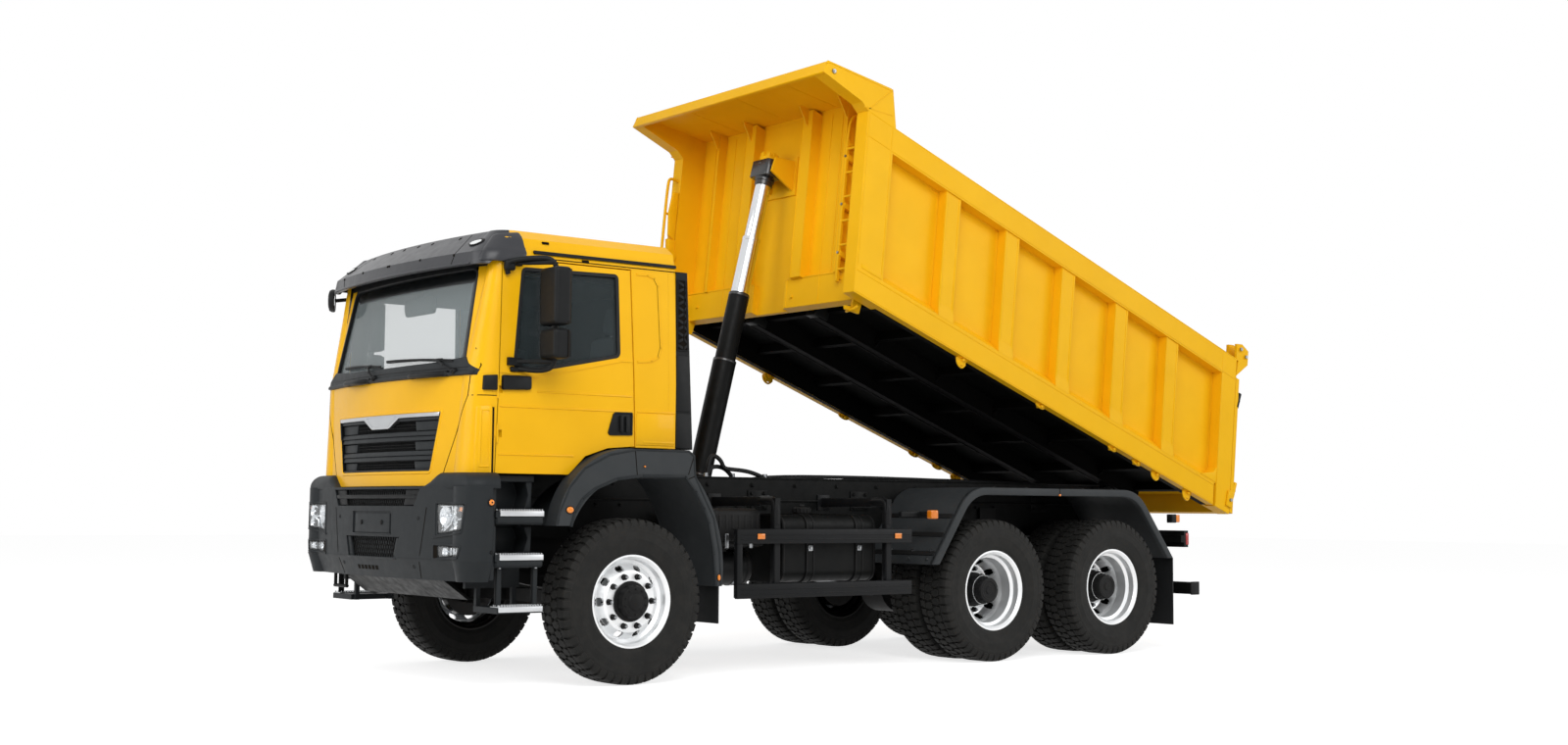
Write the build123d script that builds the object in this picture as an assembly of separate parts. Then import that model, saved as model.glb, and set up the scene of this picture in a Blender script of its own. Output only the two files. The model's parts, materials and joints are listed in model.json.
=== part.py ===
from build123d import *
import math
import os

os.makedirs("parts", exist_ok=True)

# A three-axle tipping lorry with a front-hoist dump bed, stored with the bed part raised.
# All sizes are millimetres. X points forward from the front axle, Y to the lorry's left, Z up from
# the ground. The bed is drawn lying on the frame in those same axes and is then turned up about its hinge.
# A box is given as x from, x to, y from, y to, z from, z to, and an outline as its corners in order.

# ---- axles and wheels ----
WHEELBASE = 3330  # front axle to first rear axle
BOGIE_SPACING = 1350  # first to second rear axle
TYRE_RADIUS = 545
TYRE_WIDTH = 300
TYRE_SHOULDER = 22  # how far the tread's edge lies under its crown
OUTER_TYRE_Y = 1085  # middle of the front tyre and of the outer rear tyre
DUAL_SPACING = 340  # between the middles of twin tyres
RIM_RADIUS = 306  # over the flange
RIM_WIDTH = 250
RIM_WALL = 12
BEAD_RADIUS = 288
WELL_RADIUS = 262  # the rim's drop centre
HAND_HOLES = 10
HAND_HOLE_RADIUS = 19
HAND_HOLE_CIRCLE = 222
HUB_RADIUS = 128
HUB_NOSE = 68  # how far the front hub stands out of its disc
REAR_HUB_NOSE = 235
DRUM_RADIUS = 200
SPINDLE_RADIUS = 50
BEARING_GAP = 0.1  # radial clearance of a shaft in its bore
SPINDLE_PLAY = 0.3  # between a spindle's end and the foot of its bore
HUB_LENGTH_FRONT = 80  # the front hub and drum inboard of the tyre's middle
HUB_LENGTH_REAR = 260  # the rear hub and drum inboard of its disc
HUB_CAP_RADIUS = 98
KINGPIN_Y = 900
KINGPIN_RADIUS = 28
BEAM_EYE_RADIUS = 50
BEAM_EYE_HALF = 55  # half the height of the beam's eye
KNUCKLE_HALF = 100  # half the height over the knuckle's ears
AXLE_TUBE_RADIUS = 75
AXLE_TUBE_END = 600
AXLE_SPINDLE_END = 1000
DIFFERENTIAL_RADIUS = 215
NOSE_LENGTH = 330  # from an axle's middle to its drive flange
SHAFT_RADII = (48, 42)
SPRING_PAD_Y = (455, 540)  # rear springs, outside the rails
FRONT_SPRING_Y = (352, 428)  # front springs, under the rails
FRONT_SPRING_HALF = 780

# ---- frame ----
RAIL_OUTER_Y = 430
RAIL_FLANGE = 80
RAIL_BOTTOM = 950
RAIL_STEP = 1220  # top of the chassis rail, where the tipper's subframe starts
RAIL_TOP = 1390
RAIL_WEB = 12
RAIL_FRONT = 1080
RAIL_REAR = -5400
MEMBER_X = (1020, -2150, -4005)
MEMBER_HALF = 40  # half the width of a cross-member
CRADLE_HALF = 225  # half the length of the hoist's cradle
CRADLE_TOP = 1050
FORK_CHEEK = 22  # thickness of the plates that hold the bed's hinge pins
FORK_OUTLINE = (
    (-5300, 1245), (-5300, 1365), (-5440, 1365), (-5500, 1380), (-5555, 1350), (-5575, 1300), (-5555, 1250)
)
TOW_X = -5500
TOW_HOLE = 20
TOW_EARS = ((1060, 1085), (965, 990))
ENGINE_BLOCK = (-300, 800, -300, 300, 690, 1600)
GEARBOX = (-1020, -300, -200, 200, 760, 1200)
ENGINE_FEET_X = (-220, 620)

# ---- cab ----
CAB_FLOOR = RAIL_TOP  # underside of the cab's floor, on the rails
FLOOR_THICKNESS = 50
CAB_WALL = 60
CAB_REAR = -380
PANEL_BOTTOM = 1290  # lower lip of the front panel
BELT = 2000  # bottom of the windscreen
ROOF_BASE = 2750  # where the roof pressing starts
ROOF_TOP = 2945
DOOR_BOTTOM = 1370
DOOR_TOP = 2742
DOOR_GAP = 9
DOOR_SEAM = 6  # gap along the front edge
DOOR_HINGE_X = 985
HINGE_HEIGHTS = (1620, 1900)
HINGE_PIN_RADIUS = 8
HINGE_PIN_HALF = 60
HINGE_NOTCH = 34  # radius of the hollow that clears a hinge's leaf as the door turns
HINGE_LEAF = 36
GLASS_THICKNESS = 7
GLASS_INSET = 14  # depth of the glass behind the body's skin
TUNNEL_HALF_WIDTH = 420
TUNNEL_TOP = 1700
TUNNEL_WALL = 30
# level: z, start of the corner, corner's end x and y, nose x, half width
CAB_SECTIONS = {
    "lip": (PANEL_BOTTOM, 1000, 1165, 900, 1240, 1135),
    "belt": (BELT, 990, 1140, 965, 1232, 1140),
    "header": (ROOF_BASE, 940, 985, 1000, 1062, 1118),
    "crown": (ROOF_TOP - 60, 880, 950, 960, 1010, 1085),
    "top": (ROOF_TOP, 800, 860, 880, 900, 1000),
}
BODY_LEVELS = ("lip", "belt", "header")
ROOF_LEVELS = ("header", "crown", "top")
CORNER_DRAFT = 0.4  # share of an inset by which a corner's end moves sideways
CAB_HALF = CAB_SECTIONS["belt"][5]
FRONT_REACH = 1500  # a plane well ahead of the cab
SIDE_REACH = 1300  # a plane well outside the cab
GRILLE_OUTLINE = ((-752, 1765), (752, 1765), (652, 1385), (-652, 1385))
GRILLE_DEPTHS = (6, 48)  # its face and back, behind the front panel's skin
GRILLE_SLOTS = (1440, 1535, 1630)  # lower edges
GRILLE_SLOT_HEIGHT = 42
SCREEN_OUTLINE = ((-965, 2035), (965, 2035), (905, 2705), (-905, 2705))
REAR_WINDOW = (-560, 560, 2150, 2600)
DOOR_WINDOW = ((868, 2050), (700, 2040), (80, 2165), (95, 2695), (810, 2680))
DOOR_LEAN = 0.03  # how much the door's front seam leans back, length over height
DOOR_FRONT = 1000  # the front seam at the door's foot
DOOR_REAR = -50  # the rear seam over the fender
DOOR_REAR_LEAN = 0.034
DOOR_FOOT_REAR = 1560
# the visor's rows, as in CAB_SECTIONS
VISOR_ROWS = (
    (2695, 985, 1130, 990, 1215, 1140),
    (2780, 960, 1120, 980, 1205, 1132),
    (ROOF_TOP - 8, 840, 940, 900, 1010, 1040),
)
VISOR_WALL = 28
VISOR_REAR = 700
LOUVRE_OUTLINE = ((CAB_REAR, 1560), (CAB_REAR - 150, 1555), (CAB_REAR - 90, 2765), (CAB_REAR, 2765))
LOUVRE_Y = (930, 1128)
SEAT_Y = 750
SEAT_CUSHION = (-150, 350, 240, 1620, 1760)  # x from, x to, half width, z from, z to
SEAT_PEDESTAL = (-100, 300, 180, CAB_FLOOR + FLOOR_THICKNESS, 1620)
SEAT_BACK = ((-140, 1700), (10, 1700), (-80, 2330), (-210, 2330))
HEADREST = ((-200, 2330), (-90, 2330), (-120, 2540), (-210, 2540))
HEADREST_HALF = 130
DESK_OUTLINE = ((780, 1705), (1400, 1705), (1400, 1985), (860, 1985), (780, 1940))
STEERING_CENTRE = (640, 640, 2010)
STEERING_FOOT = (900, 640, 1760)
STEERING_RADIUS = 215
STEERING_RIM = 16
MIRROR_X = 690
MIRROR_Y = 1330
MIRROR_HALF = 60  # half the mirrors' depth
MIRROR_EDGE = 28
MAIN_MIRROR = (110, 2310, 2680)  # half width, z from, z to
WIDE_MIRROR = (105, 2095, 2285)
MIRROR_ARMS = (2712, 2080)

# ---- bumper ----
BUMPER_HALF_WIDTH = 1240
BUMPER_NOSE = 1290
BUMPER_REAR = 1060
BUMPER_BOTTOM = 690
BUMPER_TOP = 1285
BUMPER_WALL = 55
BUMPER_SIDE_X = 1085  # where the bumper's corners start
BUMPER_CORNER = (1215, 1010)
BUMPER_BACK = 900
# level and draft of the bumper's form: its foot is drawn in under the main band
BUMPER_ROWS = ((BUMPER_BOTTOM, 45), (820, 0), (BUMPER_TOP, 0))
LAMP_DEPTH = 30
HEADLAMP = ((840, 1175), (1165, 1170), (1140, 1010), (850, 985))
FOG_LAMP = ((850, 912), (1130, 908), (1110, 850), (862, 838))
BUMPER_STEP = ((-640, 1270), (640, 1270), (570, 1160), (-570, 1160))
BUMPER_INTAKE = ((-400, 958), (400, 958), (350, 820), (-350, 820))
PLATE_PLACE = ((-290, 1125), (290, 1125), (290, 975), (-290, 975))
PLATE_SPACING = 450
PLATE_Z = 1050
PLATE_HOLE = 3.5
STAY_Y = (355, 425)  # the stays from the bumper and the skid plate to a rail
SKID_OUTLINE = ((1140, 690), (960, 560), (900, 560), (900, 575), (953, 575), (1120, 700), (1140, 700))
SKID_HALF_WIDTH = 750
TOE_STEP = (1130, 600, 12)  # x, z and radius of the small pipe step beside the skid plate
TOE_STEP_Y = (-880, -700)

# ---- fenders, steps and side equipment ----
FENDER_FACE = 1235  # outer face of fenders and guards
FENDER_BAND = 135
FENDER_TOP = 1547
LINER_WALL = 15
LINER_INNER_Y = 640
STEP_X = (670, 1000)
STEP_HEIGHTS = (1130, 854, 530)
STEP_THICKNESS = 38
STEP_INNER_Y = 900
STEP_OUTER_Y = 1205
FLAP_THICKNESS = 10
FRONT_FLAP = (-688, 900, 380, 632)  # x, inner y, z from, z to
REAR_FLAP = (-5410, 640, 217, 770)
REAR_FENDER_PATH = ((-2660, 750), (-3050, 1335), (-4970, 1335), (-5410, 770))
REAR_FENDER_SHEET = 16
REAR_FENDER_LIP = (58, 35)  # depth and width of its outer lip
GUARD_X = (-2460, -850)
GUARD_DEPTH = 28
GUARD_BARS = ((917, 1017), (540, 640))  # levels of the upper and lower bar
GUARD_POSTS = (-1220, -2260)
GUARD_POST_HALF = 22
GUARD_ARM = (1185, 1235)  # levels of the arms that hold the posts
TANK = (-2200, -1330, 520, 1110, 640, 1115)
TANK_EDGE = 85
TANK_STRAPS = (-2040, -1580)
STRAP_HALF = 28
STRAP_PROUD = 6
TANK_CAP = (-1720, 840, 55, 40)  # x, y, radius and how far it stands over the tank
BATTERY_BOX = (-1150, -740, 500, 1080, 890, 1140)
AIR_TANK = (860, 745, 125)  # y, z and radius
AIR_TANK_X = (-1150, -760)
LOCKER = (-2200, -1330, 520, 1100, 640, 1040)
UNDERRUN_BEAM = (-5810, -5710, -1180, 1180, 460, 560)
UNDERRUN_ARM = ((-5340, 1200), (-5340, 950), (-5700, 500), (-5760, 500), (-5760, 560), (-5420, 1200))
LAMP_BAR_X = (-5600, -5560)
LAMP_BAR_Z = (900, 960)
TAIL_LAMP = (-5650, -5600, 850, 1200, 860, 1000)

# ---- bed ----
HINGE_X = -5500
HINGE_Z = 1300
HINGE_PIN = 30
BED_REST = 20.5  # degrees the bed is raised by as stored
BED_HALF_WIDTH = 1250
BED_SKIN = 25
BED_RIB_DEPTH = 100
BED_UNDERSIDE = 75  # bottom of the side rails over the hinge's axis
SIDE_RAIL = 190
BED_TOP = 1390  # top of the side rails over the hinge's axis
BED_FRONT = 3890
BED_REAR = -672
LEAN = 0.265  # forward lean of posts, ribs and end walls, length over height
FRONT_POST = 280
REAR_POST = 200
SIDE_RIBS = 5
SIDE_RIB_WIDTH = 165
FRONT_WALL_RECESS = 230
SKIN_OUT = BED_HALF_WIDTH - BED_RIB_DEPTH
SKIN_IN = SKIN_OUT - BED_SKIN
WALL_S = BED_FRONT - FRONT_WALL_RECESS  # outer face of the front wall
WALL_TOP = 1600
SILL_Y = 390
SILL_WIDTH = 80
SILL_BOTTOM = 97
SILL_ENDS = (-380, 3560, 3600)  # rear end, and front end at the bottom and at the top
FLOOR_TOP = 270
BEARERS = (-320, 170, 860, 1555, 2250, 2945, 3480)  # middles of the cross-bearers
BEARER_WIDTH = 44
BEARER_DEPTH = 78
HINGE_LUG = ((-95, SILL_BOTTOM + 5), (-58, -10), (-35, -48), (35, -48), (58, -10), (75, SILL_BOTTOM + 5))
LUG_HALF = 28
WALL_BAND = (110, 330, 55)  # the front wall's foot: level from, level to and depth
WALL_RIBS = ((300, 430, 95), (815, 845, 80))  # y from, y to and depth
LADDER_Y = (865, 1065)
LADDER_STILE = 22
LADDER_LEVELS = (240, 1300)
RUNGS = 6
RUNG_PITCH = 180
RUNG_RADIUS = 10
CANOPY_SHEET = ((4080, 1627), (4095, 1655), (4729, 1545), (4729, 1517))
CANOPY_LIP = ((4709, 1450), (4709, 1545), (4729, 1545), (4740, 1450))
CANOPY_GUSSET = ((3965, BED_TOP), (4095, 1655), (4729, 1545), (4740, 1450), (4334, 1425), (4262, BED_TOP))

# ---- tailgate ----
GATE_PIN_S = -405
GATE_PIN_N = 1455
GATE_THICKNESS = 44
GATE_GAP = 6
GATE_PIN = 15
GATE_LEVELS = (95, 1345)
GATE_RIBS = (-900, -450, 0, 450, 900)
GATE_RIB_HALF = 60
GATE_RIB_DEPTH = 55
GATE_SHOULDER = 110  # how far the gate's ends stop under its top, clear of the ears
GATE_EAR = ((-300, BED_TOP - 5), (-262, 1520), (-330, 1545), (-430, 1520), (-460, 1400), (-345, 1250),
            (-330, BED_TOP - 5))
EAR_THICKNESS = 24

# ---- hoist ----
HOIST_X = -1290
HOIST_Z = 990
HEAD_X = -2020  # the head's pin, with the bed as stored
HEAD_Z = 3840
BARREL_RADIUS = 90
BARREL_LENGTH = 1350
BARREL_FOOT = -55  # the barrel's end under its trunnion
STAGE_WALL = 9
STAGE_GAP = 0.3
BARREL_SHARE = 540  # how far the first stage stands out of the barrel as stored
CHROME_SHARE = 465  # how far the second stage stands out of the first
HEAD_HALF_WIDTH = 120
HEAD_SPAN = (85, 75)  # how far the head block reaches below and above its pin
HEAD_BRACKET_GAP = 6
HEAD_BRACKET = 20  # thickness of the bracket's cheeks
HEAD_PIN_RADIUS = 34
HEAD_PIN_PLAY = 0.4  # between a bracket pin's end and the head
TRUNNION = 32
TRUNNION_HALF = 168
HOIST_LEAN = math.degrees(math.atan2(HOIST_X - HEAD_X, HEAD_Z - HOIST_Z))
HOIST_REACH = math.hypot(HOIST_X - HEAD_X, HEAD_Z - HOIST_Z)
STAGE_RADII = [BARREL_RADIUS - i * (STAGE_WALL + STAGE_GAP) for i in range(4)]
HOIST_POCKET = 200  # half the gap left in the front wall's foot for the tipped hoist


# ---- small helpers ----
def block(x0, x1, y0, y1, z0, z1):
    """A box between two corners."""
    return Pos((x0 + x1) / 2, (y0 + y1) / 2, (z0 + z1) / 2) * Box(abs(x1 - x0), abs(y1 - y0), abs(z1 - z0))


def rod(start, end, radius):
    """A round bar between two points."""
    a, b = Vector(*start), Vector(*end)
    return Solid.make_cylinder(radius, (b - a).length, Plane(origin=a, z_dir=b - a))


def side_prism(points, y0, y1):
    """An outline in X and Z, carried from y0 to y1."""
    wire = Polyline(*[(x, y0, z) for x, z in points], close=True)
    return extrude(make_face(wire), amount=y1 - y0, dir=(0, 1, 0))


def front_prism(points, x0, x1):
    """An outline in Y and Z, carried from x0 to x1."""
    wire = Polyline(*[(x0, y, z) for y, z in points], close=True)
    return extrude(make_face(wire), amount=x1 - x0, dir=(1, 0, 0))


def mirrored(shape):
    """The same piece on the other side of the lorry."""
    return mirror(shape, about=Plane.XZ)


def pair(shape):
    """A piece and its opposite, as two solids."""
    return [shape, mirrored(shape)]


def turned(profile, y):
    """A ring about the wheel's axis: profile points are (distance outboard of y, radius)."""
    face = make_face(Polyline(*[(0, y + w, r) for w, r in profile], close=True))
    return revolve(face, axis=Axis.Y)


def bowed_outline(row, rear, inset):
    """A level outline with straight sides, rounded corners and a bowed front, drawn in by inset.

    A row is its level, the start of the corner, the corner's end in x and y, the nose and the half width.
    """
    z, side_x, corner_x, corner_y, nose, half = row
    corner_x, corner_y = corner_x - inset, corner_y - CORNER_DRAFT * inset
    nose, half = nose - inset, half - inset
    edges = [
        Line((rear, -half, z), (side_x, -half, z)),
        TangentArc((side_x, -half, z), (corner_x, -corner_y, z), tangent=(1, 0, 0)),
        ThreePointArc((corner_x, -corner_y, z), (nose, 0, z), (corner_x, corner_y, z)),
        TangentArc((side_x, half, z), (corner_x, corner_y, z), tangent=(1, 0, 0)),
        Line((side_x, half, z), (rear, half, z)),
        Line((rear, half, z), (rear, -half, z)),
    ]
    return Wire(edges)


def stacked(rings):
    """The volume between level outlines, joined by straight lines from each to the next."""
    spans = [Solid.make_loft([low, high], ruled=True) for low, high in zip(rings, rings[1:])]
    return spans[0] if len(spans) == 1 else spans[0].fuse(*spans[1:])


# ---- cab shell ----
def cab_mass(levels, inset):
    """The cab's whole volume between its levels, drawn in by inset."""
    return stacked([bowed_outline(CAB_SECTIONS[level], CAB_REAR + inset, inset) for level in levels])


def door_front(z):
    """The front seam of the door, which leans back a little."""
    return DOOR_FRONT - DOOR_LEAN * (z - DOOR_BOTTOM)


def door_rear(z):
    """The rear seam of the door."""
    return DOOR_REAR + DOOR_REAR_LEAN * (z - DOOR_FOOT_REAR)


DOOR_OUTLINE = (
    (door_front(DOOR_BOTTOM), DOOR_BOTTOM),
    (door_front(DOOR_TOP), DOOR_TOP),
    (door_rear(DOOR_TOP), DOOR_TOP),
    (door_rear(DOOR_FOOT_REAR + 5), DOOR_FOOT_REAR + 5),
    (160, 1548),
    (330, 1492),
    (455, DOOR_BOTTOM),
)


def cab_shell(thickness=CAB_WALL):
    """The walls of the cab from the front panel's lip to the roof."""
    return cab_mass(BODY_LEVELS, 0) - cab_mass(BODY_LEVELS, thickness)


def cab_front():
    """The front panel, its corner panels, the windscreen pillars and the header, with the door hinges."""
    low, high = PANEL_BOTTOM - 1, ROOF_BASE + 1
    region = side_prism(
        [(door_front(low), low), (FRONT_REACH, low), (FRONT_REACH, high), (door_front(high), high)],
        -SIDE_REACH,
        SIDE_REACH,
    )
    panel = cab_shell() & region
    panel -= front_prism(GRILLE_OUTLINE, 900, FRONT_REACH)
    panel -= front_prism(SCREEN_OUTLINE, 800, FRONT_REACH)
    half, leaf_half, pin_half = CAB_HALF, HINGE_LEAF / 2, HINGE_PIN_HALF
    for z in HINGE_HEIGHTS:
        leaf = block(DOOR_HINGE_X, DOOR_HINGE_X + 40, half - 18, half, z - leaf_half, z + leaf_half)
        pin = rod((DOOR_HINGE_X, half, z - pin_half), (DOOR_HINGE_X, half, z + pin_half), HINGE_PIN_RADIUS)
        for piece in (leaf, pin):
            panel = panel + piece + mirrored(piece)
    return panel


def cab_sides():
    """The panels behind the doors."""
    low, high = DOOR_FOOT_REAR - 2, ROOF_BASE
    outline = [
        (CAB_REAR + CAB_WALL, low),
        (door_rear(low) - DOOR_GAP, low),
        (door_rear(high) - DOOR_GAP, high),
        (CAB_REAR + CAB_WALL, high),
    ]
    panel = cab_shell() & side_prism(outline, 900, SIDE_REACH)
    return pair(panel)


def cab_rear_wall():
    """The cab's back, with its window cut."""
    span = block(CAB_REAR - 1, CAB_REAR + CAB_WALL, -SIDE_REACH, SIDE_REACH, FENDER_TOP + 10, ROOF_BASE)
    y = FENDER_FACE - FENDER_BAND - 10
    span += block(CAB_REAR - 1, CAB_REAR + CAB_WALL, -y, y, CAB_FLOOR, FENDER_TOP + 11)
    wall = cab_shell() & span
    y0, y1, z0, z1 = REAR_WINDOW
    return wall - block(CAB_REAR - 10, CAB_REAR + CAB_WALL + 10, y0, y1, z0, z1)


def cab_roof():
    """The roof pressing, hollow below."""
    below = block(-1000, FRONT_REACH, -SIDE_REACH, SIDE_REACH, ROOF_BASE - 1, ROOF_TOP - CAB_WALL)
    return cab_mass(ROOF_LEVELS, 0) - (cab_mass(ROOF_LEVELS, CAB_WALL) & below)


def cab_floor():
    """The floor, with the raised tunnel over the engine."""
    inside = cab_mass(BODY_LEVELS, CAB_WALL)
    top = CAB_FLOOR + FLOOR_THICKNESS
    half = CAB_HALF - CAB_WALL - 20
    floor = inside & block(CAB_REAR, FRONT_REACH, -half, half, CAB_FLOOR, top)
    w = TUNNEL_HALF_WIDTH
    tunnel = inside & block(CAB_REAR, FRONT_REACH, -w, w, CAB_FLOOR, TUNNEL_TOP)
    w -= TUNNEL_WALL
    bore = block(CAB_REAR - 1, FRONT_REACH, -w, w, CAB_FLOOR - 1, TUNNEL_TOP - TUNNEL_WALL)
    return (floor + tunnel) - bore


def screen_between(outer, inner, levels=BODY_LEVELS):
    """A thin shell of the cab's form between two insets."""
    return cab_mass(levels, outer) - cab_mass(levels, inner)


def cab_glass():
    """The windscreen and the rear window."""
    pane = screen_between(GLASS_INSET, GLASS_INSET + GLASS_THICKNESS)
    pane = pane & front_prism(SCREEN_OUTLINE, 800, FRONT_REACH)
    y0, y1, z0, z1 = REAR_WINDOW
    x = CAB_REAR + CAB_WALL / 2
    return [pane, block(x, x + GLASS_THICKNESS, y0, y1, z0, z1)]


def grille():
    """The grille with three dark slots and a trim bar along its top."""
    body = screen_between(*GRILLE_DEPTHS) & front_prism(GRILLE_OUTLINE, 900, FRONT_REACH)
    for z in GRILLE_SLOTS:
        half = 600 + 0.25 * (z - GRILLE_SLOTS[0])
        body -= screen_between(-20, 30) & block(1000, FRONT_REACH, -half, half, z, z + GRILLE_SLOT_HEIGHT)
    return body


def visor():
    """The sun visor round the front of the roof, hollow behind its skin."""
    shell = stacked([bowed_outline(row, VISOR_REAR, 0) for row in VISOR_ROWS])
    hollow = stacked([bowed_outline(row, VISOR_REAR, VISOR_WALL) for row in VISOR_ROWS])
    shell -= hollow & block(0, 2000, -SIDE_REACH, SIDE_REACH, 0, ROOF_TOP - VISOR_WALL - 2)
    shell -= cab_mass(BODY_LEVELS, -0.5).fuse(cab_mass(ROOF_LEVELS, -0.5))
    over_door, brow = DOOR_TOP + 10, VISOR_ROWS[0][0] - 5
    tail = [(850, 3000), (925, over_door), (1000, over_door), (1060, brow)]
    ahead = [(FRONT_REACH, brow), (FRONT_REACH, 3000)]
    return shell & side_prism(tail + ahead, -SIDE_REACH, SIDE_REACH)


def louvres():
    """The dark air intake columns at the cab's rear corners."""
    return pair(side_prism(LOUVRE_OUTLINE, *LOUVRE_Y))


def seats():
    """Two seats on their pedestals, with headrests."""
    y = SEAT_Y
    pieces = []
    for x0, x1, half, z0, z1 in (SEAT_PEDESTAL, SEAT_CUSHION):
        pieces.append(block(x0, x1, y - half, y + half, z0, z1))
    pieces.append(side_prism(SEAT_BACK, y - SEAT_CUSHION[2], y + SEAT_CUSHION[2]))
    pieces.append(side_prism(HEADREST, y - HEADREST_HALF, y + HEADREST_HALF))
    return pair(pieces[0].fuse(*pieces[1:]))


def dashboard():
    """The dashboard with the steering column and wheel."""
    inside = cab_mass(BODY_LEVELS, CAB_WALL)
    half = CAB_HALF - CAB_WALL - 25
    desk = inside & side_prism(DESK_OUTLINE, -half, half)
    column = rod(STEERING_FOOT, STEERING_CENTRE, 32)
    wheel_plane = Plane(origin=STEERING_CENTRE, z_dir=(-0.55, 0, 0.83))
    wheel = wheel_plane * Torus(STEERING_RADIUS, STEERING_RIM)
    spokes = wheel_plane * Box(2 * STEERING_RADIUS - 10, 40, 18) + wheel_plane * Cylinder(62, 26)
    return desk + column + wheel + spokes


def door():
    """A door, as thick as the whole wall, with its window cut and its hinge grooves."""
    x, y = DOOR_HINGE_X, CAB_HALF
    inner_y = CAB_SECTIONS["header"][5] - CAB_WALL
    outline = [(px - DOOR_SEAM, pz) for px, pz in DOOR_OUTLINE[:2]] + list(DOOR_OUTLINE[2:])
    panel = cab_shell() & side_prism(outline, inner_y, SIDE_REACH)
    panel -= side_prism(DOOR_WINDOW, inner_y - 1, SIDE_REACH)
    reach, clear = HINGE_PIN_HALF + 1, HINGE_LEAF / 2 + 5
    for z in HINGE_HEIGHTS:
        panel -= rod((x, y, z - reach), (x, y, z + reach), HINGE_PIN_RADIUS + BEARING_GAP)
        panel -= rod((x, y, z - clear), (x, y, z + clear), HINGE_NOTCH)
    return panel


def door_glass():
    """The door's window."""
    return screen_between(GLASS_INSET, GLASS_INSET + GLASS_THICKNESS) & side_prism(DOOR_WINDOW, 900, SIDE_REACH)


def mirrors():
    """The main and wide mirrors on their tube, which is held by two arms on the door."""
    x, y = MIRROR_X, MIRROR_Y
    high, low = MIRROR_ARMS
    shells = []
    for half, z0, z1 in (MAIN_MIRROR, WIDE_MIRROR):
        shell = block(x - MIRROR_HALF, x + MIRROR_HALF, y - half, y + half, z0, z1)
        shells.append(fillet(shell.edges(), MIRROR_EDGE))
    post = rod((x, y, low), (x, y, high), 13)
    arms = [rod((880, CAB_HALF - 10, high), (x, y, high), 14), rod((880, CAB_HALF - 5, low), (x, y, low), 14)]
    feet = [block(830, 905, 1105, 1150, high - 17, high + 18), block(830, 925, 1130, 1165, low - 25, low + 25)]
    whole = shells[0].fuse(shells[1], post, *arms, *feet)
    return whole - cab_mass(BODY_LEVELS, 0).fuse(cab_mass(ROOF_LEVELS, 0))


# ---- frame and running gear ----
def frame_rails():
    """The channel rails with the tipper's subframe on them."""
    y0, y1 = RAIL_OUTER_Y - RAIL_FLANGE, RAIL_OUTER_Y
    rail = block(RAIL_REAR, RAIL_FRONT, y0, y1, RAIL_BOTTOM, RAIL_TOP)
    for z0, z1 in ((RAIL_BOTTOM, RAIL_STEP), (RAIL_STEP, RAIL_TOP)):
        rail -= block(RAIL_REAR - 1, RAIL_FRONT + 1, y0 - 1, y1 - RAIL_WEB, z0 + RAIL_WEB, z1 - RAIL_WEB)
    return pair(rail)


def hinge_bracket():
    """The fork at the end of a rail that holds the bed's hinge pin."""
    y0, y1 = RAIL_OUTER_Y - RAIL_FLANGE, RAIL_OUTER_Y
    inner = side_prism(FORK_OUTLINE, y0 - FORK_CHEEK, y0)
    outer = side_prism(FORK_OUTLINE, y1, y1 + FORK_CHEEK)
    pin = rod((HINGE_X, y0 - FORK_CHEEK, HINGE_Z), (HINGE_X, y1 + FORK_CHEEK, HINGE_Z), HINGE_PIN)
    return inner + outer + pin


def tow_jaw():
    """The towing jaw in the middle of the rear cross-member: two ears with a pin hole."""
    upper, lower = TOW_EARS
    ears = block(TOW_X - 60, RAIL_REAR, -70, 70, *upper) + block(TOW_X - 60, RAIL_REAR, -70, 70, *lower)
    return ears - rod((TOW_X, 0, lower[0] - 1), (TOW_X, 0, upper[1] + 1), TOW_HOLE)


def crossmembers():
    """The frame's cross-members, the hoist's cradle, the bed's hinge forks and the towing jaw."""
    web = RAIL_OUTER_Y - RAIL_WEB
    low, high = RAIL_BOTTOM + RAIL_WEB, RAIL_STEP - RAIL_WEB
    members = [block(x - MEMBER_HALF, x + MEMBER_HALF, -web, web, low, high) for x in MEMBER_X]
    rear = block(RAIL_REAR, RAIL_REAR + 60, -web, web, low, high) + tow_jaw()
    x0, x1 = HOIST_X - CRADLE_HALF, HOIST_X + CRADLE_HALF
    cradle = block(x0, x0 + 50, -web, web, low, CRADLE_TOP) + block(x1 - 50, x1, -web, web, low, CRADLE_TOP)
    for y in (-170, 130):
        cradle += block(x0, x1, y, y + 40, RAIL_BOTTOM - 20, CRADLE_TOP)
    cradle -= rod((HOIST_X, -200, HOIST_Z), (HOIST_X, 200, HOIST_Z), TRUNNION + BEARING_GAP)
    return members + [rear, cradle] + pair(hinge_bracket())


def engine():
    """The engine as one plain block with its feet on the rails, and the gearbox behind it."""
    body = block(*ENGINE_BLOCK) + block(*GEARBOX)
    y = RAIL_OUTER_Y - RAIL_FLANGE
    for x in ENGINE_FEET_X:
        body += block(x - 60, x + 60, -y, y, 1020, 1120)
    return body


def front_axle():
    """The front axle beam between the kingpins."""
    z, low, high = TYRE_RADIUS, TYRE_RADIUS - BEAM_EYE_HALF, TYRE_RADIUS + BEAM_EYE_HALF
    beam = block(-50, 50, -KINGPIN_Y + 45, KINGPIN_Y - 45, low, z + 35)
    for sign in (-1, 1):
        y = sign * KINGPIN_Y
        beam += block(-95, 95, sign * 350, sign * 440, low, high)
        beam += rod((0, y, low), (0, y, high), BEAM_EYE_RADIUS)
        beam -= rod((0, y, low - 5), (0, y, high + 5), KINGPIN_RADIUS + BEARING_GAP)
    return beam


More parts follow.
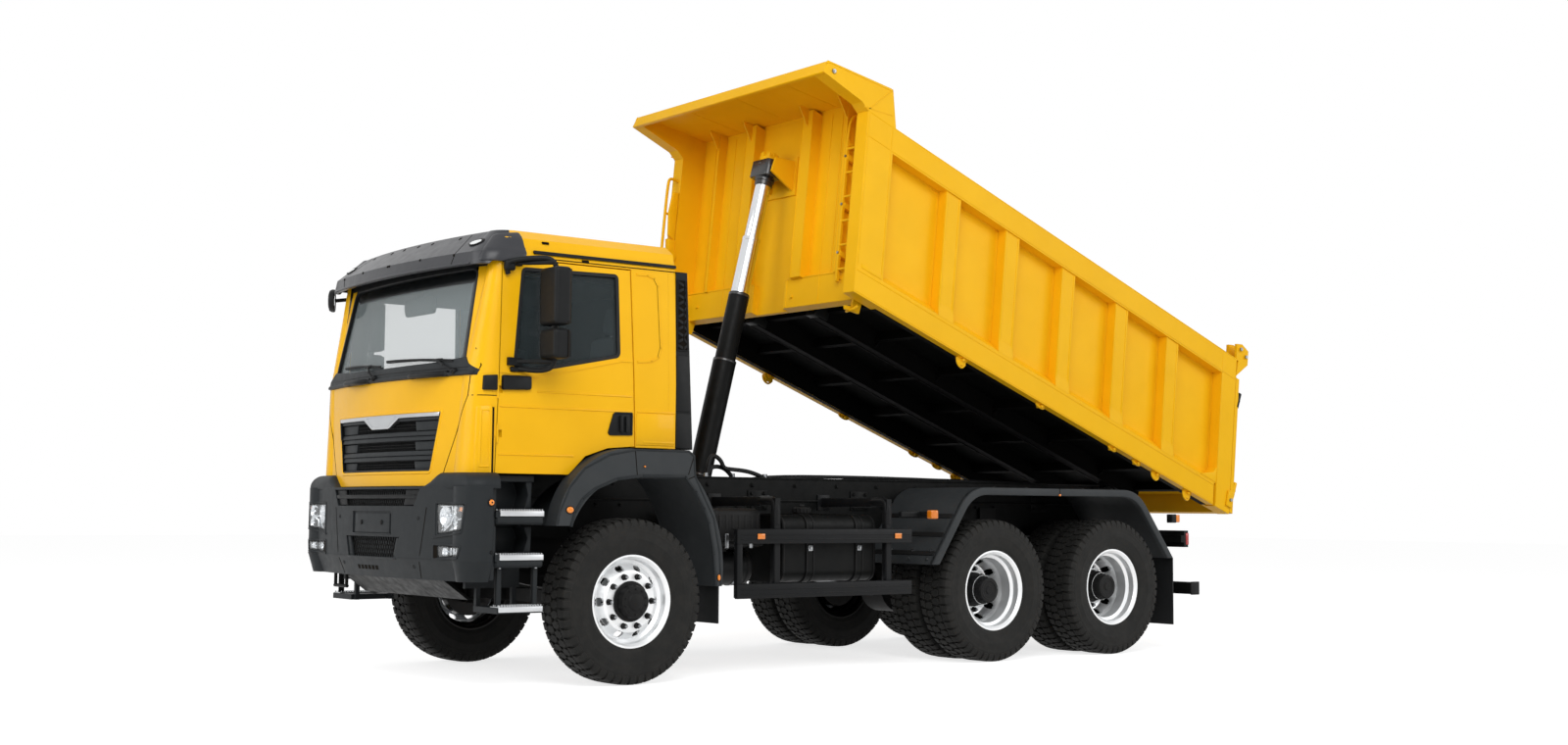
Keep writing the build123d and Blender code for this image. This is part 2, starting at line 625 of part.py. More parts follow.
def knuckle():
    """The left steering knuckle: two ears, the kingpin and the wheel's spindle."""
    z, reach, gap = TYRE_RADIUS, KNUCKLE_HALF, BEAM_EYE_HALF + 6
    ears = block(-50, 50, KINGPIN_Y - 50, KINGPIN_Y + 95, z + gap, z + reach)
    ears += block(-50, 50, KINGPIN_Y - 50, KINGPIN_Y + 95, z - reach, z - gap)
    back = block(-55, 55, KINGPIN_Y + 57, KINGPIN_Y + 95, z - reach, z + reach)
    pin = rod((0, KINGPIN_Y, z - reach), (0, KINGPIN_Y, z + reach), KINGPIN_RADIUS)
    spindle = rod((0, KINGPIN_Y + 90, z), (0, OUTER_TYRE_Y + 60, z), SPINDLE_RADIUS)
    return ears + back + pin + spindle


def leaf_pack(x_mid, half_length, y0, y1, z_eye, z_low, thick, leaves):
    """A pack of arched leaves under each other, each shorter than the last."""
    pack = None
    for i in range(leaves):
        reach = half_length * (1 - 0.17 * i)
        rise = (z_eye - z_low) * (reach / half_length) ** 2
        drop = thick * i
        middle = z_low - drop
        ends = middle + rise
        left, right, foot = x_mid - reach, x_mid + reach, ends - thick
        outline = Wire([
            ThreePointArc((left, y0, ends), (x_mid, y0, middle), (right, y0, ends)),
            Line((right, y0, ends), (right, y0, foot)),
            ThreePointArc((right, y0, foot), (x_mid, y0, middle - thick), (left, y0, foot)),
            Line((left, y0, foot), (left, y0, ends)),
        ])
        leaf = extrude(Face(outline), amount=y1 - y0, dir=(0, 1, 0))
        pack = leaf if pack is None else pack + leaf
    return pack


def springs():
    """The four leaf springs with their hangers on the rails."""
    z = TYRE_RADIUS
    y0, y1 = FRONT_SPRING_Y
    seat = z + BEAM_EYE_HALF
    front = leaf_pack(0, FRONT_SPRING_HALF, y0, y1, 860, seat + 75, 25, 3)
    front += block(-80, 80, y0, y1, seat, seat + 60)
    for x in (20 - FRONT_SPRING_HALF, FRONT_SPRING_HALF - 20):
        front += block(x - 30, x + 30, y0, y1, 830, RAIL_BOTTOM)
    mid = -WHEELBASE - BOGIE_SPACING / 2
    y0, y1 = SPRING_PAD_Y
    half = BOGIE_SPACING / 2 + 60
    top = z + 105
    rear = None
    for i in range(4):
        reach = half * (1 - 0.18 * i)
        z0 = top + 30 * i
        leaf = block(mid - reach, mid + reach, y0, y1, z0, z0 + 30)
        rear = leaf if rear is None else rear + leaf
    saddle = block(mid - 110, mid + 110, RAIL_OUTER_Y, y1, top - 120, top)
    saddle += block(mid - 90, mid + 90, RAIL_OUTER_Y, y0, top - 120, RAIL_STEP - 40)
    return pair(front) + pair(rear + saddle)


def rear_axles():
    """The two driven axles: tubes with a differential housing, spring pads and spindles."""
    z = TYRE_RADIUS
    axles = []
    for x in (-WHEELBASE, -WHEELBASE - BOGIE_SPACING):
        tube = rod((x, -AXLE_TUBE_END, z), (x, AXLE_TUBE_END, z), AXLE_TUBE_RADIUS)
        bowl = rod((x, -130, z), (x, 130, z), DIFFERENTIAL_RADIUS)
        nose = rod((x, 0, z), (x + NOSE_LENGTH, 0, z + 20), 95)
        axle = tube.fuse(bowl, nose)
        if x == -WHEELBASE:
            axle = axle.fuse(rod((x, 0, z), (x - 260, 0, z + 20), 70))
        for sign in (-1, 1):
            y0, y1 = [sign * y for y in SPRING_PAD_Y]
            axle = axle.fuse(block(x - 70, x + 70, y0, y1, z, z + 105))
            start, end = sign * (AXLE_TUBE_END - 10), sign * AXLE_SPINDLE_END
            axle = axle.fuse(rod((x, start, z), (x, end, z), SPINDLE_RADIUS))
        axles.append(axle)
    return axles


def propshaft():
    """The shafts from the gearbox to the first rear axle and from that to the second."""
    z = TYRE_RADIUS
    flange = NOSE_LENGTH - 10
    first = rod((GEARBOX[0] + 10, 0, 860), (-WHEELBASE + flange, 0, z + 20), SHAFT_RADII[0])
    start, end = -WHEELBASE - 250, -WHEELBASE - BOGIE_SPACING + flange
    second = rod((start, 0, z + 20), (end, 0, z + 20), SHAFT_RADII[1])
    axles = rear_axles()
    return [(first - axles[0]) - engine(), (second - axles[0]) - axles[1]]


# ---- wheels ----
def rim_barrel(y, flip):
    """A rim's ring as (outboard distance, radius) points, open to the side that flip names."""
    w, wall = RIM_WIDTH / 2, RIM_WALL
    left = [
        (-w, RIM_RADIUS), (-w + wall, RIM_RADIUS), (-w + wall + 5, BEAD_RADIUS),
        (-w * 0.48, BEAD_RADIUS - 4), (-w * 0.36, WELL_RADIUS),
    ]
    outer = left + [(-a, r) for a, r in reversed(left)]
    inner = [(a, r - wall) for a, r in reversed(outer) if a not in (-w + wall, w - wall)]
    return turned([(flip * a, r) for a, r in outer + inner], y)


def hand_holes(y0, y1, x, z):
    """The ring of oval holes through a wheel's disc."""
    holes = []
    for i in range(HAND_HOLES):
        angle = math.radians(360 / HAND_HOLES * (i + 0.5))
        for shift in (-0.045, 0.045):
            cx = x + HAND_HOLE_CIRCLE * math.sin(angle + shift)
            cz = z + HAND_HOLE_CIRCLE * math.cos(angle + shift)
            holes.append(rod((cx, y0, cz), (cx, y1, cz), HAND_HOLE_RADIUS))
    return holes


def front_rim():
    """The left front rim: convex disc, hub and brake drum on the front axle's line."""
    y, wall = OUTER_TYRE_Y, RIM_WALL
    well = WELL_RADIUS - wall / 2
    disc = [(40, well), (58, 236), (96, 204), (104, 188), (104, 60), (104 - wall, 60), (104 - wall, 184),
            (86, 196), (46, 224), (28, 240), (28, well)]
    rim = rim_barrel(y, 1) + turned(disc, y)
    rim = rim.cut(*hand_holes(y + 10, y + 140, 0, 0))
    back = y - HUB_LENGTH_FRONT
    hub = rod((0, back, 0), (0, y + 104, 0), HUB_RADIUS)
    hub += rod((0, y + 90, 0), (0, y + 90 + HUB_NOSE, 0), HUB_CAP_RADIUS)
    drum = rod((0, back, 0), (0, y + 10, 0), DRUM_RADIUS)
    bore = rod((0, back - 1, 0), (0, y + 60 + SPINDLE_PLAY, 0), SPINDLE_RADIUS + BEARING_GAP)
    return Pos(0, 0, TYRE_RADIUS) * ((rim + hub + drum) - bore)


def rear_rims():
    """A pair of dished rims bolted back to back on one hub, about the axle's own line."""
    y_out, y_in, wall = OUTER_TYRE_Y, OUTER_TYRE_Y - DUAL_SPACING, RIM_WALL
    well = WELL_RADIUS - wall / 2
    flat = DUAL_SPACING / 2
    disc = [(-40, well), (-80, 236), (-flat + 22, 206), (-flat + wall, 188), (-flat + wall, 60), (-flat, 60),
            (-flat, 196), (-flat + 14, 214), (-94, 240), (-60, well)]
    outer = rim_barrel(y_out, 1) + turned(disc, y_out)
    inner = rim_barrel(y_in, -1) + turned([(-a, r) for a, r in disc], y_in)
    rims = (outer + inner).cut(*hand_holes(y_in, y_out, 0, 0))
    face = y_out - flat
    back = face - HUB_LENGTH_REAR
    hub = rod((0, back, 0), (0, face + 40, 0), HUB_RADIUS)
    hub += rod((0, face, 0), (0, face + REAR_HUB_NOSE - 60, 0), 112)
    hub += rod((0, face, 0), (0, face + REAR_HUB_NOSE, 0), HUB_CAP_RADIUS - 2)
    drum = rod((0, back, 0), (0, face - 60, 0), DRUM_RADIUS)
    bore = rod((0, back - 1, 0), (0, AXLE_SPINDLE_END + SPINDLE_PLAY, 0), SPINDLE_RADIUS + BEARING_GAP)
    return (rims + hub + drum) - bore


def tyre(y):
    """One tyre about the X-Z origin, its middle at y."""
    half = TYRE_WIDTH / 2
    bead = RIM_WIDTH / 2 - RIM_WALL - 5
    right = [
        (bead, BEAD_RADIUS), (bead + 2, RIM_RADIUS + 8), (half * 0.93, 356), (half, 420), (half * 0.985, 470),
        (half * 0.93, TYRE_RADIUS - TYRE_SHOULDER - 12), (half * 0.82, TYRE_RADIUS - 9),
        (half * 0.4, TYRE_RADIUS),
    ]
    profile = right + [(-w, r) for w, r in reversed(right)]
    return turned(profile, y)


# ---- bumper, fenders, steps ----
def bumper_mass(inset):
    """The bumper's volume: its foot is drawn in under the main band."""
    rings = []
    for z, draft in BUMPER_ROWS:
        row = (z, BUMPER_SIDE_X, *BUMPER_CORNER, BUMPER_NOSE, BUMPER_HALF_WIDTH)
        rings.append(bowed_outline(row, BUMPER_BACK, inset + draft))
    return stacked(rings)


def bumper_patch(outline, outer, inner):
    """The part of the bumper's skin behind an outline in Y and Z, between two insets."""
    return (bumper_mass(outer) - bumper_mass(inner)) & front_prism(outline, 1000, FRONT_REACH)


def front_bumper():
    """The bumper's shell, with recesses for its lamps, its intakes and the plate, and its stays."""
    shell = bumper_mass(0) - bumper_mass(BUMPER_WALL)
    shell = shell & block(BUMPER_REAR, FRONT_REACH, -SIDE_REACH, SIDE_REACH, 600, 1400)
    for outline in (HEADLAMP, FOG_LAMP):
        pocket = bumper_patch(outline, -5, LAMP_DEPTH)
        shell = shell - pocket - mirrored(pocket)
    shell -= bumper_patch(BUMPER_STEP, -5, LAMP_DEPTH)
    shell -= bumper_patch(BUMPER_INTAKE, -5, LAMP_DEPTH)
    shell -= bumper_patch(PLATE_PLACE, -5, 10)
    for y in (-PLATE_SPACING / 2, PLATE_SPACING / 2):
        shell -= rod((1100, y, PLATE_Z), (1400, y, PLATE_Z), PLATE_HOLE)
    stay = block(RAIL_FRONT, 1250, *STAY_Y, 990, 1200) & bumper_mass(BUMPER_WALL - 1)
    return shell + stay + mirrored(stay)


def headlamps():
    """The headlamps and fog lamps in the bumper's recesses."""
    lamps = []
    for outline in (HEADLAMP, FOG_LAMP):
        lamps += pair(bumper_patch(outline, 0, LAMP_DEPTH))
    return lamps


def skid_plate():
    """The plate under the bumper, with its stays and the small pipe step beside it."""
    sheet = side_prism(SKID_OUTLINE, -SKID_HALF_WIDTH, SKID_HALF_WIDTH)
    for y0, y1 in (STAY_Y, [-y for y in STAY_Y]):
        sheet += block(BUMPER_BACK, BUMPER_BACK + 50, y0, y1, 560, RAIL_BOTTOM)
    x, z, radius = TOE_STEP
    outer, inner = TOE_STEP_Y
    for y in TOE_STEP_Y:
        sheet += rod((x, y, z), (x, y, BUMPER_BOTTOM), radius)
    sheet += rod((x, outer - radius, z), (x, inner + radius, z), radius)
    sheet += rod((x, inner - 60, BUMPER_BOTTOM), (x, inner, BUMPER_BOTTOM), radius)
    return sheet


def front_fenders():
    """The fenders over the front wheels, with the liner behind each and its stays to the rail."""
    outer = [
        Line((600, 1040), (585, 1120)),
        ThreePointArc((585, 1120), (395, 1420), (0, FENDER_TOP)),
        Line((0, FENDER_TOP), (-430, FENDER_TOP)),
        Line((-430, FENDER_TOP), (-478, 1515)),
        Line((-478, 1515), (-490, 1366)),
        ThreePointArc((-490, 1366), (-672, 1050), (-712, 632)),
        Line((-712, 632), (-652, 632)),
        ThreePointArc((-652, 632), (-590, 1060), (-400, 1360)),
        Line((-400, 1360), (-60, 1360)),
        ThreePointArc((-60, 1360), (300, 1270), (478, 1040)),
        Line((478, 1040), (600, 1040)),
    ]
    plane = Plane(origin=(0, FENDER_FACE, 0), x_dir=(1, 0, 0), z_dir=(0, -1, 0))
    band = extrude(plane * Face(Wire(outer)), amount=FENDER_BAND)
    w = LINER_WALL
    liner = [
        ThreePointArc((-652, 632), (-590, 1060), (-400, 1360)),
        Line((-400, 1360), (-60, 1360)),
        ThreePointArc((-60, 1360), (300, 1270), (478, 1040)),
        Line((478, 1040), (478 + w, 1040)),
        ThreePointArc((478 + w, 1040), (300 + w, 1270 + w), (-60, 1360 + w)),
        Line((-60, 1360 + w), (-400 - w, 1360 + w)),
        ThreePointArc((-400 - w, 1360 + w), (-590 - w, 1060), (-652 - w, 632)),
        Line((-652 - w, 632), (-652, 632)),
    ]
    plane = Plane(origin=(0, FENDER_FACE - FENDER_BAND, 0), x_dir=(1, 0, 0), z_dir=(0, -1, 0))
    sheet = extrude(plane * Face(Wire(liner)), amount=FENDER_FACE - FENDER_BAND - LINER_INNER_Y)
    fender = band + sheet
    for x in (-330, -130):
        fender += block(x - 25, x + 25, RAIL_OUTER_Y, LINER_INNER_Y + 10, 1360, 1360 + w)
    return pair(fender)


def cab_steps():
    """The step wells: a dark back plate with three treads, the lowest on two straps."""
    x0, x1 = STEP_X
    y0, y1, thick = STEP_INNER_Y, STEP_OUTER_Y, STEP_THICKNESS
    high, middle, low = STEP_HEIGHTS
    well = block(x0, BUMPER_REAR, y0 - 30, y0, 640, 1355)
    well += block(x1 + 20, BUMPER_REAR, y0, y1 - 20, 700, 1280)
    for z in (high, middle):
        well += block(x0, x1 + 20, y0, y1, z - thick, z)
    well += block(x0, x1, y0, y1, low - thick, low)
    for x in (x0 + 20, x1 - 50):
        well += block(x, x + 30, y0 - 30, y0, low - thick, 660)
        well += block(x, x + 30, 1150, 1162, low - 1, middle - 1)
    well += block(900, 970, RAIL_OUTER_Y, y0 - 20, 1080, 1160)
    return pair(well)


def mudflaps():
    """The flaps behind the front wheels and behind the last axle."""
    flaps = []
    for x, inner_y, z0, z1 in (FRONT_FLAP, REAR_FLAP):
        flaps += pair(block(x, x + FLAP_THICKNESS, inner_y, FENDER_FACE, z0, z1))
    return flaps


def rear_fenders():
    """The fenders over the bogie: one bent sheet a side from the rail outwards, with a deeper outer lip."""
    lip_depth, lip_width = REAR_FENDER_LIP
    sheet = fender_band(REAR_FENDER_SHEET, RAIL_OUTER_Y, FENDER_FACE)
    return pair(sheet + fender_band(lip_depth, FENDER_FACE - lip_width, FENDER_FACE))


def fender_band(depth, y0, y1):
    """A bent band that follows the rear fender's path, with its thickness measured inwards."""
    (x0, z0), (x1, z1), (x2, z2), (x3, z3) = REAR_FENDER_PATH
    end, bend = depth * 1.2, depth * 0.58
    inner = [(x0 - end, z0), (x1 - bend, z1 - depth), (x2 + bend, z2 - depth), (x3 + end, z3)]
    return side_prism(list(REAR_FENDER_PATH) + inner[::-1], y0, y1)


def side_guards():
    """Two bars a side on posts, held by arms from the rail."""
    x0, x1 = GUARD_X
    face = FENDER_FACE - 10
    back, (low, high), half = face - GUARD_DEPTH, GUARD_ARM, GUARD_POST_HALF
    guard = block(x0, x1, back, face, *GUARD_BARS[0]) + block(x0, x1, back, face, *GUARD_BARS[1])
    for x in GUARD_POSTS:
        guard += block(x - half, x + half, face - 70, back, GUARD_BARS[1][0], high)
        guard += block(x - half, x + half, RAIL_OUTER_Y, back, low, high)
    return pair(guard)


def fuel_tank():
    """The fuel tank on the left, with its straps, brackets and filler cap."""
    x0, x1, y0, y1, z0, z1 = TANK
    tank = fillet(block(*TANK).edges().filter_by(Axis.X), TANK_EDGE)
    half, out = STRAP_HALF, STRAP_PROUD
    for x in TANK_STRAPS:
        strap = block(x - half, x + half, y0 - out, y1 + out, z0 - out, z1 + out)
        tank += fillet(strap.edges().filter_by(Axis.X), TANK_EDGE + 5)
        tank += block(x - half, x + half, RAIL_OUTER_Y, y0 + 20, 980, 1040)
    x, y, radius, proud = TANK_CAP
    return tank + rod((x, y, z1 - 15), (x, y, z1 + proud), radius)


def battery_boxes():
    """The battery box and the air tank hung under it, on each side, and the locker behind them on the right."""
    x0, x1, y0, y1, z0, z1 = BATTERY_BOX
    case = block(*BATTERY_BOX) + block(x0 + 50, x1 - 60, RAIL_OUTER_Y, y0 + 10, 1000, 1100)
    y, z, radius = AIR_TANK
    case += rod((AIR_TANK_X[0], y, z), (AIR_TANK_X[1], y, z), radius)
    case += block(-980, -930, y - 60, y + 60, 850, z0 + 5)
    locker = block(*LOCKER) + block(-1800, -1700, RAIL_OUTER_Y, LOCKER[2] + 10, 980, LOCKER[5])
    return pair(case) + [mirrored(locker)]


def rear_underrun():
    """The beam across the back, its arms from the rails, and the bar that carries the tail lamps."""
    beam = block(*UNDERRUN_BEAM)
    x0, x1 = LAMP_BAR_X
    z0, z1 = LAMP_BAR_Z
    for sign in (-1, 1):
        inner, outer = sign * RAIL_OUTER_Y, sign * (RAIL_OUTER_Y + FORK_CHEEK)
        beam += side_prism(UNDERRUN_ARM, outer, inner)
        beam += block(x0, x1, inner, sign * TAIL_LAMP[3], z0, z1)
        beam += block(x0, x1 + 120, inner, outer, z0, z1 + 40)
    return beam


def tail_lamps():
    """The tail lamps, on the rear face of their bar."""
    return pair(block(*TAIL_LAMP))


# ---- bed: s runs forward from the hinge, n up from it ----
def bed_at(s, n):
    """A place on the bed, with the bed lying on the frame."""
    return HINGE_X + s, HINGE_Z + n


def bed_plate(points, y0, y1):
    """An outline in s and n, carried from y0 to y1."""
    return side_prism([bed_at(s, n) for s, n in points], y0, y1)


def leaning(s0, s1, n0, n1, y0, y1):
    """A bar between two leaning lines of the bed and two levels."""
    return bed_plate(
        [(s0 + LEAN * n0, n0), (s1 + LEAN * n0, n0), (s1 + LEAN * n1, n1), (s0 + LEAN * n1, n1)], y0, y1
    )


def raised(shape):
    """A piece of the bed turned up to its stored angle."""
    return shape.rotate(Axis((HINGE_X, 0, HINGE_Z), (0, 1, 0)), -BED_REST)


def bed_side():
    """The left side: skin, rails along its top and bottom, posts and ribs."""
    bottom, top, face = BED_UNDERSIDE, BED_TOP, BED_HALF_WIDTH
    first, last = BED_REAR + REAR_POST, BED_FRONT - FRONT_POST
    side = leaning(BED_REAR, BED_FRONT, bottom, top, SKIN_IN, SKIN_OUT)
    side += leaning(first + 30, BED_FRONT, bottom, bottom + SIDE_RAIL, SKIN_IN, face)
    side += leaning(BED_REAR, BED_FRONT, top - SIDE_RAIL, top, SKIN_IN, face)
    side += leaning(last, BED_FRONT, bottom, top, SKIN_IN, face)
    side += leaning(BED_REAR, first, bottom, top, SKIN_IN, face)
    pitch = (last - first) / (SIDE_RIBS + 1)
    low, high, half = bottom + SIDE_RAIL - 1, top - SIDE_RAIL + 1, SIDE_RIB_WIDTH / 2
    for i in range(SIDE_RIBS):
        mid = first + pitch * (i + 1)
        side += leaning(mid - half, mid + half, low, high, SKIN_OUT - 1, face - 12)
    inner_ear = SKIN_IN + 10
    for y0 in (inner_ear, face - EAR_THICKNESS):
        side += bed_plate(GATE_EAR, y0, y0 + EAR_THICKNESS)
    return side + bed_rod_y(GATE_PIN_S, GATE_PIN_N, inner_ear, face, GATE_PIN)


def bed_rod_y(s, n, y0, y1, radius):
    """A round bar across the bed."""
    x, z = bed_at(s, n)
    return rod((x, y0, z), (x, y1, z), radius)


def bed_sides():
    """Both sides of the bed."""
    side = raised(bed_side())
    return pair(side)


def bed_floor():
    """The floor plate between the sides and the front wall."""
    return raised(leaning(BED_REAR, WALL_S - BED_SKIN, FLOOR_TOP - BED_SKIN, FLOOR_TOP, -SKIN_IN, SKIN_IN))


def bed_subframe():
    """The two sills under the floor, their cross-bearers and the hinge lugs."""
    top = FLOOR_TOP - BED_SKIN
    rear, front, front_top = SILL_ENDS
    outline = [(rear, SILL_BOTTOM), (front, SILL_BOTTOM), (front_top, top), (rear, top)]
    pieces = []
    for sign in (-1, 1):
        middle, half = sign * SILL_Y, sign * SILL_WIDTH / 2
        pieces.append(bed_plate(outline, middle - half, middle + half))
        pieces.append(bed_plate(HINGE_LUG, middle - sign * LUG_HALF, middle + sign * LUG_HALF))
    half, low = BEARER_WIDTH / 2, top - BEARER_DEPTH
    for s in BEARERS:
        bearer = [(s - half, low), (s + half, low), (s + half, top), (s - half, top)]
        pieces.append(bed_plate(bearer, -SKIN_IN, SKIN_IN))
    frame = pieces[0].fuse(*pieces[1:])
    for y in (-SILL_Y, SILL_Y):
        frame -= bed_rod_y(0, 0, y - 60, y + 60, HINGE_PIN + BEARING_GAP)
    return raised(frame)


def bed_front_wall():
    """The front wall with its ribs, the hoist's bracket and the ladder."""
    low, high, deep = WALL_BAND
    s, n = head_on_bed()
    wall = leaning(WALL_S - BED_SKIN, WALL_S, FLOOR_TOP - BED_SKIN, WALL_TOP, -SKIN_IN, SKIN_IN)
    wall += leaning(WALL_S - BED_SKIN, WALL_S, low, high, -SKIN_IN, SKIN_IN)
    wall += leaning(WALL_S, WALL_S + 14, n - 150, n + 150, -180, 180)
    inner = HEAD_HALF_WIDTH + HEAD_BRACKET_GAP
    outer = inner + HEAD_BRACKET
    cheek = [(WALL_S + LEAN * (n - 120) - 5, n - 120), (s + 45, n - 60), (s + 45, n + 60),
             (WALL_S + LEAN * (n + 120) - 5, n + 120)]
    for sign in (-1, 1):
        wall += leaning(WALL_S - BED_SKIN, WALL_S + deep, low, high, sign * HOIST_POCKET, sign * SKIN_IN)
        for y0, y1, proud in WALL_RIBS:
            wall += leaning(WALL_S, WALL_S + proud, high - 10, WALL_TOP, sign * y0, sign * y1)
        wall += bed_plate(cheek, sign * inner, sign * outer)
        wall += bed_rod_y(s, n, sign * (HEAD_HALF_WIDTH + HEAD_PIN_PLAY), sign * outer, HEAD_PIN_RADIUS)
    return raised(wall + ladder())


def ladder():
    """The ladder on the front wall, with the brackets that hold its stiles."""
    foot, top = LADDER_LEVELS
    steps = []
    for y in LADDER_Y:
        steps.append(leaning(WALL_S + 75, WALL_S + 100, foot, top, y, y + LADDER_STILE))
        for n in (foot + 40, top - 30):
            steps.append(leaning(WALL_S - 5, WALL_S + 90, n - 14, n + 14, y, y + LADDER_STILE))
    for i in range(RUNGS):
        n = foot + 90 + RUNG_PITCH * i
        y0, y1 = LADDER_Y[0] + 5, LADDER_Y[1] + 15
        steps.append(bed_rod_y(WALL_S + 87 + LEAN * n, n, y0, y1, RUNG_RADIUS))
    return steps[0].fuse(*steps[1:])


def head_on_bed():
    """The hoist head's pin in the bed's own s and n."""
    dx, dz, angle = HEAD_X - HINGE_X, HEAD_Z - HINGE_Z, math.radians(BED_REST)
    return dx * math.cos(angle) + dz * math.sin(angle), dz * math.cos(angle) - dx * math.sin(angle)


def bed_canopy():
    """The cab guard: its plate, front lip and the gussets at its ends."""
    canopy = bed_plate(CANOPY_SHEET, -BED_HALF_WIDTH, BED_HALF_WIDTH)
    canopy += bed_plate(CANOPY_LIP, -BED_HALF_WIDTH, BED_HALF_WIDTH)
    for sign in (-1, 1):
        canopy += bed_plate(CANOPY_GUSSET, sign * SKIN_IN, sign * BED_HALF_WIDTH)
    canopy += leaning(WALL_S - BED_SKIN, WALL_S, WALL_TOP, WALL_TOP + 32, -SKIN_IN, SKIN_IN)
    return raised(canopy)


def tailgate():
    """The tailgate, hung by two arms from the pins in the sides' ears."""
    low, high = GATE_LEVELS
    front, back = BED_REAR - GATE_GAP, BED_REAR - GATE_GAP - GATE_THICKNESS
    gate = leaning(back, front, low, high, -BED_HALF_WIDTH, BED_HALF_WIDTH)
    for y in GATE_RIBS:
        y0, y1 = y - GATE_RIB_HALF, y + GATE_RIB_HALF
        gate += leaning(back - GATE_RIB_DEPTH, back + 1, low + 60, high - 40, y0, y1)
    shoulder = high - GATE_SHOULDER
    s, n = GATE_PIN_S, GATE_PIN_N
    boss = [(s - 36, n - 10), (s - 12, n + 34), (s + 34, n)]
    ahead = [(front + LEAN * n, n) for n in (high, shoulder - 60)]
    behind = [(back + LEAN * n, n) for n in (shoulder - 60, high)]
    middle = (SKIN_IN + 10 + EAR_THICKNESS + BED_HALF_WIDTH - EAR_THICKNESS) / 2
    for sign in (-1, 1):
        y0, y1 = sign * (SKIN_IN + 2), sign * (BED_HALF_WIDTH + 1)
        gate -= leaning(back - 1, front + 1, shoulder, high + 1, y0, y1)
    for sign in (-1, 1):
        gate += bed_plate(behind + boss + ahead, sign * (middle - 24), sign * (middle + 24))
        gate -= bed_rod_y(s, n, sign * 1100, sign * SIDE_REACH, GATE_PIN + BEARING_GAP)
    return raised(gate)


# ---- hoist: drawn upright over its foot, then leaned onto the head's pin ----
def leaned(shape):
    """A hoist piece drawn from the origin upwards, put on its foot and leaned back."""
    return Pos(HOIST_X, 0, HOIST_Z) * shape.rotate(Axis.Y, -HOIST_LEAN)


def sleeve(radius, wall, z0, z1):
    """A tube about the hoist's axis, closed at its foot."""
    tube = rod((0, 0, z0), (0, 0, z1), radius)
    return tube - rod((0, 0, z0 + 12), (0, 0, z1 + 1), radius - wall)


def hoist_barrel():
    """The fixed barrel with its trunnion pins."""
    barrel = sleeve(STAGE_RADII[0], STAGE_WALL, BARREL_FOOT, BARREL_LENGTH)
    barrel += rod((0, -TRUNNION_HALF, 0), (0, TRUNNION_HALF, 0), TRUNNION)
    return leaned(barrel - rod((0, 0, -20), (0, 0, 500), STAGE_RADII[1]))


def hoist_stage_low():
    """The first stage, which stands out of the barrel."""
    top = BARREL_LENGTH + BARREL_SHARE
    return leaned(sleeve(STAGE_RADII[1], STAGE_WALL, top - BARREL_LENGTH + 70, top))


def hoist_stage_high():
    """The second, bright stage."""
    top = BARREL_LENGTH + BARREL_SHARE + CHROME_SHARE
    return leaned(sleeve(STAGE_RADII[2], STAGE_WALL, top - BARREL_LENGTH + 100, top))


def hoist_rod():
    """The last stage with the head block that takes the bed's bracket."""
    top = HOIST_REACH
    below, above = HEAD_SPAN
    bar = rod((0, 0, top - BARREL_LENGTH + 60), (0, 0, top - 60), STAGE_RADII[3])
    head = block(-80, 80, -HEAD_HALF_WIDTH, HEAD_HALF_WIDTH, top - below, top + above)
    head = fillet(head.edges().filter_by(Axis.Z), 40)
    cap = rod((0, 0, top + above - 5), (0, 0, top + above + 35), 60)
    return leaned(bar + head + cap)


# ---- the whole lorry ----
def at_wheel(shape, x, left):
    """A wheel piece drawn about the X-Z origin on the left, put on its axle."""
    placed = Pos(x, 0, TYRE_RADIUS) * shape
    return placed if left else mirrored(placed)


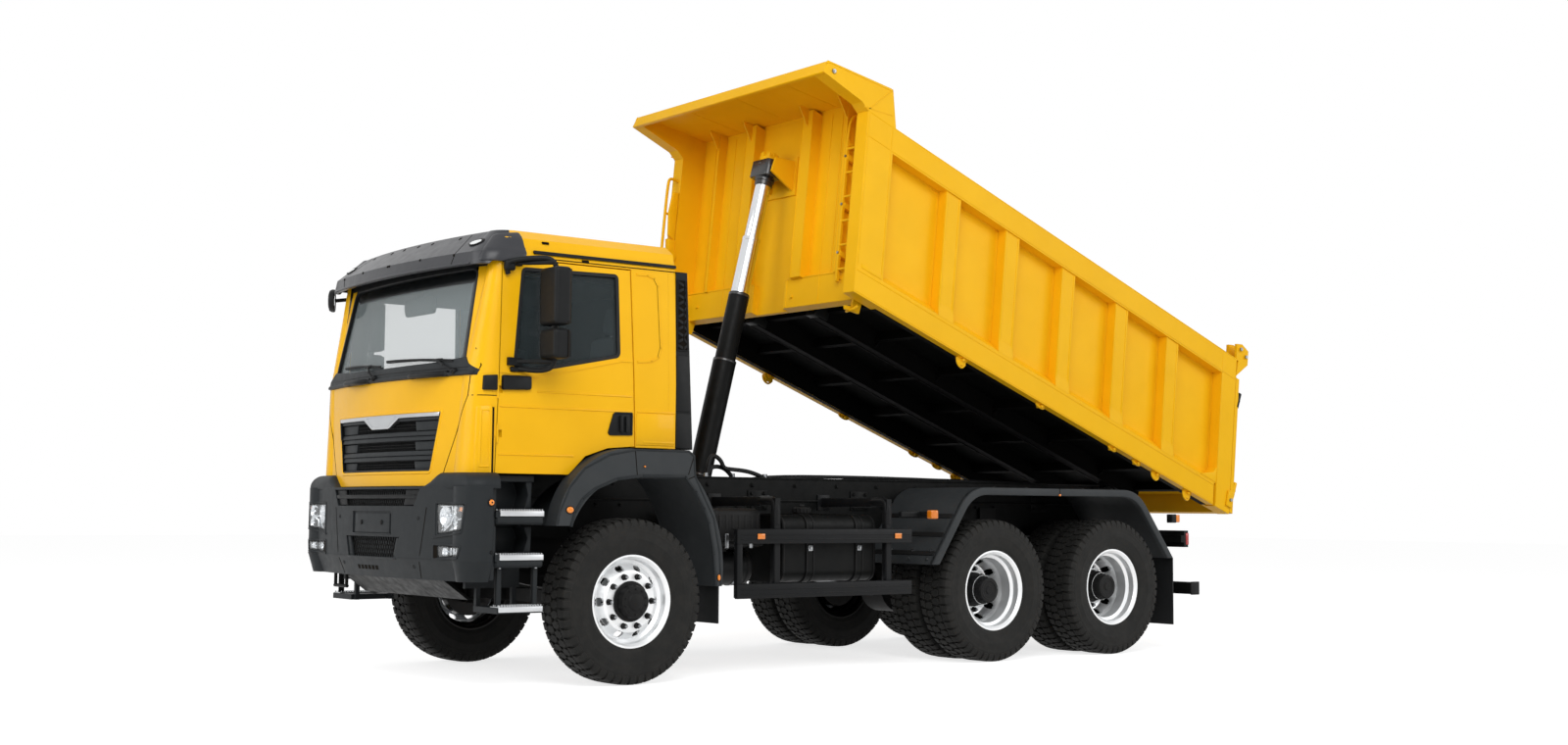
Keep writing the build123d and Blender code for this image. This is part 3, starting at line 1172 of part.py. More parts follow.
def build_nodes():
    """Every sub-part by name, as a list of solids."""
    nodes = {
        "frame_rails": frame_rails(), "crossmembers": crossmembers(), "engine": [engine()],
        "front_axle": [front_axle()], "springs": springs(), "rear_axles": rear_axles(),
        "propshaft": propshaft(),
        "knuckle_left": [knuckle()], "knuckle_right": [mirrored(knuckle())],
        "cab_front": [cab_front()], "cab_sides": cab_sides(), "cab_rear_wall": [cab_rear_wall()],
        "cab_roof": [cab_roof()], "cab_floor": [cab_floor()], "cab_glass": cab_glass(), "grille": [grille()],
        "visor": [visor()], "louvres": louvres(), "seats": seats(), "dashboard": [dashboard()],
        "front_bumper": [front_bumper()], "headlamps": headlamps(), "skid_plate": [skid_plate()],
        "front_fenders": front_fenders(), "cab_steps": cab_steps(), "mudflaps": mudflaps(),
        "rear_fenders": rear_fenders(), "side_guards": side_guards(), "fuel_tank": [fuel_tank()],
        "battery_boxes": battery_boxes(), "rear_underrun": [rear_underrun()], "tail_lamps": tail_lamps(),
        "bed_sides": bed_sides(), "bed_floor": [bed_floor()], "bed_subframe": [bed_subframe()],
        "bed_front_wall": [bed_front_wall()], "bed_canopy": [bed_canopy()], "tailgate": [tailgate()],
        "hoist_barrel": [hoist_barrel()], "hoist_stage_low": [hoist_stage_low()],
        "hoist_stage_high": [hoist_stage_high()], "hoist_rod": [hoist_rod()],
    }
    for name, piece in (("door", door()), ("door_glass", door_glass()), ("mirrors", mirrors())):
        nodes[f"{name}_left"] = [piece]
        nodes[f"{name}_right"] = [mirrored(piece)]
    rim, rims = Pos(0, 0, -TYRE_RADIUS) * front_rim(), rear_rims()
    outer, inner = tyre(OUTER_TYRE_Y), tyre(OUTER_TYRE_Y - DUAL_SPACING)
    for side, left in (("left", True), ("right", False)):
        nodes[f"front_rim_{side}"] = [at_wheel(rim, 0, left)]
        nodes[f"front_tyre_{side}"] = [at_wheel(outer, 0, left)]
        for place, x in (("mid", -WHEELBASE), ("rear", -WHEELBASE - BOGIE_SPACING)):
            nodes[f"{place}_rims_{side}"] = [at_wheel(rims, x, left)]
            nodes[f"{place}_tyres_{side}"] = [at_wheel(outer, x, left), at_wheel(inner, x, left)]
    return nodes


def solids_of(shape):
    """The solids of a shape, which may be a compound or a list."""
    return shape.solids() if hasattr(shape, "solids") else [s for part in shape for s in part.solids()]


NODES = {name: [s for piece in pieces for s in solids_of(piece)] for name, pieces in build_nodes().items()}
WHOLE = Compound([s for solids in NODES.values() for s in solids])
BOX = WHOLE.bounding_box()
ORIGIN_X = (BOX.min.X + BOX.max.X) / 2  # the stored origin lies under the middle of the whole lorry

for node, solids in NODES.items():
    moved = [s.moved(Location((-ORIGIN_X, 0, 0))) for s in solids]
    export_step(moved[0] if len(moved) == 1 else Compound(moved), f"parts/{node}.step")
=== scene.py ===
"""A three-axle dump truck: the finishes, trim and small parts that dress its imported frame."""

import json
import logging
import math
from dataclasses import dataclass
from enum import Enum
from typing import Callable, Iterable, Sequence

import bmesh
import bpy
from mathutils import Matrix, Vector


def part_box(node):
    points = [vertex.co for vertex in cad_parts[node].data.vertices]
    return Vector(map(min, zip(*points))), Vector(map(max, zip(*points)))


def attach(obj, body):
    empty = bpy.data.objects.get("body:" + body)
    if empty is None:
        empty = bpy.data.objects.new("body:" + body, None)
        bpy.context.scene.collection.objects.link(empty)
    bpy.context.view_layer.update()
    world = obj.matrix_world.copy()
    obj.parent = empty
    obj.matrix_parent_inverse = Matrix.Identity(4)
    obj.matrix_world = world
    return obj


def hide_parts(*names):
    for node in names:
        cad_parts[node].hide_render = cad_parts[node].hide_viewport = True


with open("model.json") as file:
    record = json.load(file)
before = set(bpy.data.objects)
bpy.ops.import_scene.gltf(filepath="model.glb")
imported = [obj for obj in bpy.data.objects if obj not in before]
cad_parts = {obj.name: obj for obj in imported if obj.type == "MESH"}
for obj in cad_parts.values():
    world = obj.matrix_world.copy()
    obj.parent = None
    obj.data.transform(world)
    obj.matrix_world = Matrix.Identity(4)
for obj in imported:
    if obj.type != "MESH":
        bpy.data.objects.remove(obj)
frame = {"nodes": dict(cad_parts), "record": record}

LOG = logging.getLogger("dump_truck")
Point = tuple[float, float, float]
Surface = Callable[[Vector], Vector]
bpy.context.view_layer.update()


def front_axle() -> float:
    """X of the front axle in the shared frame, read from the left front tyre."""
    low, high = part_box("front_tyre_left")
    return (low.x + high.x) / 2


AXLE = Matrix.Translation((front_axle(), 0, 0))
HINGE = (-5.500, 0.0, 1.300)
BED_REST = math.radians(20.5)
BED = AXLE @ Matrix.Translation(HINGE) @ Matrix.Rotation(-BED_REST, 4, "Y")
MIRRORED = Matrix.Scale(-1, 4, (0, 1, 0))


# ---------------------------------------------------------------- finishes


def linear(code: str) -> tuple[float, float, float, float]:
    """Turns an sRGB hex colour into the linear one that the shader works in.

    Args:
        code: six hex digits with a leading #.

    Returns:
        Red, green, blue and an alpha of 1.
    """
    values = [int(code[i : i + 2], 16) / 255 for i in (1, 3, 5)]
    flat = [v / 12.92 if v <= 0.04045 else ((v + 0.055) / 1.055) ** 2.4 for v in values]
    return (*flat, 1.0)


def add_node(tree: bpy.types.NodeTree, kind: str, inputs: dict | None = None, **settings) -> bpy.types.Node:
    """Adds one shader node.

    Args:
        tree: the material's node tree.
        kind: the node's type name, without its ShaderNode prefix.
        inputs: socket name or number to a value or to another node's output.
        settings: attributes of the node itself.

    Returns:
        The new node.
    """
    node = tree.nodes.new("ShaderNode" + kind)
    for key, value in settings.items():
        setattr(node, key, value)
    for key, value in (inputs or {}).items():
        if isinstance(value, bpy.types.NodeSocket):
            tree.links.new(value, node.inputs[key])
        else:
            node.inputs[key].default_value = value
    return node


@dataclass(frozen=True)
class Finish:
    """A solid finish: a base colour that drifts a little, a fine grain, and dust or wear over it, with edges
    lightened partly by wear and partly as a painted highlight.

    Sizes are in millimetres of the real surface.
    """

    name: str
    colour: str
    drift: str = ""
    drift_mm: float = 400.0
    metallic: float = 0.0
    roughness: float = 0.5
    rough_spread: float = 0.05
    ior: float = 1.5
    specular: float = 0.5
    coat: float = 0.0
    coat_roughness: float = 0.06
    grain_mm: float = 0.0
    grain_depth_mm: float = 0.0
    dust: str = ""
    dust_amount: float = 0.0
    dust_mm: float = 120.0
    edge_mm: float = 0.0
    # Colour of lightened edges: rubbed wear, and a painted highlight where rounded edges would catch the
    # light.
    edge_wear_and_highlight: str = ""
    # Inside colour: dark trim on the cab walls' inward faces, and painted shade on a wheel's inner side,
    # within the distance below of the truck's middle.
    inside_trim_and_shade: str = ""
    shade_within: float = 0.0

    def material(self) -> bpy.types.Material:
        """Builds the material once and returns it."""
        known = bpy.data.materials.get(self.name)
        if known:
            return known
        made = bpy.data.materials.new(self.name)
        made.use_nodes = True
        tree = made.node_tree
        shader = tree.nodes["Principled BSDF"]
        where = add_node(tree, "TexCoord").outputs["Object"]
        colour = self._colour(tree, where)
        shader.inputs["Metallic"].default_value = self.metallic
        shader.inputs["IOR"].default_value = self.ior
        shader.inputs["Specular IOR Level"].default_value = self.specular
        shader.inputs["Coat Weight"].default_value = self.coat
        shader.inputs["Coat Roughness"].default_value = self.coat_roughness
        tree.links.new(colour, shader.inputs["Base Color"])
        tree.links.new(self._roughness(tree, where), shader.inputs["Roughness"])
        normal = self._normal(tree, where)
        if normal:
            tree.links.new(normal, shader.inputs["Normal"])
        made.diffuse_color = linear(self.colour)
        return made

    def _noise(self, tree: bpy.types.NodeTree, where: bpy.types.NodeSocket, size_mm: float,
               detail: float = 3.0):
        """Noise whose blobs are about size_mm across, as a socket."""
        return add_node(tree, "TexNoise",
                        {"Vector": where, "Scale": 1000 / size_mm, "Detail": detail,
                         "Roughness": 0.6}).outputs["Fac"]

    def _colour(self, tree: bpy.types.NodeTree, where: bpy.types.NodeSocket) -> bpy.types.NodeSocket:
        """The base colour with its drift, its edges lightened by rubbing and by a painted highlight, its
        dust, and its inside colour.
        """
        first = linear(self.colour)
        second = linear(self.drift or self.colour)
        blob = add_node(tree, "MapRange",
                        {"Value": self._noise(tree, where, self.drift_mm), "From Min": 0.35,
                         "From Max": 0.65}).outputs["Result"]
        out = add_node(tree, "Mix", {"Factor": blob, "A": first, "B": second},
                       data_type="RGBA").outputs["Result"]
        # Edges are mixed towards a lighter colour: partly rubbed wear, partly a painted highlight where
        # rounded edges catch the light.
        if self.edge_wear_and_highlight and self.edge_mm:
            rounded = add_node(tree, "Bevel", {"Radius": self.edge_mm / 1000}, samples=4).outputs["Normal"]
            face = add_node(tree, "NewGeometry").outputs["Normal"]
            turn = add_node(tree, "VectorMath", {0: rounded, 1: face},
                            operation="DOT_PRODUCT").outputs["Value"]
            worn_and_lit = add_node(tree, "MapRange",
                            {"Value": turn, "From Min": 0.995, "From Max": 0.86,
                             "To Max": 0.55}).outputs["Result"]
            out = add_node(tree, "Mix", {"Factor": worn_and_lit, "A": out, "B": linear(self.edge_wear_and_highlight)},
                           data_type="RGBA").outputs["Result"]
        if self.dust:
            cloud = self._noise(tree, where, self.dust_mm, 6.0)
            share = add_node(tree, "MapRange",
                             {"Value": cloud, "From Min": 0.42, "From Max": 0.75,
                              "To Max": self.dust_amount}).outputs["Result"]
            out = add_node(tree, "Mix", {"Factor": share, "A": out, "B": linear(self.dust)},
                           data_type="RGBA").outputs["Result"]
        # Inside colour: trim on the cab's inward faces, and painted shade on a wheel's inner side behind its
        # disc.
        if self.inside_trim_and_shade:
            out = add_node(tree, "Mix", {"Factor": self._inward(tree, where), "A": out,
                                         "B": linear(self.inside_trim_and_shade)}, data_type="RGBA").outputs["Result"]
        return out

    def _inward(self, tree: bpy.types.NodeTree, where: bpy.types.NodeSocket) -> bpy.types.NodeSocket:
        """1 on a wheel's inner side, which takes painted shade, and on the cab walls' faces that look into
        the cab, which take their dark trim colour; 0 elsewhere.
        """
        place = add_node(tree, "SeparateXYZ", {"Vector": where})
        if self.shade_within:
            off = add_node(tree, "Math", {0: place.outputs["Y"]}, operation="ABSOLUTE").outputs["Value"]
            return add_node(tree, "Math", {0: off, 1: self.shade_within},
                            operation="LESS_THAN").outputs["Value"]
        face = add_node(tree, "SeparateXYZ", {"Vector": add_node(tree, "TexCoord").outputs["Normal"]})
        ahead = add_node(tree, "Math", {0: place.outputs["X"], 1: front_axle() + CAB_MIDDLE_X},
                         operation="SUBTRACT").outputs["Value"]
        across = add_node(tree, "Math", {0: place.outputs["Y"], 1: face.outputs["Y"]}, operation="MULTIPLY")
        along = add_node(tree, "Math", {0: ahead, 1: face.outputs["X"]}, operation="MULTIPLY")
        sides = add_node(tree, "Math", {0: across.outputs["Value"], 1: -0.45}, operation="LESS_THAN")
        ends = add_node(tree, "Math", {0: along.outputs["Value"], 1: -0.42}, operation="LESS_THAN")
        return add_node(tree, "Math", {0: sides.outputs["Value"], 1: ends.outputs["Value"]},
                        operation="MAXIMUM").outputs["Value"]

    def _roughness(self, tree: bpy.types.NodeTree, where: bpy.types.NodeSocket) -> bpy.types.NodeSocket:
        """Roughness that wanders a little round its value."""
        return add_node(tree, "MapRange",
                        {"Value": self._noise(tree, where, 60.0, 5.0), "From Min": 0.3, "From Max": 0.7,
                         "To Min": max(0.02, self.roughness - self.rough_spread),
                         "To Max": min(1.0, self.roughness + self.rough_spread)}).outputs["Result"]

    def _normal(self, tree: bpy.types.NodeTree, where: bpy.types.NodeSocket) -> bpy.types.NodeSocket | None:
        """Edges that catch the light as rounded ones do, and the grain on top."""
        out = None
        if self.edge_mm:
            out = add_node(tree, "Bevel", {"Radius": self.edge_mm / 1000}, samples=4).outputs["Normal"]
        if self.grain_mm:
            inputs = {"Height": self._noise(tree, where, self.grain_mm, 2.0),
                      "Distance": self.grain_depth_mm / 1000, "Strength": 1.0}
            if out:
                inputs["Normal"] = out
            out = add_node(tree, "Bump", inputs).outputs["Normal"]
        return out


# Alkyd cab enamel under a clear coat: even and glossy, with the faint waves of sprayed paint.
CAB_PAINT = Finish("sprayed_cab_enamel", "#F6BA12", drift="#F3B60E", roughness=0.33, specular=0.12, coat=0.12,
                   coat_roughness=0.08, grain_mm=9.0, grain_depth_mm=0.02, edge_mm=5.0, dust="#E6AE10",
                   dust_amount=0.18, dust_mm=260.0, inside_trim_and_shade="#17191A")
# Two-pack enamel sprayed on plate steel: duller than the cab, with brown dust in broad clouds.
BED_PAINT = Finish("sprayed_bed_enamel", "#F6BC14", drift="#F3B80F", roughness=0.45, specular=0.08, coat=0.04,
                   coat_roughness=0.2, grain_mm=14.0, grain_depth_mm=0.05, edge_mm=5.0, dust="#DEA912",
                   dust_amount=0.18, dust_mm=300.0)
# Chassis black over pressed steel: satin, with grey road dust, and edges lightened partly by rubbing and
# partly as a painted highlight.
FRAME_BLACK = Finish("chassis_black_enamel", "#0C0D0D", drift="#101111", roughness=0.45, rough_spread=0.12,
                     specular=0.09, grain_mm=5.0, grain_depth_mm=0.06, edge_mm=4.0, edge_wear_and_highlight="#222323",
                     dust="#191816", dust_amount=0.35, dust_mm=90.0)
# Underbody wax over black primer: dull, and it swallows nearly all the light under the bed.
UNDERBODY = Finish("underbody_wax_black", "#080808", drift="#0B0B0B", roughness=0.7, specular=0.04,
                   grain_mm=6.0, grain_depth_mm=0.15, edge_mm=4.0, dust="#11100F", dust_amount=0.3,
                   dust_mm=110.0)
# Moulded polypropylene, grained by its tool and coloured through: soft broad highlights.
PLASTIC_GREY = Finish("moulded_polypropylene_grey", "#25282A", drift="#222527", roughness=0.5, specular=0.14,
                      grain_mm=1.6, grain_depth_mm=0.05, edge_mm=6.0, dust="#2E3031", dust_amount=0.3,
                      dust_mm=180.0)
# The fenders' moulding, bleached a little by the sun and by road salt.
FENDER_GREY = Finish("weathered_polypropylene_fender", "#333638", drift="#2F3234", roughness=0.55,
                     specular=0.2, grain_mm=1.6, grain_depth_mm=0.05, edge_mm=6.0, dust="#3F4040",
                     dust_amount=0.3, dust_mm=180.0)
# The same moulding in black, for grilles, seals' carriers and mirror arms.
PLASTIC_BLACK = Finish("moulded_polypropylene_black", "#151617", drift="#131414", roughness=0.48,
                       specular=0.14, grain_mm=1.6, grain_depth_mm=0.05, edge_mm=4.0, dust="#1F2021",
                       dust_amount=0.3, dust_mm=140.0)
# Smoke-grey acrylic moulding: smooth, with a clear reflection along its brow.
VISOR_GREY = Finish("moulded_acrylic_visor", "#2F3034", drift="#2B2C30", roughness=0.36, specular=0.3,
                    coat=0.12, coat_roughness=0.25, edge_mm=6.0, grain_mm=20.0, grain_depth_mm=0.02)
# Extruded seal rubber: black and dull.
RUBBER = Finish("moulded_rubber_seal", "#121314", drift="#161718", roughness=0.6, specular=0.25, grain_mm=2.0,
                grain_depth_mm=0.05)
# Carbon-black tyre compound, pressed in a mould: brown-black and dull, with edges lightened partly by dust
# and partly as a painted highlight.
TYRE_RUBBER = Finish("vulcanised_tyre_rubber", "#1D1D1C", drift="#191918", roughness=0.74, specular=0.2,
                     grain_mm=3.0, grain_depth_mm=0.12, edge_mm=3.5, edge_wear_and_highlight="#4A4743", dust="#2E2C29",
                     dust_amount=0.45, dust_mm=70.0)
# Forged and polished aluminium: bright, with a blurred reflection that shows the disc's form; behind the disc
# its inner side is painted near-black as shade.
RIM_METAL = Finish("polished_forged_aluminium", "#EDEEEF", drift="#E4E6E7", metallic=0.72, roughness=0.38,
                   grain_mm=4.0, grain_depth_mm=0.02, edge_mm=3.0, inside_trim_and_shade="#141312", shade_within=1.085)
# The same aluminium on the twin wheels, painted near-black as shade behind their deeper discs.
TWIN_RIM_METAL = Finish("polished_aluminium_twin_rim", "#EDEEEF", drift="#E4E6E7", metallic=0.72,
                        roughness=0.38, grain_mm=4.0, grain_depth_mm=0.02, edge_mm=3.0, inside_trim_and_shade="#141312",
                        shade_within=0.900)
# Zinc plate on turned and stamped steel: grey and a little cloudy.
STEEL = Finish("zinc_plated_steel", "#9A9C9E", drift="#85878A", metallic=1.0, roughness=0.38, grain_mm=3.0,
               grain_depth_mm=0.03)
# Cast iron under black paint: its sand grain shows, and its edges are lightened partly by rubbing and partly
# as a painted highlight.
CAST = Finish("black_painted_casting", "#111112", drift="#151515", roughness=0.52, specular=0.14,
              grain_mm=4.0, grain_depth_mm=0.25, edge_mm=4.0, edge_wear_and_highlight="#262626", dust="#1F1E1B",
              dust_amount=0.35, dust_mm=60.0)
# Hard chrome, ground and polished: nearly a mirror.
CHROME = Finish("hard_chromed_steel", "#DADCDE", drift="#D2D4D6", metallic=1.0, roughness=0.12,
                rough_spread=0.04)
# Satin anodised trim: bright, with a soft reflection.
SATIN_METAL = Finish("satin_anodised_trim", "#BFC1C3", drift="#B6B8BA", metallic=1.0, roughness=0.32,
                     grain_mm=6.0, grain_depth_mm=0.01, edge_mm=3.0)
# The dark line of a panel joint, and painted shade in gaps, slots and recesses such as the louvre's openings,
# the corner vanes' slots and the bumper's small slots: matt, and it returns almost no light.
SEAM_SHADOW = Finish("joint_and_gap_painted_shade", "#15110C", roughness=0.95, specular=0.1)
# Ceramic ink fired onto the glass's edge: black and glossy.
PAINTED_BORDER = Finish("fired_ceramic_border", "#101314", roughness=0.18, coat=0.3)
# Glass silvered on its back: a clean mirror with a cool cast.
MIRROR_GLASS = Finish("silvered_mirror_glass", "#C9D0D4", metallic=1.0, roughness=0.04, rough_spread=0.01)
# Clear polycarbonate with its inside fluted, seen as a milky white.
LAMP_WHITE = Finish("frosted_lamp_lens", "#E8EAEA", roughness=0.2, coat=0.5)
# Acrylic coloured amber through its thickness, with fine prisms inside.
LAMP_AMBER = Finish("moulded_amber_lens", "#F08A14", drift="#E67E10", roughness=0.22, coat=0.4, grain_mm=5.0,
                    grain_depth_mm=0.15)
# The same moulding in red.
LAMP_RED = Finish("moulded_red_lens", "#B8160F", drift="#A5120C", roughness=0.22, coat=0.4, grain_mm=5.0,
                  grain_depth_mm=0.15)
# Serrated aluminium extrusion for treads: bright on its teeth.
TREAD_METAL = Finish("serrated_extruded_aluminium", "#C6C8CA", drift="#B2B4B6", metallic=1.0, roughness=0.42,
                     grain_mm=3.0, grain_depth_mm=0.05, edge_mm=2.0)
# Vacuum-metallised moulding under the lens: a mirror broken up by its facets.
LAMP_BOWL = Finish("vacuum_metallised_reflector", "#DEE1E4", drift="#C3C8CC", drift_mm=24.0, metallic=1.0,
                   roughness=0.10, rough_spread=0.05, grain_mm=7.0, grain_depth_mm=0.45)
# Roll-formed guard sections in satin black: a shade lighter than the frame behind them.
GUARD_GREY = Finish("satin_black_roll_formed_steel", "#17181A", drift="#151617", roughness=0.42,
                    rough_spread=0.08, specular=0.12, grain_mm=4.0, grain_depth_mm=0.03, edge_mm=3.0,
                    dust="#201F1E", dust_amount=0.3, dust_mm=120.0)
# Two-pack black on the hoist's barrel: smooth enough to carry a long highlight.
HOIST_BLACK = Finish("smooth_two_pack_black", "#1A1C1E", drift="#1E2022", roughness=0.30, rough_spread=0.06,
                     specular=0.5, coat=0.3, coat_roughness=0.2, edge_mm=2.0, dust="#262523", dust_amount=0.3,
                     dust_mm=90.0)
# Plain-woven polyester over foam: matt, its threads drawn coarse enough to show.
FABRIC = Finish("woven_seat_cloth", "#3A4043", drift="#33393C", roughness=0.9, specular=0.2, grain_mm=4.0,
                grain_depth_mm=0.4)
# Pressed fibre board that lines the cab: dark, matt and a little hairy.
TRIM_BOARD = Finish("pressed_fibre_trim_board", "#141617", drift="#191B1C", roughness=0.9, specular=0.1,
                    grain_mm=3.0, grain_depth_mm=0.1)

BY_SLOT = {
    "cab_paint": CAB_PAINT,
    "bed_paint": BED_PAINT,
    "frame_black": FRAME_BLACK,
    "plastic_grey": PLASTIC_GREY,
    "plastic_black": PLASTIC_BLACK,
    "rubber": RUBBER,
    "tyre": TYRE_RUBBER,
    "rim": RIM_METAL,
    "steel": STEEL,
    "cast": CAST,
    "chrome": CHROME,
    "lamp": PLASTIC_BLACK,
    "red_lamp": PLASTIC_BLACK,
    "fabric": FABRIC,
}
BY_NODE = {
    "visor": VISOR_GREY,
    "front_fenders": FENDER_GREY,
    "side_guards": GUARD_GREY,
    "bed_subframe": UNDERBODY,
    **{f"{place}_rims_{side}": TWIN_RIM_METAL for place in ("mid", "rear") for side in ("left", "right")},
}
CAB_MIDDLE_X = 0.350  # ahead of the front axle's line, midway between the cab's front and its rear wall


def glass_material(name: str, colour: str, alpha: float) -> bpy.types.Material:
    """Thin tinted glass that is seen through.

    Args:
        name: the material's name.
        colour: its tint, as #RRGGBB.
        alpha: how much it covers, 0 to 1.

    Returns:
        The material.
    """
    known = bpy.data.materials.get(name)
    if known:
        return known
    made = bpy.data.materials.new(name)
    made.use_nodes = True
    shader = made.node_tree.nodes["Principled BSDF"]
    shader.inputs["Base Color"].default_value = linear(colour)
    shader.inputs["Roughness"].default_value = 0.03
    shader.inputs["Alpha"].default_value = alpha
    return made


SEEN_GLASS = ("tinted_cab_glass", "#5C686B", 0.13)
SCREEN_GLASS = ("laminated_screen_glass", "#B4C0C2", 0.24)


# ---------------------------------------------------------------- shaping


class Along(Enum):
    """The direction in which an outline is carried to make a plate."""

    X = 0
    Y = 1
    Z = 2


def slab(low: Point, high: Point, edge: float = 0.0, steps: int = 2) -> bmesh.types.BMesh:
    """A box between two corners, with its edges rounded.

    Args:
        low: lowest corner.
        high: highest corner.
        edge: radius of the rounding.
        steps: segments of the rounding.

    Returns:
        The new shape.
    """
    part = bmesh.new()
    bmesh.ops.create_cube(part, size=1)
    size = [b - a for a, b in zip(low, high)]
    bmesh.ops.scale(part, verts=part.verts, vec=size)
    bmesh.ops.translate(part, verts=part.verts, vec=[(a + b) / 2 for a, b in zip(low, high)])
    if edge:
        round_edges(part, part.edges[:], edge, steps)
    return part


def round_edges(part: bmesh.types.BMesh, edges: Iterable, edge: float, steps: int = 2) -> None:
    """Rounds some edges of a shape.

    Args:
        part: the shape.
        edges: its edges to round.
        edge: the radius.
        steps: faces across the rounding.
    """
    bmesh.ops.bevel(part, geom=list(edges), offset=edge, offset_type="OFFSET", segments=steps, profile=0.5,
                    affect="EDGES", clamp_overlap=True, material=-1)


def bar(start: Point, end: Point, radius: float, tip: float | None = None, sides: int = 20,
        edge: float = 0.0) -> bmesh.types.BMesh:
    """A round bar or cone between two points.

    Args:
        start: centre of the first end.
        end: centre of the second end.
        radius: radius at the first end.
        tip: radius at the second end, if it differs.
        sides: number of sides round it.
        edge: radius of the rounding at both rims.

    Returns:
        The new shape.
    """
    a, b = Vector(start), Vector(end)
    part = bmesh.new()
    bmesh.ops.create_cone(part, cap_ends=True, segments=sides, radius1=radius,
                          radius2=radius if tip is None else tip, depth=(b - a).length)
    if edge:
        rims = [e for e in part.edges if abs(e.verts[0].co.z - e.verts[1].co.z) < 1e-6]
        round_edges(part, rims, edge, 2)
    turn = (b - a).to_track_quat("Z", "Y").to_matrix().to_4x4()
    part.transform(Matrix.Translation((a + b) / 2) @ turn)
    return part


def plate(outline: Sequence[tuple[float, float]], way: Along, low: float, high: float, edge: float = 0.0,
          corner: float = 0.0, steps: int = 2) -> bmesh.types.BMesh:
    """A flat outline carried along one axis.

    Args:
        outline: points in the two other axes, in their alphabetical order.
        way: the axis that it is carried along.
        low: where it starts.
        high: where it ends.
        edge: radius of the rounding of the far face's rim.
        corner: radius of the outline's corners.
        steps: segments of the roundings.

    Returns:
        The new shape.
    """
    part = bmesh.new()
    lift = {
        Along.X: lambda a, b: (low, a, b),
        Along.Y: lambda a, b: (a, low, b),
        Along.Z: lambda a, b: (a, b, low),
    }[way]
    face = part.faces.new([part.verts.new(lift(a, b)) for a, b in outline])
    if corner:
        bmesh.ops.bevel(part, geom=part.verts[:], offset=corner, offset_type="OFFSET", segments=5,
                        profile=0.5, affect="VERTICES", clamp_overlap=True, material=-1)
        face = max(part.faces, key=lambda f: f.calc_area())
    grown = bmesh.ops.extrude_face_region(part, geom=[face])
    moved = [g for g in grown["geom"] if isinstance(g, bmesh.types.BMVert)]
    step = [0.0, 0.0, 0.0]
    step[way.value] = high - low
    bmesh.ops.translate(part, verts=moved, vec=step)
    bmesh.ops.recalc_face_normals(part, faces=part.faces)
    if edge:
        rim = [e for e in part.edges if all(v in moved for v in e.verts)]
        round_edges(part, rim, edge, steps)
    return part


def hoop(outline: Sequence[tuple[float, float]], way: Along, low: float, high: float, band: float,
         corner: float = 0.0, edge: float = 0.0) -> bmesh.types.BMesh:
    """A flat frame that follows an outline, open in its middle.

    Args:
        outline: the frame's outer points.
        way: the axis that it is carried along.
        low: where it starts.
        high: where it ends.
        band: width of the frame.
        corner: radius of the outer corners.
        edge: radius of the rounding of its edges.

    Returns:
        The new shape.
    """
    part = plate(outline, way, low, high, corner=corner)
    ends = [f for f in part.faces if abs(abs(f.normal[way.value]) - 1) < 1e-3]
    bmesh.ops.inset_individual(part, faces=ends, thickness=band, use_even_offset=True)
    bmesh.ops.bridge_loops(part, edges=[e for f in ends for e in f.edges])
    bmesh.ops.delete(part, geom=ends, context="FACES_ONLY")
    bmesh.ops.recalc_face_normals(part, faces=part.faces)
    if edge:
        sharp = [e for e in part.edges if len(e.link_faces) == 2 and e.calc_face_angle() > 0.9]
        round_edges(part, sharp, edge, 1)
    return part


def lathe(profile: Sequence[tuple[float, float]], turns: int = 64, closed: bool = False) -> bmesh.types.BMesh:
    """A profile spun about the Y axis.

    Args:
        profile: points as (distance along Y, radius).
        turns: steps round the axis.
        closed: whether the last point joins the first.

    Returns:
        The new shape, its normals outwards.
    """
    part = bmesh.new()
    line = [part.verts.new((0, w, r)) for w, r in profile]
    edges = [part.edges.new(pair) for pair in zip(line, line[1:])]
    if closed:
        edges.append(part.edges.new((line[-1], line[0])))
    bmesh.ops.spin(part, geom=line + edges, cent=(0, 0, 0), axis=(0, 1, 0), angle=math.tau,
                   steps=turns, use_merge=True)
    bmesh.ops.remove_doubles(part, verts=part.verts, dist=1e-5)
    bmesh.ops.recalc_face_normals(part, faces=part.faces)
    return part


def pipe(points: Sequence[Point], radius: float, smooth: bool = True, sides: int = 3) -> bmesh.types.BMesh:
    """A bent round tube along some points.

    Args:
        points: the tube's route.
        radius: radius of the tube.
        smooth: whether its bends are round.
        sides: half the number of extra sides, as the curve's bevel counts them.

    Returns:
        The new shape.
    """
    curve = bpy.data.curves.new("route", "CURVE")
    curve.dimensions = "3D"
    line = curve.splines.new("NURBS" if smooth else "POLY")
    line.points.add(len(points) - 1)
    for knot, place in zip(line.points, points):
        knot.co = (*place, 1)
    if smooth:
        line.order_u = 3
        line.use_endpoint_u = True
    curve.bevel_depth = radius
    curve.bevel_resolution = sides
    curve.use_fill_caps = True
    curve.resolution_u = 5
    holder = bpy.data.objects.new("route", curve)
    mesh = bpy.data.meshes.new_from_object(holder)
    part = bmesh.new()
    part.from_mesh(mesh)
    bpy.data.objects.remove(holder)
    bpy.data.curves.remove(curve)
    bpy.data.meshes.remove(mesh)
    return part


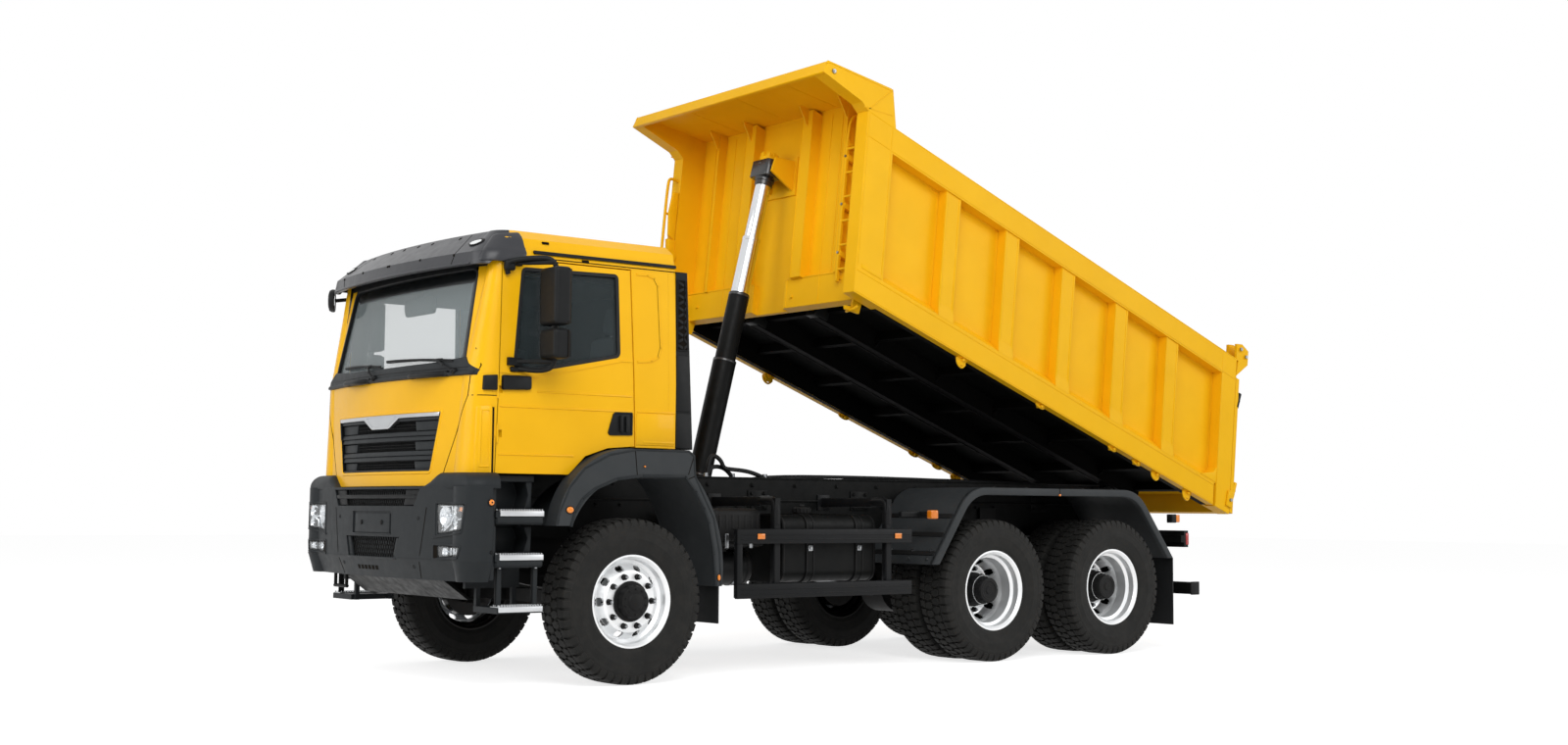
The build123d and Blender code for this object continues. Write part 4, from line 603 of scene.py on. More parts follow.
def sliced(part: bmesh.types.BMesh, way: Along, pitch: float) -> bmesh.types.BMesh:
    """Cuts a shape across an axis every pitch, so that it can follow a curved surface.

    Args:
        part: the shape.
        way: the axis that the cuts lie across.
        pitch: the distance between cuts.

    Returns:
        The same shape.
    """
    places = [v.co[way.value] for v in part.verts]
    normal = [0.0, 0.0, 0.0]
    normal[way.value] = 1.0
    count = max(1, round((max(places) - min(places)) / pitch))
    for i in range(1, count):
        spot = [0.0, 0.0, 0.0]
        spot[way.value] = min(places) + (max(places) - min(places)) * i / count
        bmesh.ops.bisect_plane(part, geom=part.verts[:] + part.edges[:] + part.faces[:], plane_co=spot,
                               plane_no=normal, dist=1e-6)
    return part


@dataclass(frozen=True)
class Skin:
    """The outer surface of a body, by level.

    Each level is z, x where the corner starts, its end as (x, y), the nose and half the width.
    """

    levels: tuple[tuple[float, float, float, float, float, float], ...]

    def row(self, z: float) -> list[float]:
        """The surface's sizes at one height."""
        z = min(max(z, self.levels[0][0]), self.levels[-1][0])
        low, high = next((a, b) for a, b in zip(self.levels, self.levels[1:]) if a[0] <= z <= b[0])
        share = (z - low[0]) / (high[0] - low[0])
        return [a + (b - a) * share for a, b in zip(low, high)]

    def front(self, y: float, z: float) -> float:
        """X of the surface, seen from the front."""
        _, side_x, corner_x, corner_y, nose, half = self.row(z)
        if abs(y) <= corner_y:
            sag = nose - corner_x
            radius = (corner_y**2 + sag**2) / (2 * sag)
            return nose - radius + math.sqrt(radius**2 - y**2)
        drop = half - corner_y
        radius = ((corner_x - side_x) ** 2 + drop**2) / (2 * drop)
        off = min(abs(y) - (half - radius), radius)
        return side_x + math.sqrt(max(0.0, radius**2 - off**2))

    def side(self, x: float, z: float) -> float:
        """Y of the surface, seen from the left."""
        _, side_x, corner_x, corner_y, _, half = self.row(z)
        if x <= side_x:
            return half
        drop = half - corner_y
        radius = ((corner_x - side_x) ** 2 + drop**2) / (2 * drop)
        return half - radius + math.sqrt(max(0.0, radius**2 - (x - side_x) ** 2))

    def onto_front(self, spot: Vector) -> Vector:
        """Puts a point given as (depth, y, z) on the front."""
        return Vector((self.front(spot.y, spot.z) + spot.x, spot.y, spot.z))

    def onto_left(self, spot: Vector) -> Vector:
        """Puts a point given as (x, depth, z) on the left side."""
        return Vector((spot.x, self.side(spot.x, spot.z) + spot.y, spot.z))

    def onto_right(self, spot: Vector) -> Vector:
        """Puts a point given as (x, depth, z) on the right side."""
        return Vector((spot.x, -self.side(spot.x, spot.z) - spot.y, spot.z))


CAB = Skin((
    (1.290, 1.000, 1.165, 0.900, 1.240, 1.135),
    (2.000, 0.990, 1.140, 0.965, 1.232, 1.140),
    (2.750, 0.940, 0.985, 1.000, 1.062, 1.118),
    (2.885, 0.880, 0.950, 0.960, 1.010, 1.085),
    (2.945, 0.800, 0.860, 0.880, 0.900, 1.000),
))
BUMPER = Skin((
    (0.690, 1.085, 1.170, 0.992, 1.245, 1.195),
    (0.820, 1.085, 1.215, 1.010, 1.290, 1.240),
    (1.285, 1.085, 1.215, 1.010, 1.290, 1.240),
))
VISOR = Skin((
    (2.695, 0.985, 1.130, 0.990, 1.215, 1.140),
    (2.780, 0.960, 1.120, 0.980, 1.205, 1.132),
    (2.937, 0.840, 0.940, 0.900, 1.010, 1.040),
))


class Form:
    """One piece in the making: shapes are added to it, each with the number of its finish."""

    def __init__(self, onto: Surface | None = None) -> None:
        """Starts an empty piece.

        Args:
            onto: the surface that its shapes are laid on, unless a shape names another.
        """
        self.mesh = bmesh.new()
        self.onto = onto

    def add(self, part: bmesh.types.BMesh, finish: int = 0, where: Matrix | None = None,
            onto: Surface | None = None) -> None:
        """Adds a shape and uses it up.

        Args:
            part: the shape.
            finish: number of its finish in the piece.
            where: a matrix that puts it in place.
            onto: a function that lays each of its points on a surface.
        """
        self._take(self._laid(part, onto), finish, where)

    def both(self, part: bmesh.types.BMesh, finish: int = 0, onto: Surface | None = None) -> None:
        """Adds a shape and its mirror image on the other side of the truck."""
        part = self._laid(part, onto)
        self._take(part.copy(), finish)
        self._take(part, finish, MIRRORED)

    def _laid(self, part: bmesh.types.BMesh, onto: Surface | None) -> bmesh.types.BMesh:
        """Lays a shape on its surface, or on the piece's own."""
        onto = onto or self.onto
        if onto:
            for vert in part.verts:
                vert.co = onto(vert.co)
        return part

    def _take(self, part: bmesh.types.BMesh, finish: int, where: Matrix | None = None) -> None:
        """Moves a shape's faces into the piece."""
        if where is not None:
            part.transform(where)
            if where.determinant() < 0:
                bmesh.ops.reverse_faces(part, faces=part.faces)
        for face in part.faces:
            face.material_index = finish
            face.smooth = True
        mesh = bpy.data.meshes.new("part")
        part.to_mesh(mesh)
        part.free()
        self.mesh.from_mesh(mesh)
        bpy.data.meshes.remove(mesh)

    def piece(self, name: str, body: str, finishes: Sequence, where: Matrix = AXLE, slot: str | None = None,
              replaces: Sequence[str] = (), sharp: float = 38.0) -> bpy.types.Object:
        """Makes the object and hangs it on its body.

        Args:
            name: the piece's name.
            body: the body that it moves with.
            finishes: its finishes or materials, in the order of their numbers.
            where: the matrix from the form's own axes to the shared frame.
            slot: the record's material slot; not used.
            replaces: the CAD nodes that it stands for.
            sharp: the angle in degrees past which an edge stays sharp.

        Returns:
            The object.
        """
        self.mesh.transform(where)
        data = bpy.data.meshes.new(name)
        self.mesh.to_mesh(data)
        count = len(self.mesh.faces)
        self.mesh.free()
        data.set_sharp_from_angle(angle=math.radians(sharp))
        for one in finishes:
            data.materials.append(one.material() if isinstance(one, Finish) else one)
        obj = bpy.data.objects.new(name, data)
        bpy.context.scene.collection.objects.link(obj)
        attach(obj, body)
        if replaces:
            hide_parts(*replaces)
        LOG.info("%s: %d faces on %s", name, count, body)
        return obj


# ---------------------------------------------------------------- the carried-over frame


def paint_frame() -> None:
    """Gives every carried-over CAD node the finish of its slot."""
    for row in frame["record"]["subparts"]:
        obj = frame["nodes"][row["node"]]
        slot = row["material_slot"]
        if slot == "glass":
            finish = glass_material(*(SCREEN_GLASS if row["node"] == "cab_glass" else SEEN_GLASS))
        else:
            finish = BY_NODE.get(row["node"], BY_SLOT[slot]).material()
        obj.data.materials.clear()
        obj.data.materials.append(finish)
        obj.data.set_sharp_from_angle(angle=math.radians(30))


# ---------------------------------------------------------------- wheels


@dataclass
class Tyre:
    """A drive tyre with staggered blocks and open shoulder lugs, about the Y axis."""

    radius: float = 0.545
    half: float = 0.150
    groove: float = 0.014
    pitches: int = 52

    def carcass(self) -> bmesh.types.BMesh:
        """The casing: bead, ringed sidewalls and the tread's floor."""
        r = self.radius - self.groove
        side = [(0.108, 0.290), (0.117, 0.296), (0.124, 0.306), (0.129, 0.318), (0.1335, 0.330),
                (0.136, 0.335), (0.1365, 0.342), (0.141, 0.360), (0.1465, 0.388), (0.1490, 0.404),
                (0.1502, 0.407), (0.1502, 0.413), (0.1498, 0.416), (0.1500, 0.430), (0.1490, 0.450),
                (0.1480, 0.462), (0.1488, 0.465), (0.1480, 0.471), (0.1455, 0.490), (0.1415, 0.508),
                (0.134, 0.522), (0.120, r - 0.002), (0.070, r)]
        profile = side + [(-w, rr) for w, rr in side[::-1]]
        return lathe(profile, 96, closed=True)

    def lug(self) -> bmesh.types.BMesh:
        """A shoulder lug that runs from the tread over the edge."""
        r = self.radius
        outline = [(0.084, r - 0.020), (0.082, r - 0.0005), (0.122, r - 0.003), (0.139, r - 0.012),
                   (0.1475, r - 0.036), (0.1485, r - 0.060), (0.143, r - 0.062), (0.135, r - 0.030)]
        part = plate(outline, Along.X, -0.0225, 0.0225)
        for vert in part.verts:
            vert.co.x += 0.10 * (vert.co.y - 0.11) + (0.004 if vert.co.x > 0 else -0.004) * (vert.co.y < 0.1)
        return part

    def block(self) -> bmesh.types.BMesh:
        """A six-sided block of the tread's middle."""
        r = self.radius
        outline = [(-0.028, 0.002), (-0.018, 0.0335), (0.014, 0.036), (0.028, 0.004), (0.018, -0.0335),
                   (-0.014, -0.036)]
        return plate(outline, Along.Z, r - 0.018, r)

    def wrapped(self, part: bmesh.types.BMesh, angle: float, across: float, flip: bool) -> bmesh.types.BMesh:
        """Bends a block round the tyre at an angle and shifts it across the tread."""
        for vert in part.verts:
            u, w, r = vert.co
            if flip:
                u, w = -u, -w
            turn = u / self.radius + angle
            vert.co = (r * math.sin(turn), w + across, r * math.cos(turn))
        bmesh.ops.recalc_face_normals(part, faces=part.faces)
        return part

    def build(self, form: Form, centres: Sequence[Point]) -> Form:
        """Adds whole tyres to a form.

        Args:
            form: the form to add to.
            centres: the tyres' middles.

        Returns:
            The form.
        """
        one = Form()
        one.add(self.carcass())
        for i in range(self.pitches):
            angle = math.tau * i / self.pitches
            half_step = math.pi / self.pitches
            one.add(self.wrapped(self.lug(), angle, 0, False))
            one.add(self.wrapped(self.lug(), angle + half_step, 0, True))
            one.add(self.wrapped(self.block(), angle + half_step * 0.3, 0.0385, False))
            one.add(self.wrapped(self.block(), angle + half_step * 1.3, -0.0385, True))
        for centre in centres:
            copy = one.mesh.copy()
            form.add(copy, 0, Matrix.Translation(centre))
        one.mesh.free()
        return form


@dataclass
class Wheels:
    """All the road wheels: tyres, nuts, hub caps and valves."""

    front_x: float = 0.0
    mid_x: float = -3.330
    rear_x: float = -4.680
    outer_y: float = 1.085
    dual_spacing: float = 0.340
    axle_z: float = 0.545
    nut_circle: float = 0.1675
    nuts: int = 10

    def build(self) -> None:
        """Makes the tyres and the trim of every wheel."""
        for side, sign in (("left", 1), ("right", -1)):
            for place, x, body in (("front", self.front_x, f"front_wheel_{side}"),
                                   ("mid", self.mid_x, f"mid_wheels_{side}"),
                                   ("rear", self.rear_x, f"rear_wheels_{side}")):
                ys = [self.outer_y] if place == "front" else [self.outer_y, self.outer_y - self.dual_spacing]
                node = f"{place}_tyre_{side}" if place == "front" else f"{place}_tyres_{side}"
                tyres = Tyre().build(Form(), [(x, sign * y, self.axle_z) for y in ys])
                tyres.piece(f"{node}_treaded", body, [TYRE_RUBBER], slot="tyre", replaces=[node], sharp=30)
                angle = 0 if sign > 0 else math.pi
                turn = Matrix.Translation((x, 0, self.axle_z)) @ Matrix.Rotation(angle, 4, "Z")
                if place == "front":
                    self.front_trim(body, side, turn)
                else:
                    self.rear_trim(body, place, side, turn)

    def nut(self, form: Form, y: float, angle: float, turn: Matrix) -> None:
        """A wheel nut on its collar, with the stud's bright end."""
        x, z = self.nut_circle * math.sin(angle), self.nut_circle * math.cos(angle)
        form.add(bar((x, y, z), (x, y + 0.006, z), 0.021, 0.019, 20), 0, turn)
        form.add(bar((x, y + 0.005, z), (x, y + 0.030, z), 0.0185, 0.0175, 6, edge=0.002), 0, turn)
        form.add(bar((x, y + 0.028, z), (x, y + 0.046, z), 0.0105, 0.0095, 12, edge=0.001), 1, turn)

    def front_trim(self, body: str, side: str, turn: Matrix) -> None:
        """The front wheel's nuts, stepped hub cap and valve."""
        form = Form()
        face = self.outer_y + 0.104
        for i in range(self.nuts):
            self.nut(form, face, math.tau * (i + 0.5) / self.nuts, turn)
        cap = [(face, 0.131), (face + 0.006, 0.134), (face + 0.010, 0.131), (face + 0.012, 0.112),
               (face + 0.060, 0.105), (face + 0.066, 0.101), (face + 0.069, 0.090), (face + 0.0705, 0.060),
               (face + 0.076, 0.056), (face + 0.080, 0.050), (face + 0.081, 0.0005)]
        form.add(lathe(cap, 64), 2, turn)
        for i in range(10):
            angle = math.tau * i / 10
            x, z = 0.083 * math.sin(angle), 0.083 * math.cos(angle)
            form.add(bar((x, face + 0.068, z), (x, face + 0.076, z), 0.0075, 0.007, 6), 0, turn)
        form.add(pipe([(0.205, face - 0.03, 0), (0.212, face + 0.012, 0), (0.236, face + 0.02, 0)], 0.0045),
                 0, turn)
        form.piece(f"front_wheel_trim_{side}", body, [CAST, STEEL, CAST], slot="cast")

    def rear_trim(self, body: str, place: str, side: str, turn: Matrix) -> None:
        """A twin wheel's nuts and stepped hub."""
        form = Form()
        face = self.outer_y - self.dual_spacing / 2 + 0.012
        for i in range(self.nuts):
            self.nut(form, face, math.tau * (i + 0.5) / self.nuts, turn)
        hub = [(face, 0.1335), (face + 0.060, 0.133), (face + 0.068, 0.128), (face + 0.070, 0.118),
               (face + 0.155, 0.1145), (face + 0.163, 0.110), (face + 0.166, 0.099), (face + 0.223, 0.0965),
               (face + 0.229, 0.092), (face + 0.231, 0.070), (face + 0.226, 0.064), (face + 0.226, 0.034),
               (face + 0.232, 0.030), (face + 0.232, 0.0005)]
        form.add(lathe(hub, 64), 2, turn)
        for i in range(16):
            angle = math.tau * i / 16
            x, z = 0.104 * math.sin(angle), 0.104 * math.cos(angle)
            form.add(bar((x, face + 0.163, z), (x, face + 0.171, z), 0.0065, 0.006, 6), 0, turn)
        form.add(pipe([(0.215, face - 0.01, 0), (0.222, face + 0.08, 0), (0.235, face + 0.15, 0)], 0.0045), 0,
                 turn)
        form.piece(f"{place}_wheel_trim_{side}", body, [CAST, STEEL, CAST], slot="cast")


# ---------------------------------------------------------------- cab


def strip(points: Sequence[tuple[float, float]], way: Along, low: float, high: float, width: float) -> list:
    """Narrow plates along a path of points, one for each of its runs.

    Args:
        points: the path, in the two axes that the plates lie in.
        way: the axis that the plates are carried along.
        low: where they start.
        high: where they end.
        width: their width.

    Returns:
        The plates.
    """
    runs = []
    for a, b in zip(points, points[1:]):
        along = Vector((b[0] - a[0], b[1] - a[1])).normalized()
        side = Vector((-along.y, along.x)) * width / 2
        ends = [Vector(a) - along * width * 0.3, Vector(b) + along * width * 0.3]
        outline = [ends[0] + side, ends[1] + side, ends[1] - side, ends[0] - side]
        runs.append(plate([(p.x, p.y) for p in outline], way, low, high))
    return runs


def soft_strip(path: Sequence[tuple[float, float]], way: Along, low: float, high: float, width: float,
               edge: float) -> list[bmesh.types.BMesh]:
    """A strip with its folds rounded.

    Args:
        path: its points.
        way: the axis that its thickness lies along.
        low: the thickness's start.
        high: the thickness's end.
        width: its width.
        edge: the radius of its edges.

    Returns:
        A shape for each of the path's runs.
    """
    fold = 1.2  # radians between two faces, past which the edge between them is rounded
    runs = strip(path, way, low, high, width)
    for run in runs:
        round_edges(run, [e for e in run.edges if e.calc_face_angle(0) > fold], edge)
    return runs


def oval(x: float, z: float, wide: float, high: float) -> list[tuple[float, float]]:
    """Points round a small oval lamp.

    Args:
        x: the middle, across.
        z: the middle, up.
        wide: half its width.
        high: half its height.

    Returns:
        Twenty points, counter-clockwise.
    """
    turns = [math.tau * i / 20 for i in range(20)]
    return [(x + wide * math.cos(turn), z + high * math.sin(turn)) for turn in turns]


@dataclass
class Grille:
    """The grille: stepped slats, three dark slots and a satin bar along its top. Points are (y, z)."""

    low_half: float = 0.648
    top_half: float = 0.748
    low_z: float = 1.389
    top_z: float = 1.761
    slot_half: float = 0.435
    slots: tuple = ((1.400, 1.452), (1.524, 1.580), (1.650, 1.712))
    slats: tuple = ((1.458, 1.488), (1.490, 1.519), (1.586, 1.615), (1.617, 1.645))

    def half(self, z: float) -> float:
        """Half the grille's width at one height."""
        return self.low_half + (z - self.low_z) / (self.top_z - self.low_z) * (self.top_half - self.low_half)

    def band(self, form: Form, low: float, high: float, deep: float, proud: float, tilt: float = 0.0) -> None:
        """A slat across the whole grille, its foot pushed out by tilt.

        Args:
            form: the piece that takes it.
            low: the slat's foot.
            high: the slat's top.
            deep: its back, from the skin.
            proud: its face, from the skin.
            tilt: how far the foot stands out past the top.
        """
        a, b = self.half(low) - 0.004, self.half(high) - 0.004
        part = sliced(plate([(-a, low), (a, low), (b, high), (-b, high)], Along.X, deep, proud, edge=0.003),
                      Along.Y, 0.09)
        for vert in part.verts:
            if vert.co.x > deep + 0.004:
                vert.co.x += tilt * (high - vert.co.z) / (high - low)
        form.add(part, onto=CAB.onto_front)

    def build(self) -> None:
        """Makes the grille and its trim bar."""
        form = Form(CAB.onto_front)
        back = plate([(-0.64, 1.387), (0.64, 1.387), (0.742, 1.763), (-0.742, 1.763)],
                     Along.X, -0.046, -0.040)
        form.add(sliced(back, Along.Y, 0.09), 1)
        self.band(form, 1.387, 1.399, -0.045, -0.004)
        for low, high in self.slats:
            self.band(form, low, high, -0.045, -0.014, 0.008)
        self.band(form, 1.716, 1.738, -0.045, -0.008)
        for low, high in self.slots:
            for sign in (-1, 1):
                inner = self.slot_half + (0.012 if sign > 0 else 0)
                a, b = sorted((sign * inner, sign * (self.half(low) - 0.004)))
                c, d = sorted((sign * (inner - 0.014), sign * (self.half(high) - 0.004)))
                end = plate([(a, low), (b, low), (d, high), (c, high)], Along.X, -0.045, -0.020, edge=0.004)
                form.add(sliced(end, Along.Y, 0.09))
            for i in range(-17, 18):
                fin = slab((-0.043, i * 0.024 - 0.0015, low), (-0.026, i * 0.024 + 0.0015, high))
                form.add(fin, 1)
            for level in (low + (high - low) / 3, low + (high - low) * 2 / 3):
                row = slab((-0.043, -self.slot_half, level - 0.0015),
                           (-0.028, self.slot_half, level + 0.0015))
                form.add(sliced(row, Along.Y, 0.09), 1)
        form.piece("grille_slats", "chassis", [PLASTIC_GREY, PLASTIC_BLACK], slot="plastic_grey",
                   replaces=["grille"])
        trim = Form(CAB.onto_front)
        outline = [(-0.744, 1.7635), (0.744, 1.7635), (0.735, 1.738), (0.262, 1.738), (0.245, 1.730),
                   (0.140, 1.678), (0.120, 1.671), (-0.120, 1.671), (-0.140, 1.678), (-0.245, 1.730),
                   (-0.262, 1.738), (-0.735, 1.738)]
        bright = sliced(plate(outline, Along.X, -0.030, 0.008, edge=0.005, steps=3), Along.Y, 0.07)
        trim.add(bright)
        rim = [(-0.216, 1.755), (0.216, 1.755), (0.205, 1.737), (0.118, 1.684),
               (-0.118, 1.684), (-0.205, 1.737)]
        ring = sliced(hoop(rim, Along.X, 0.007, 0.0105, 0.006), Along.Y, 0.07)
        trim.add(ring)
        trim.piece("grille_trim_bar", "chassis", [SATIN_METAL], slot="rim")
        border = Form(CAB.onto_front)
        outer = [(-0.668, 1.366), (0.668, 1.366), (0.777, 1.783), (-0.777, 1.783)]
        frame_ring = sliced(hoop(outer, Along.X, -0.010, 0.0045, 0.020, corner=0.03, edge=0.004), Along.Y,
                            0.09)
        border.add(frame_ring)
        border.piece("grille_surround", "chassis", [CAB_PAINT], slot="cab_paint")


@dataclass
class Windscreen:
    """The windscreen's rubber and dark borders, the cowl, the wipers and the two grab handles."""

    outline: tuple = ((-0.972, 2.030), (0.972, 2.030), (0.912, 2.708), (-0.912, 2.708))

    def build(self) -> None:
        """Makes the seal, the borders, the cowl, the wipers and the handles."""
        self.seal()
        self.cowl()
        self.wipers()
        self.sunband()

    def seal(self) -> None:
        """The rubber round the glass and the painted border behind it."""
        form = Form(CAB.onto_front)
        ring = sliced(hoop(self.outline, Along.X, -0.016, 0.003, 0.020, corner=0.07, edge=0.003), Along.Y,
                      0.08)
        ring = sliced(ring, Along.Z, 0.12)
        form.add(ring)
        wide = [(y * 0.985, z + (0.008 if z < 2.3 else -0.008)) for y, z in self.outline]
        border = sliced(hoop(wide, Along.X, -0.0135, -0.0125, 0.042, corner=0.10), Along.Y, 0.08)
        border = sliced(border, Along.Z, 0.12)
        form.add(border, 1)
        cover = plate([(-1.00, 2.700), (1.00, 2.700), (0.99, 2.775), (-0.99, 2.775)], Along.X, -0.002, 0.005)
        form.add(sliced(cover, Along.Y, 0.08))
        form.piece("windscreen_seal", "chassis", [RUBBER, PAINTED_BORDER], slot="rubber")

    def sunband(self) -> None:
        """The black band across the top of the glass."""
        form = Form(CAB.onto_front)
        band = plate([(-0.912, 2.600), (0.912, 2.600), (0.905, 2.702), (-0.905, 2.702)], Along.X,
                     -0.0138, -0.0128)
        form.add(sliced(band, Along.Y, 0.08))
        form.piece("windscreen_sunband", "chassis", [PAINTED_BORDER], slot="rubber")

    def cowl(self) -> None:
        """The dark cowl under the glass, with its ledge, and the two grab handles."""
        form = Form(CAB.onto_front)
        low = [(-1.085, 1.988), (1.085, 1.988), (1.098, 2.022), (1.02, 2.060), (0.968, 2.108), (0.60, 2.086),
               (0.0, 2.080), (-0.60, 2.086), (-0.968, 2.108), (-1.02, 2.060), (-1.098, 2.022)]
        form.add(sliced(plate(low, Along.X, -0.030, 0.009, edge=0.006), Along.Y, 0.06))
        ledge = [(-1.07, 1.992), (1.07, 1.992), (1.08, 2.014), (-1.08, 2.014)]
        form.add(sliced(plate(ledge, Along.X, 0.0, 0.020, edge=0.007), Along.Y, 0.06))
        groove = sliced(slab((0.008, -1.03, 2.040), (0.0105, 1.03, 2.044)), Along.Y, 0.06)
        form.add(groove, 1)
        for a, b in ((-0.575, -0.205), (0.420, 0.795)):
            reach = 0.055
            route = [(0.0, a, 2.006), (reach, a + 0.012, 2.003), (reach + 0.008, (a + b) / 2, 2.000),
                     (reach, b - 0.012, 2.003), (0.0, b, 2.006)]
            form.add(pipe(route, 0.017, sides=4), 1)
            for y in (a, b):
                form.add(slab((0.004, y - 0.032, 1.986), (0.024, y + 0.032, 2.026), edge=0.008), 1)
        form.piece("cowl_and_grab_handles", "chassis", [PLASTIC_GREY, PLASTIC_BLACK], slot="plastic_black")

    def wipers(self) -> None:
        """Two wipers, laid to the right across the glass."""
        form = Form(CAB.onto_front)
        for pivot, knee, ends in ((-0.095, (-0.245, 2.108), ((-0.720, 2.128), (-0.050, 2.098))),
                                  (0.893, (0.690, 2.100), ((0.030, 2.128), (0.850, 2.092)))):
            form.add(bar((0.0, pivot, 2.018), (0.034, pivot, 2.018), 0.021, 0.018, 16, edge=0.003))
            form.add(bar((0.026, pivot, 2.018), (0.040, pivot, 2.018), 0.011, 0.010, 6))
            arm = [(0.028, pivot, 2.018), (0.034, (pivot + knee[0]) / 2, 2.062), (0.020, *knee)]
            for a, b in zip(arm, arm[1:]):
                form.add(bar(a, b, 0.0085, 0.0065, 8))
            (y0, z0), (y1, z1) = ends
            mid = (z0 + z1) / 2
            blade = [(0.012, y0, z0), (0.016, y0 * 0.5 + y1 * 0.5, mid + 0.012), (0.012, y1, z1)]
            form.add(pipe(blade, 0.0065))
            rubber = [(y0, z0 - 0.010), ((y0 + y1) / 2, mid), (y1, z1 - 0.010)]
            for run in strip(rubber, Along.X, -0.008, 0.012, 0.007):
                form.add(sliced(run, Along.Y, 0.1), 1)
            form.add(slab((0.008, knee[0] - 0.05, knee[1] - 0.006),
                          (0.024, knee[0] + 0.05, knee[1] + 0.010), edge=0.004))
        form.piece("wipers", "chassis", [PLASTIC_BLACK, RUBBER], slot="plastic_black")


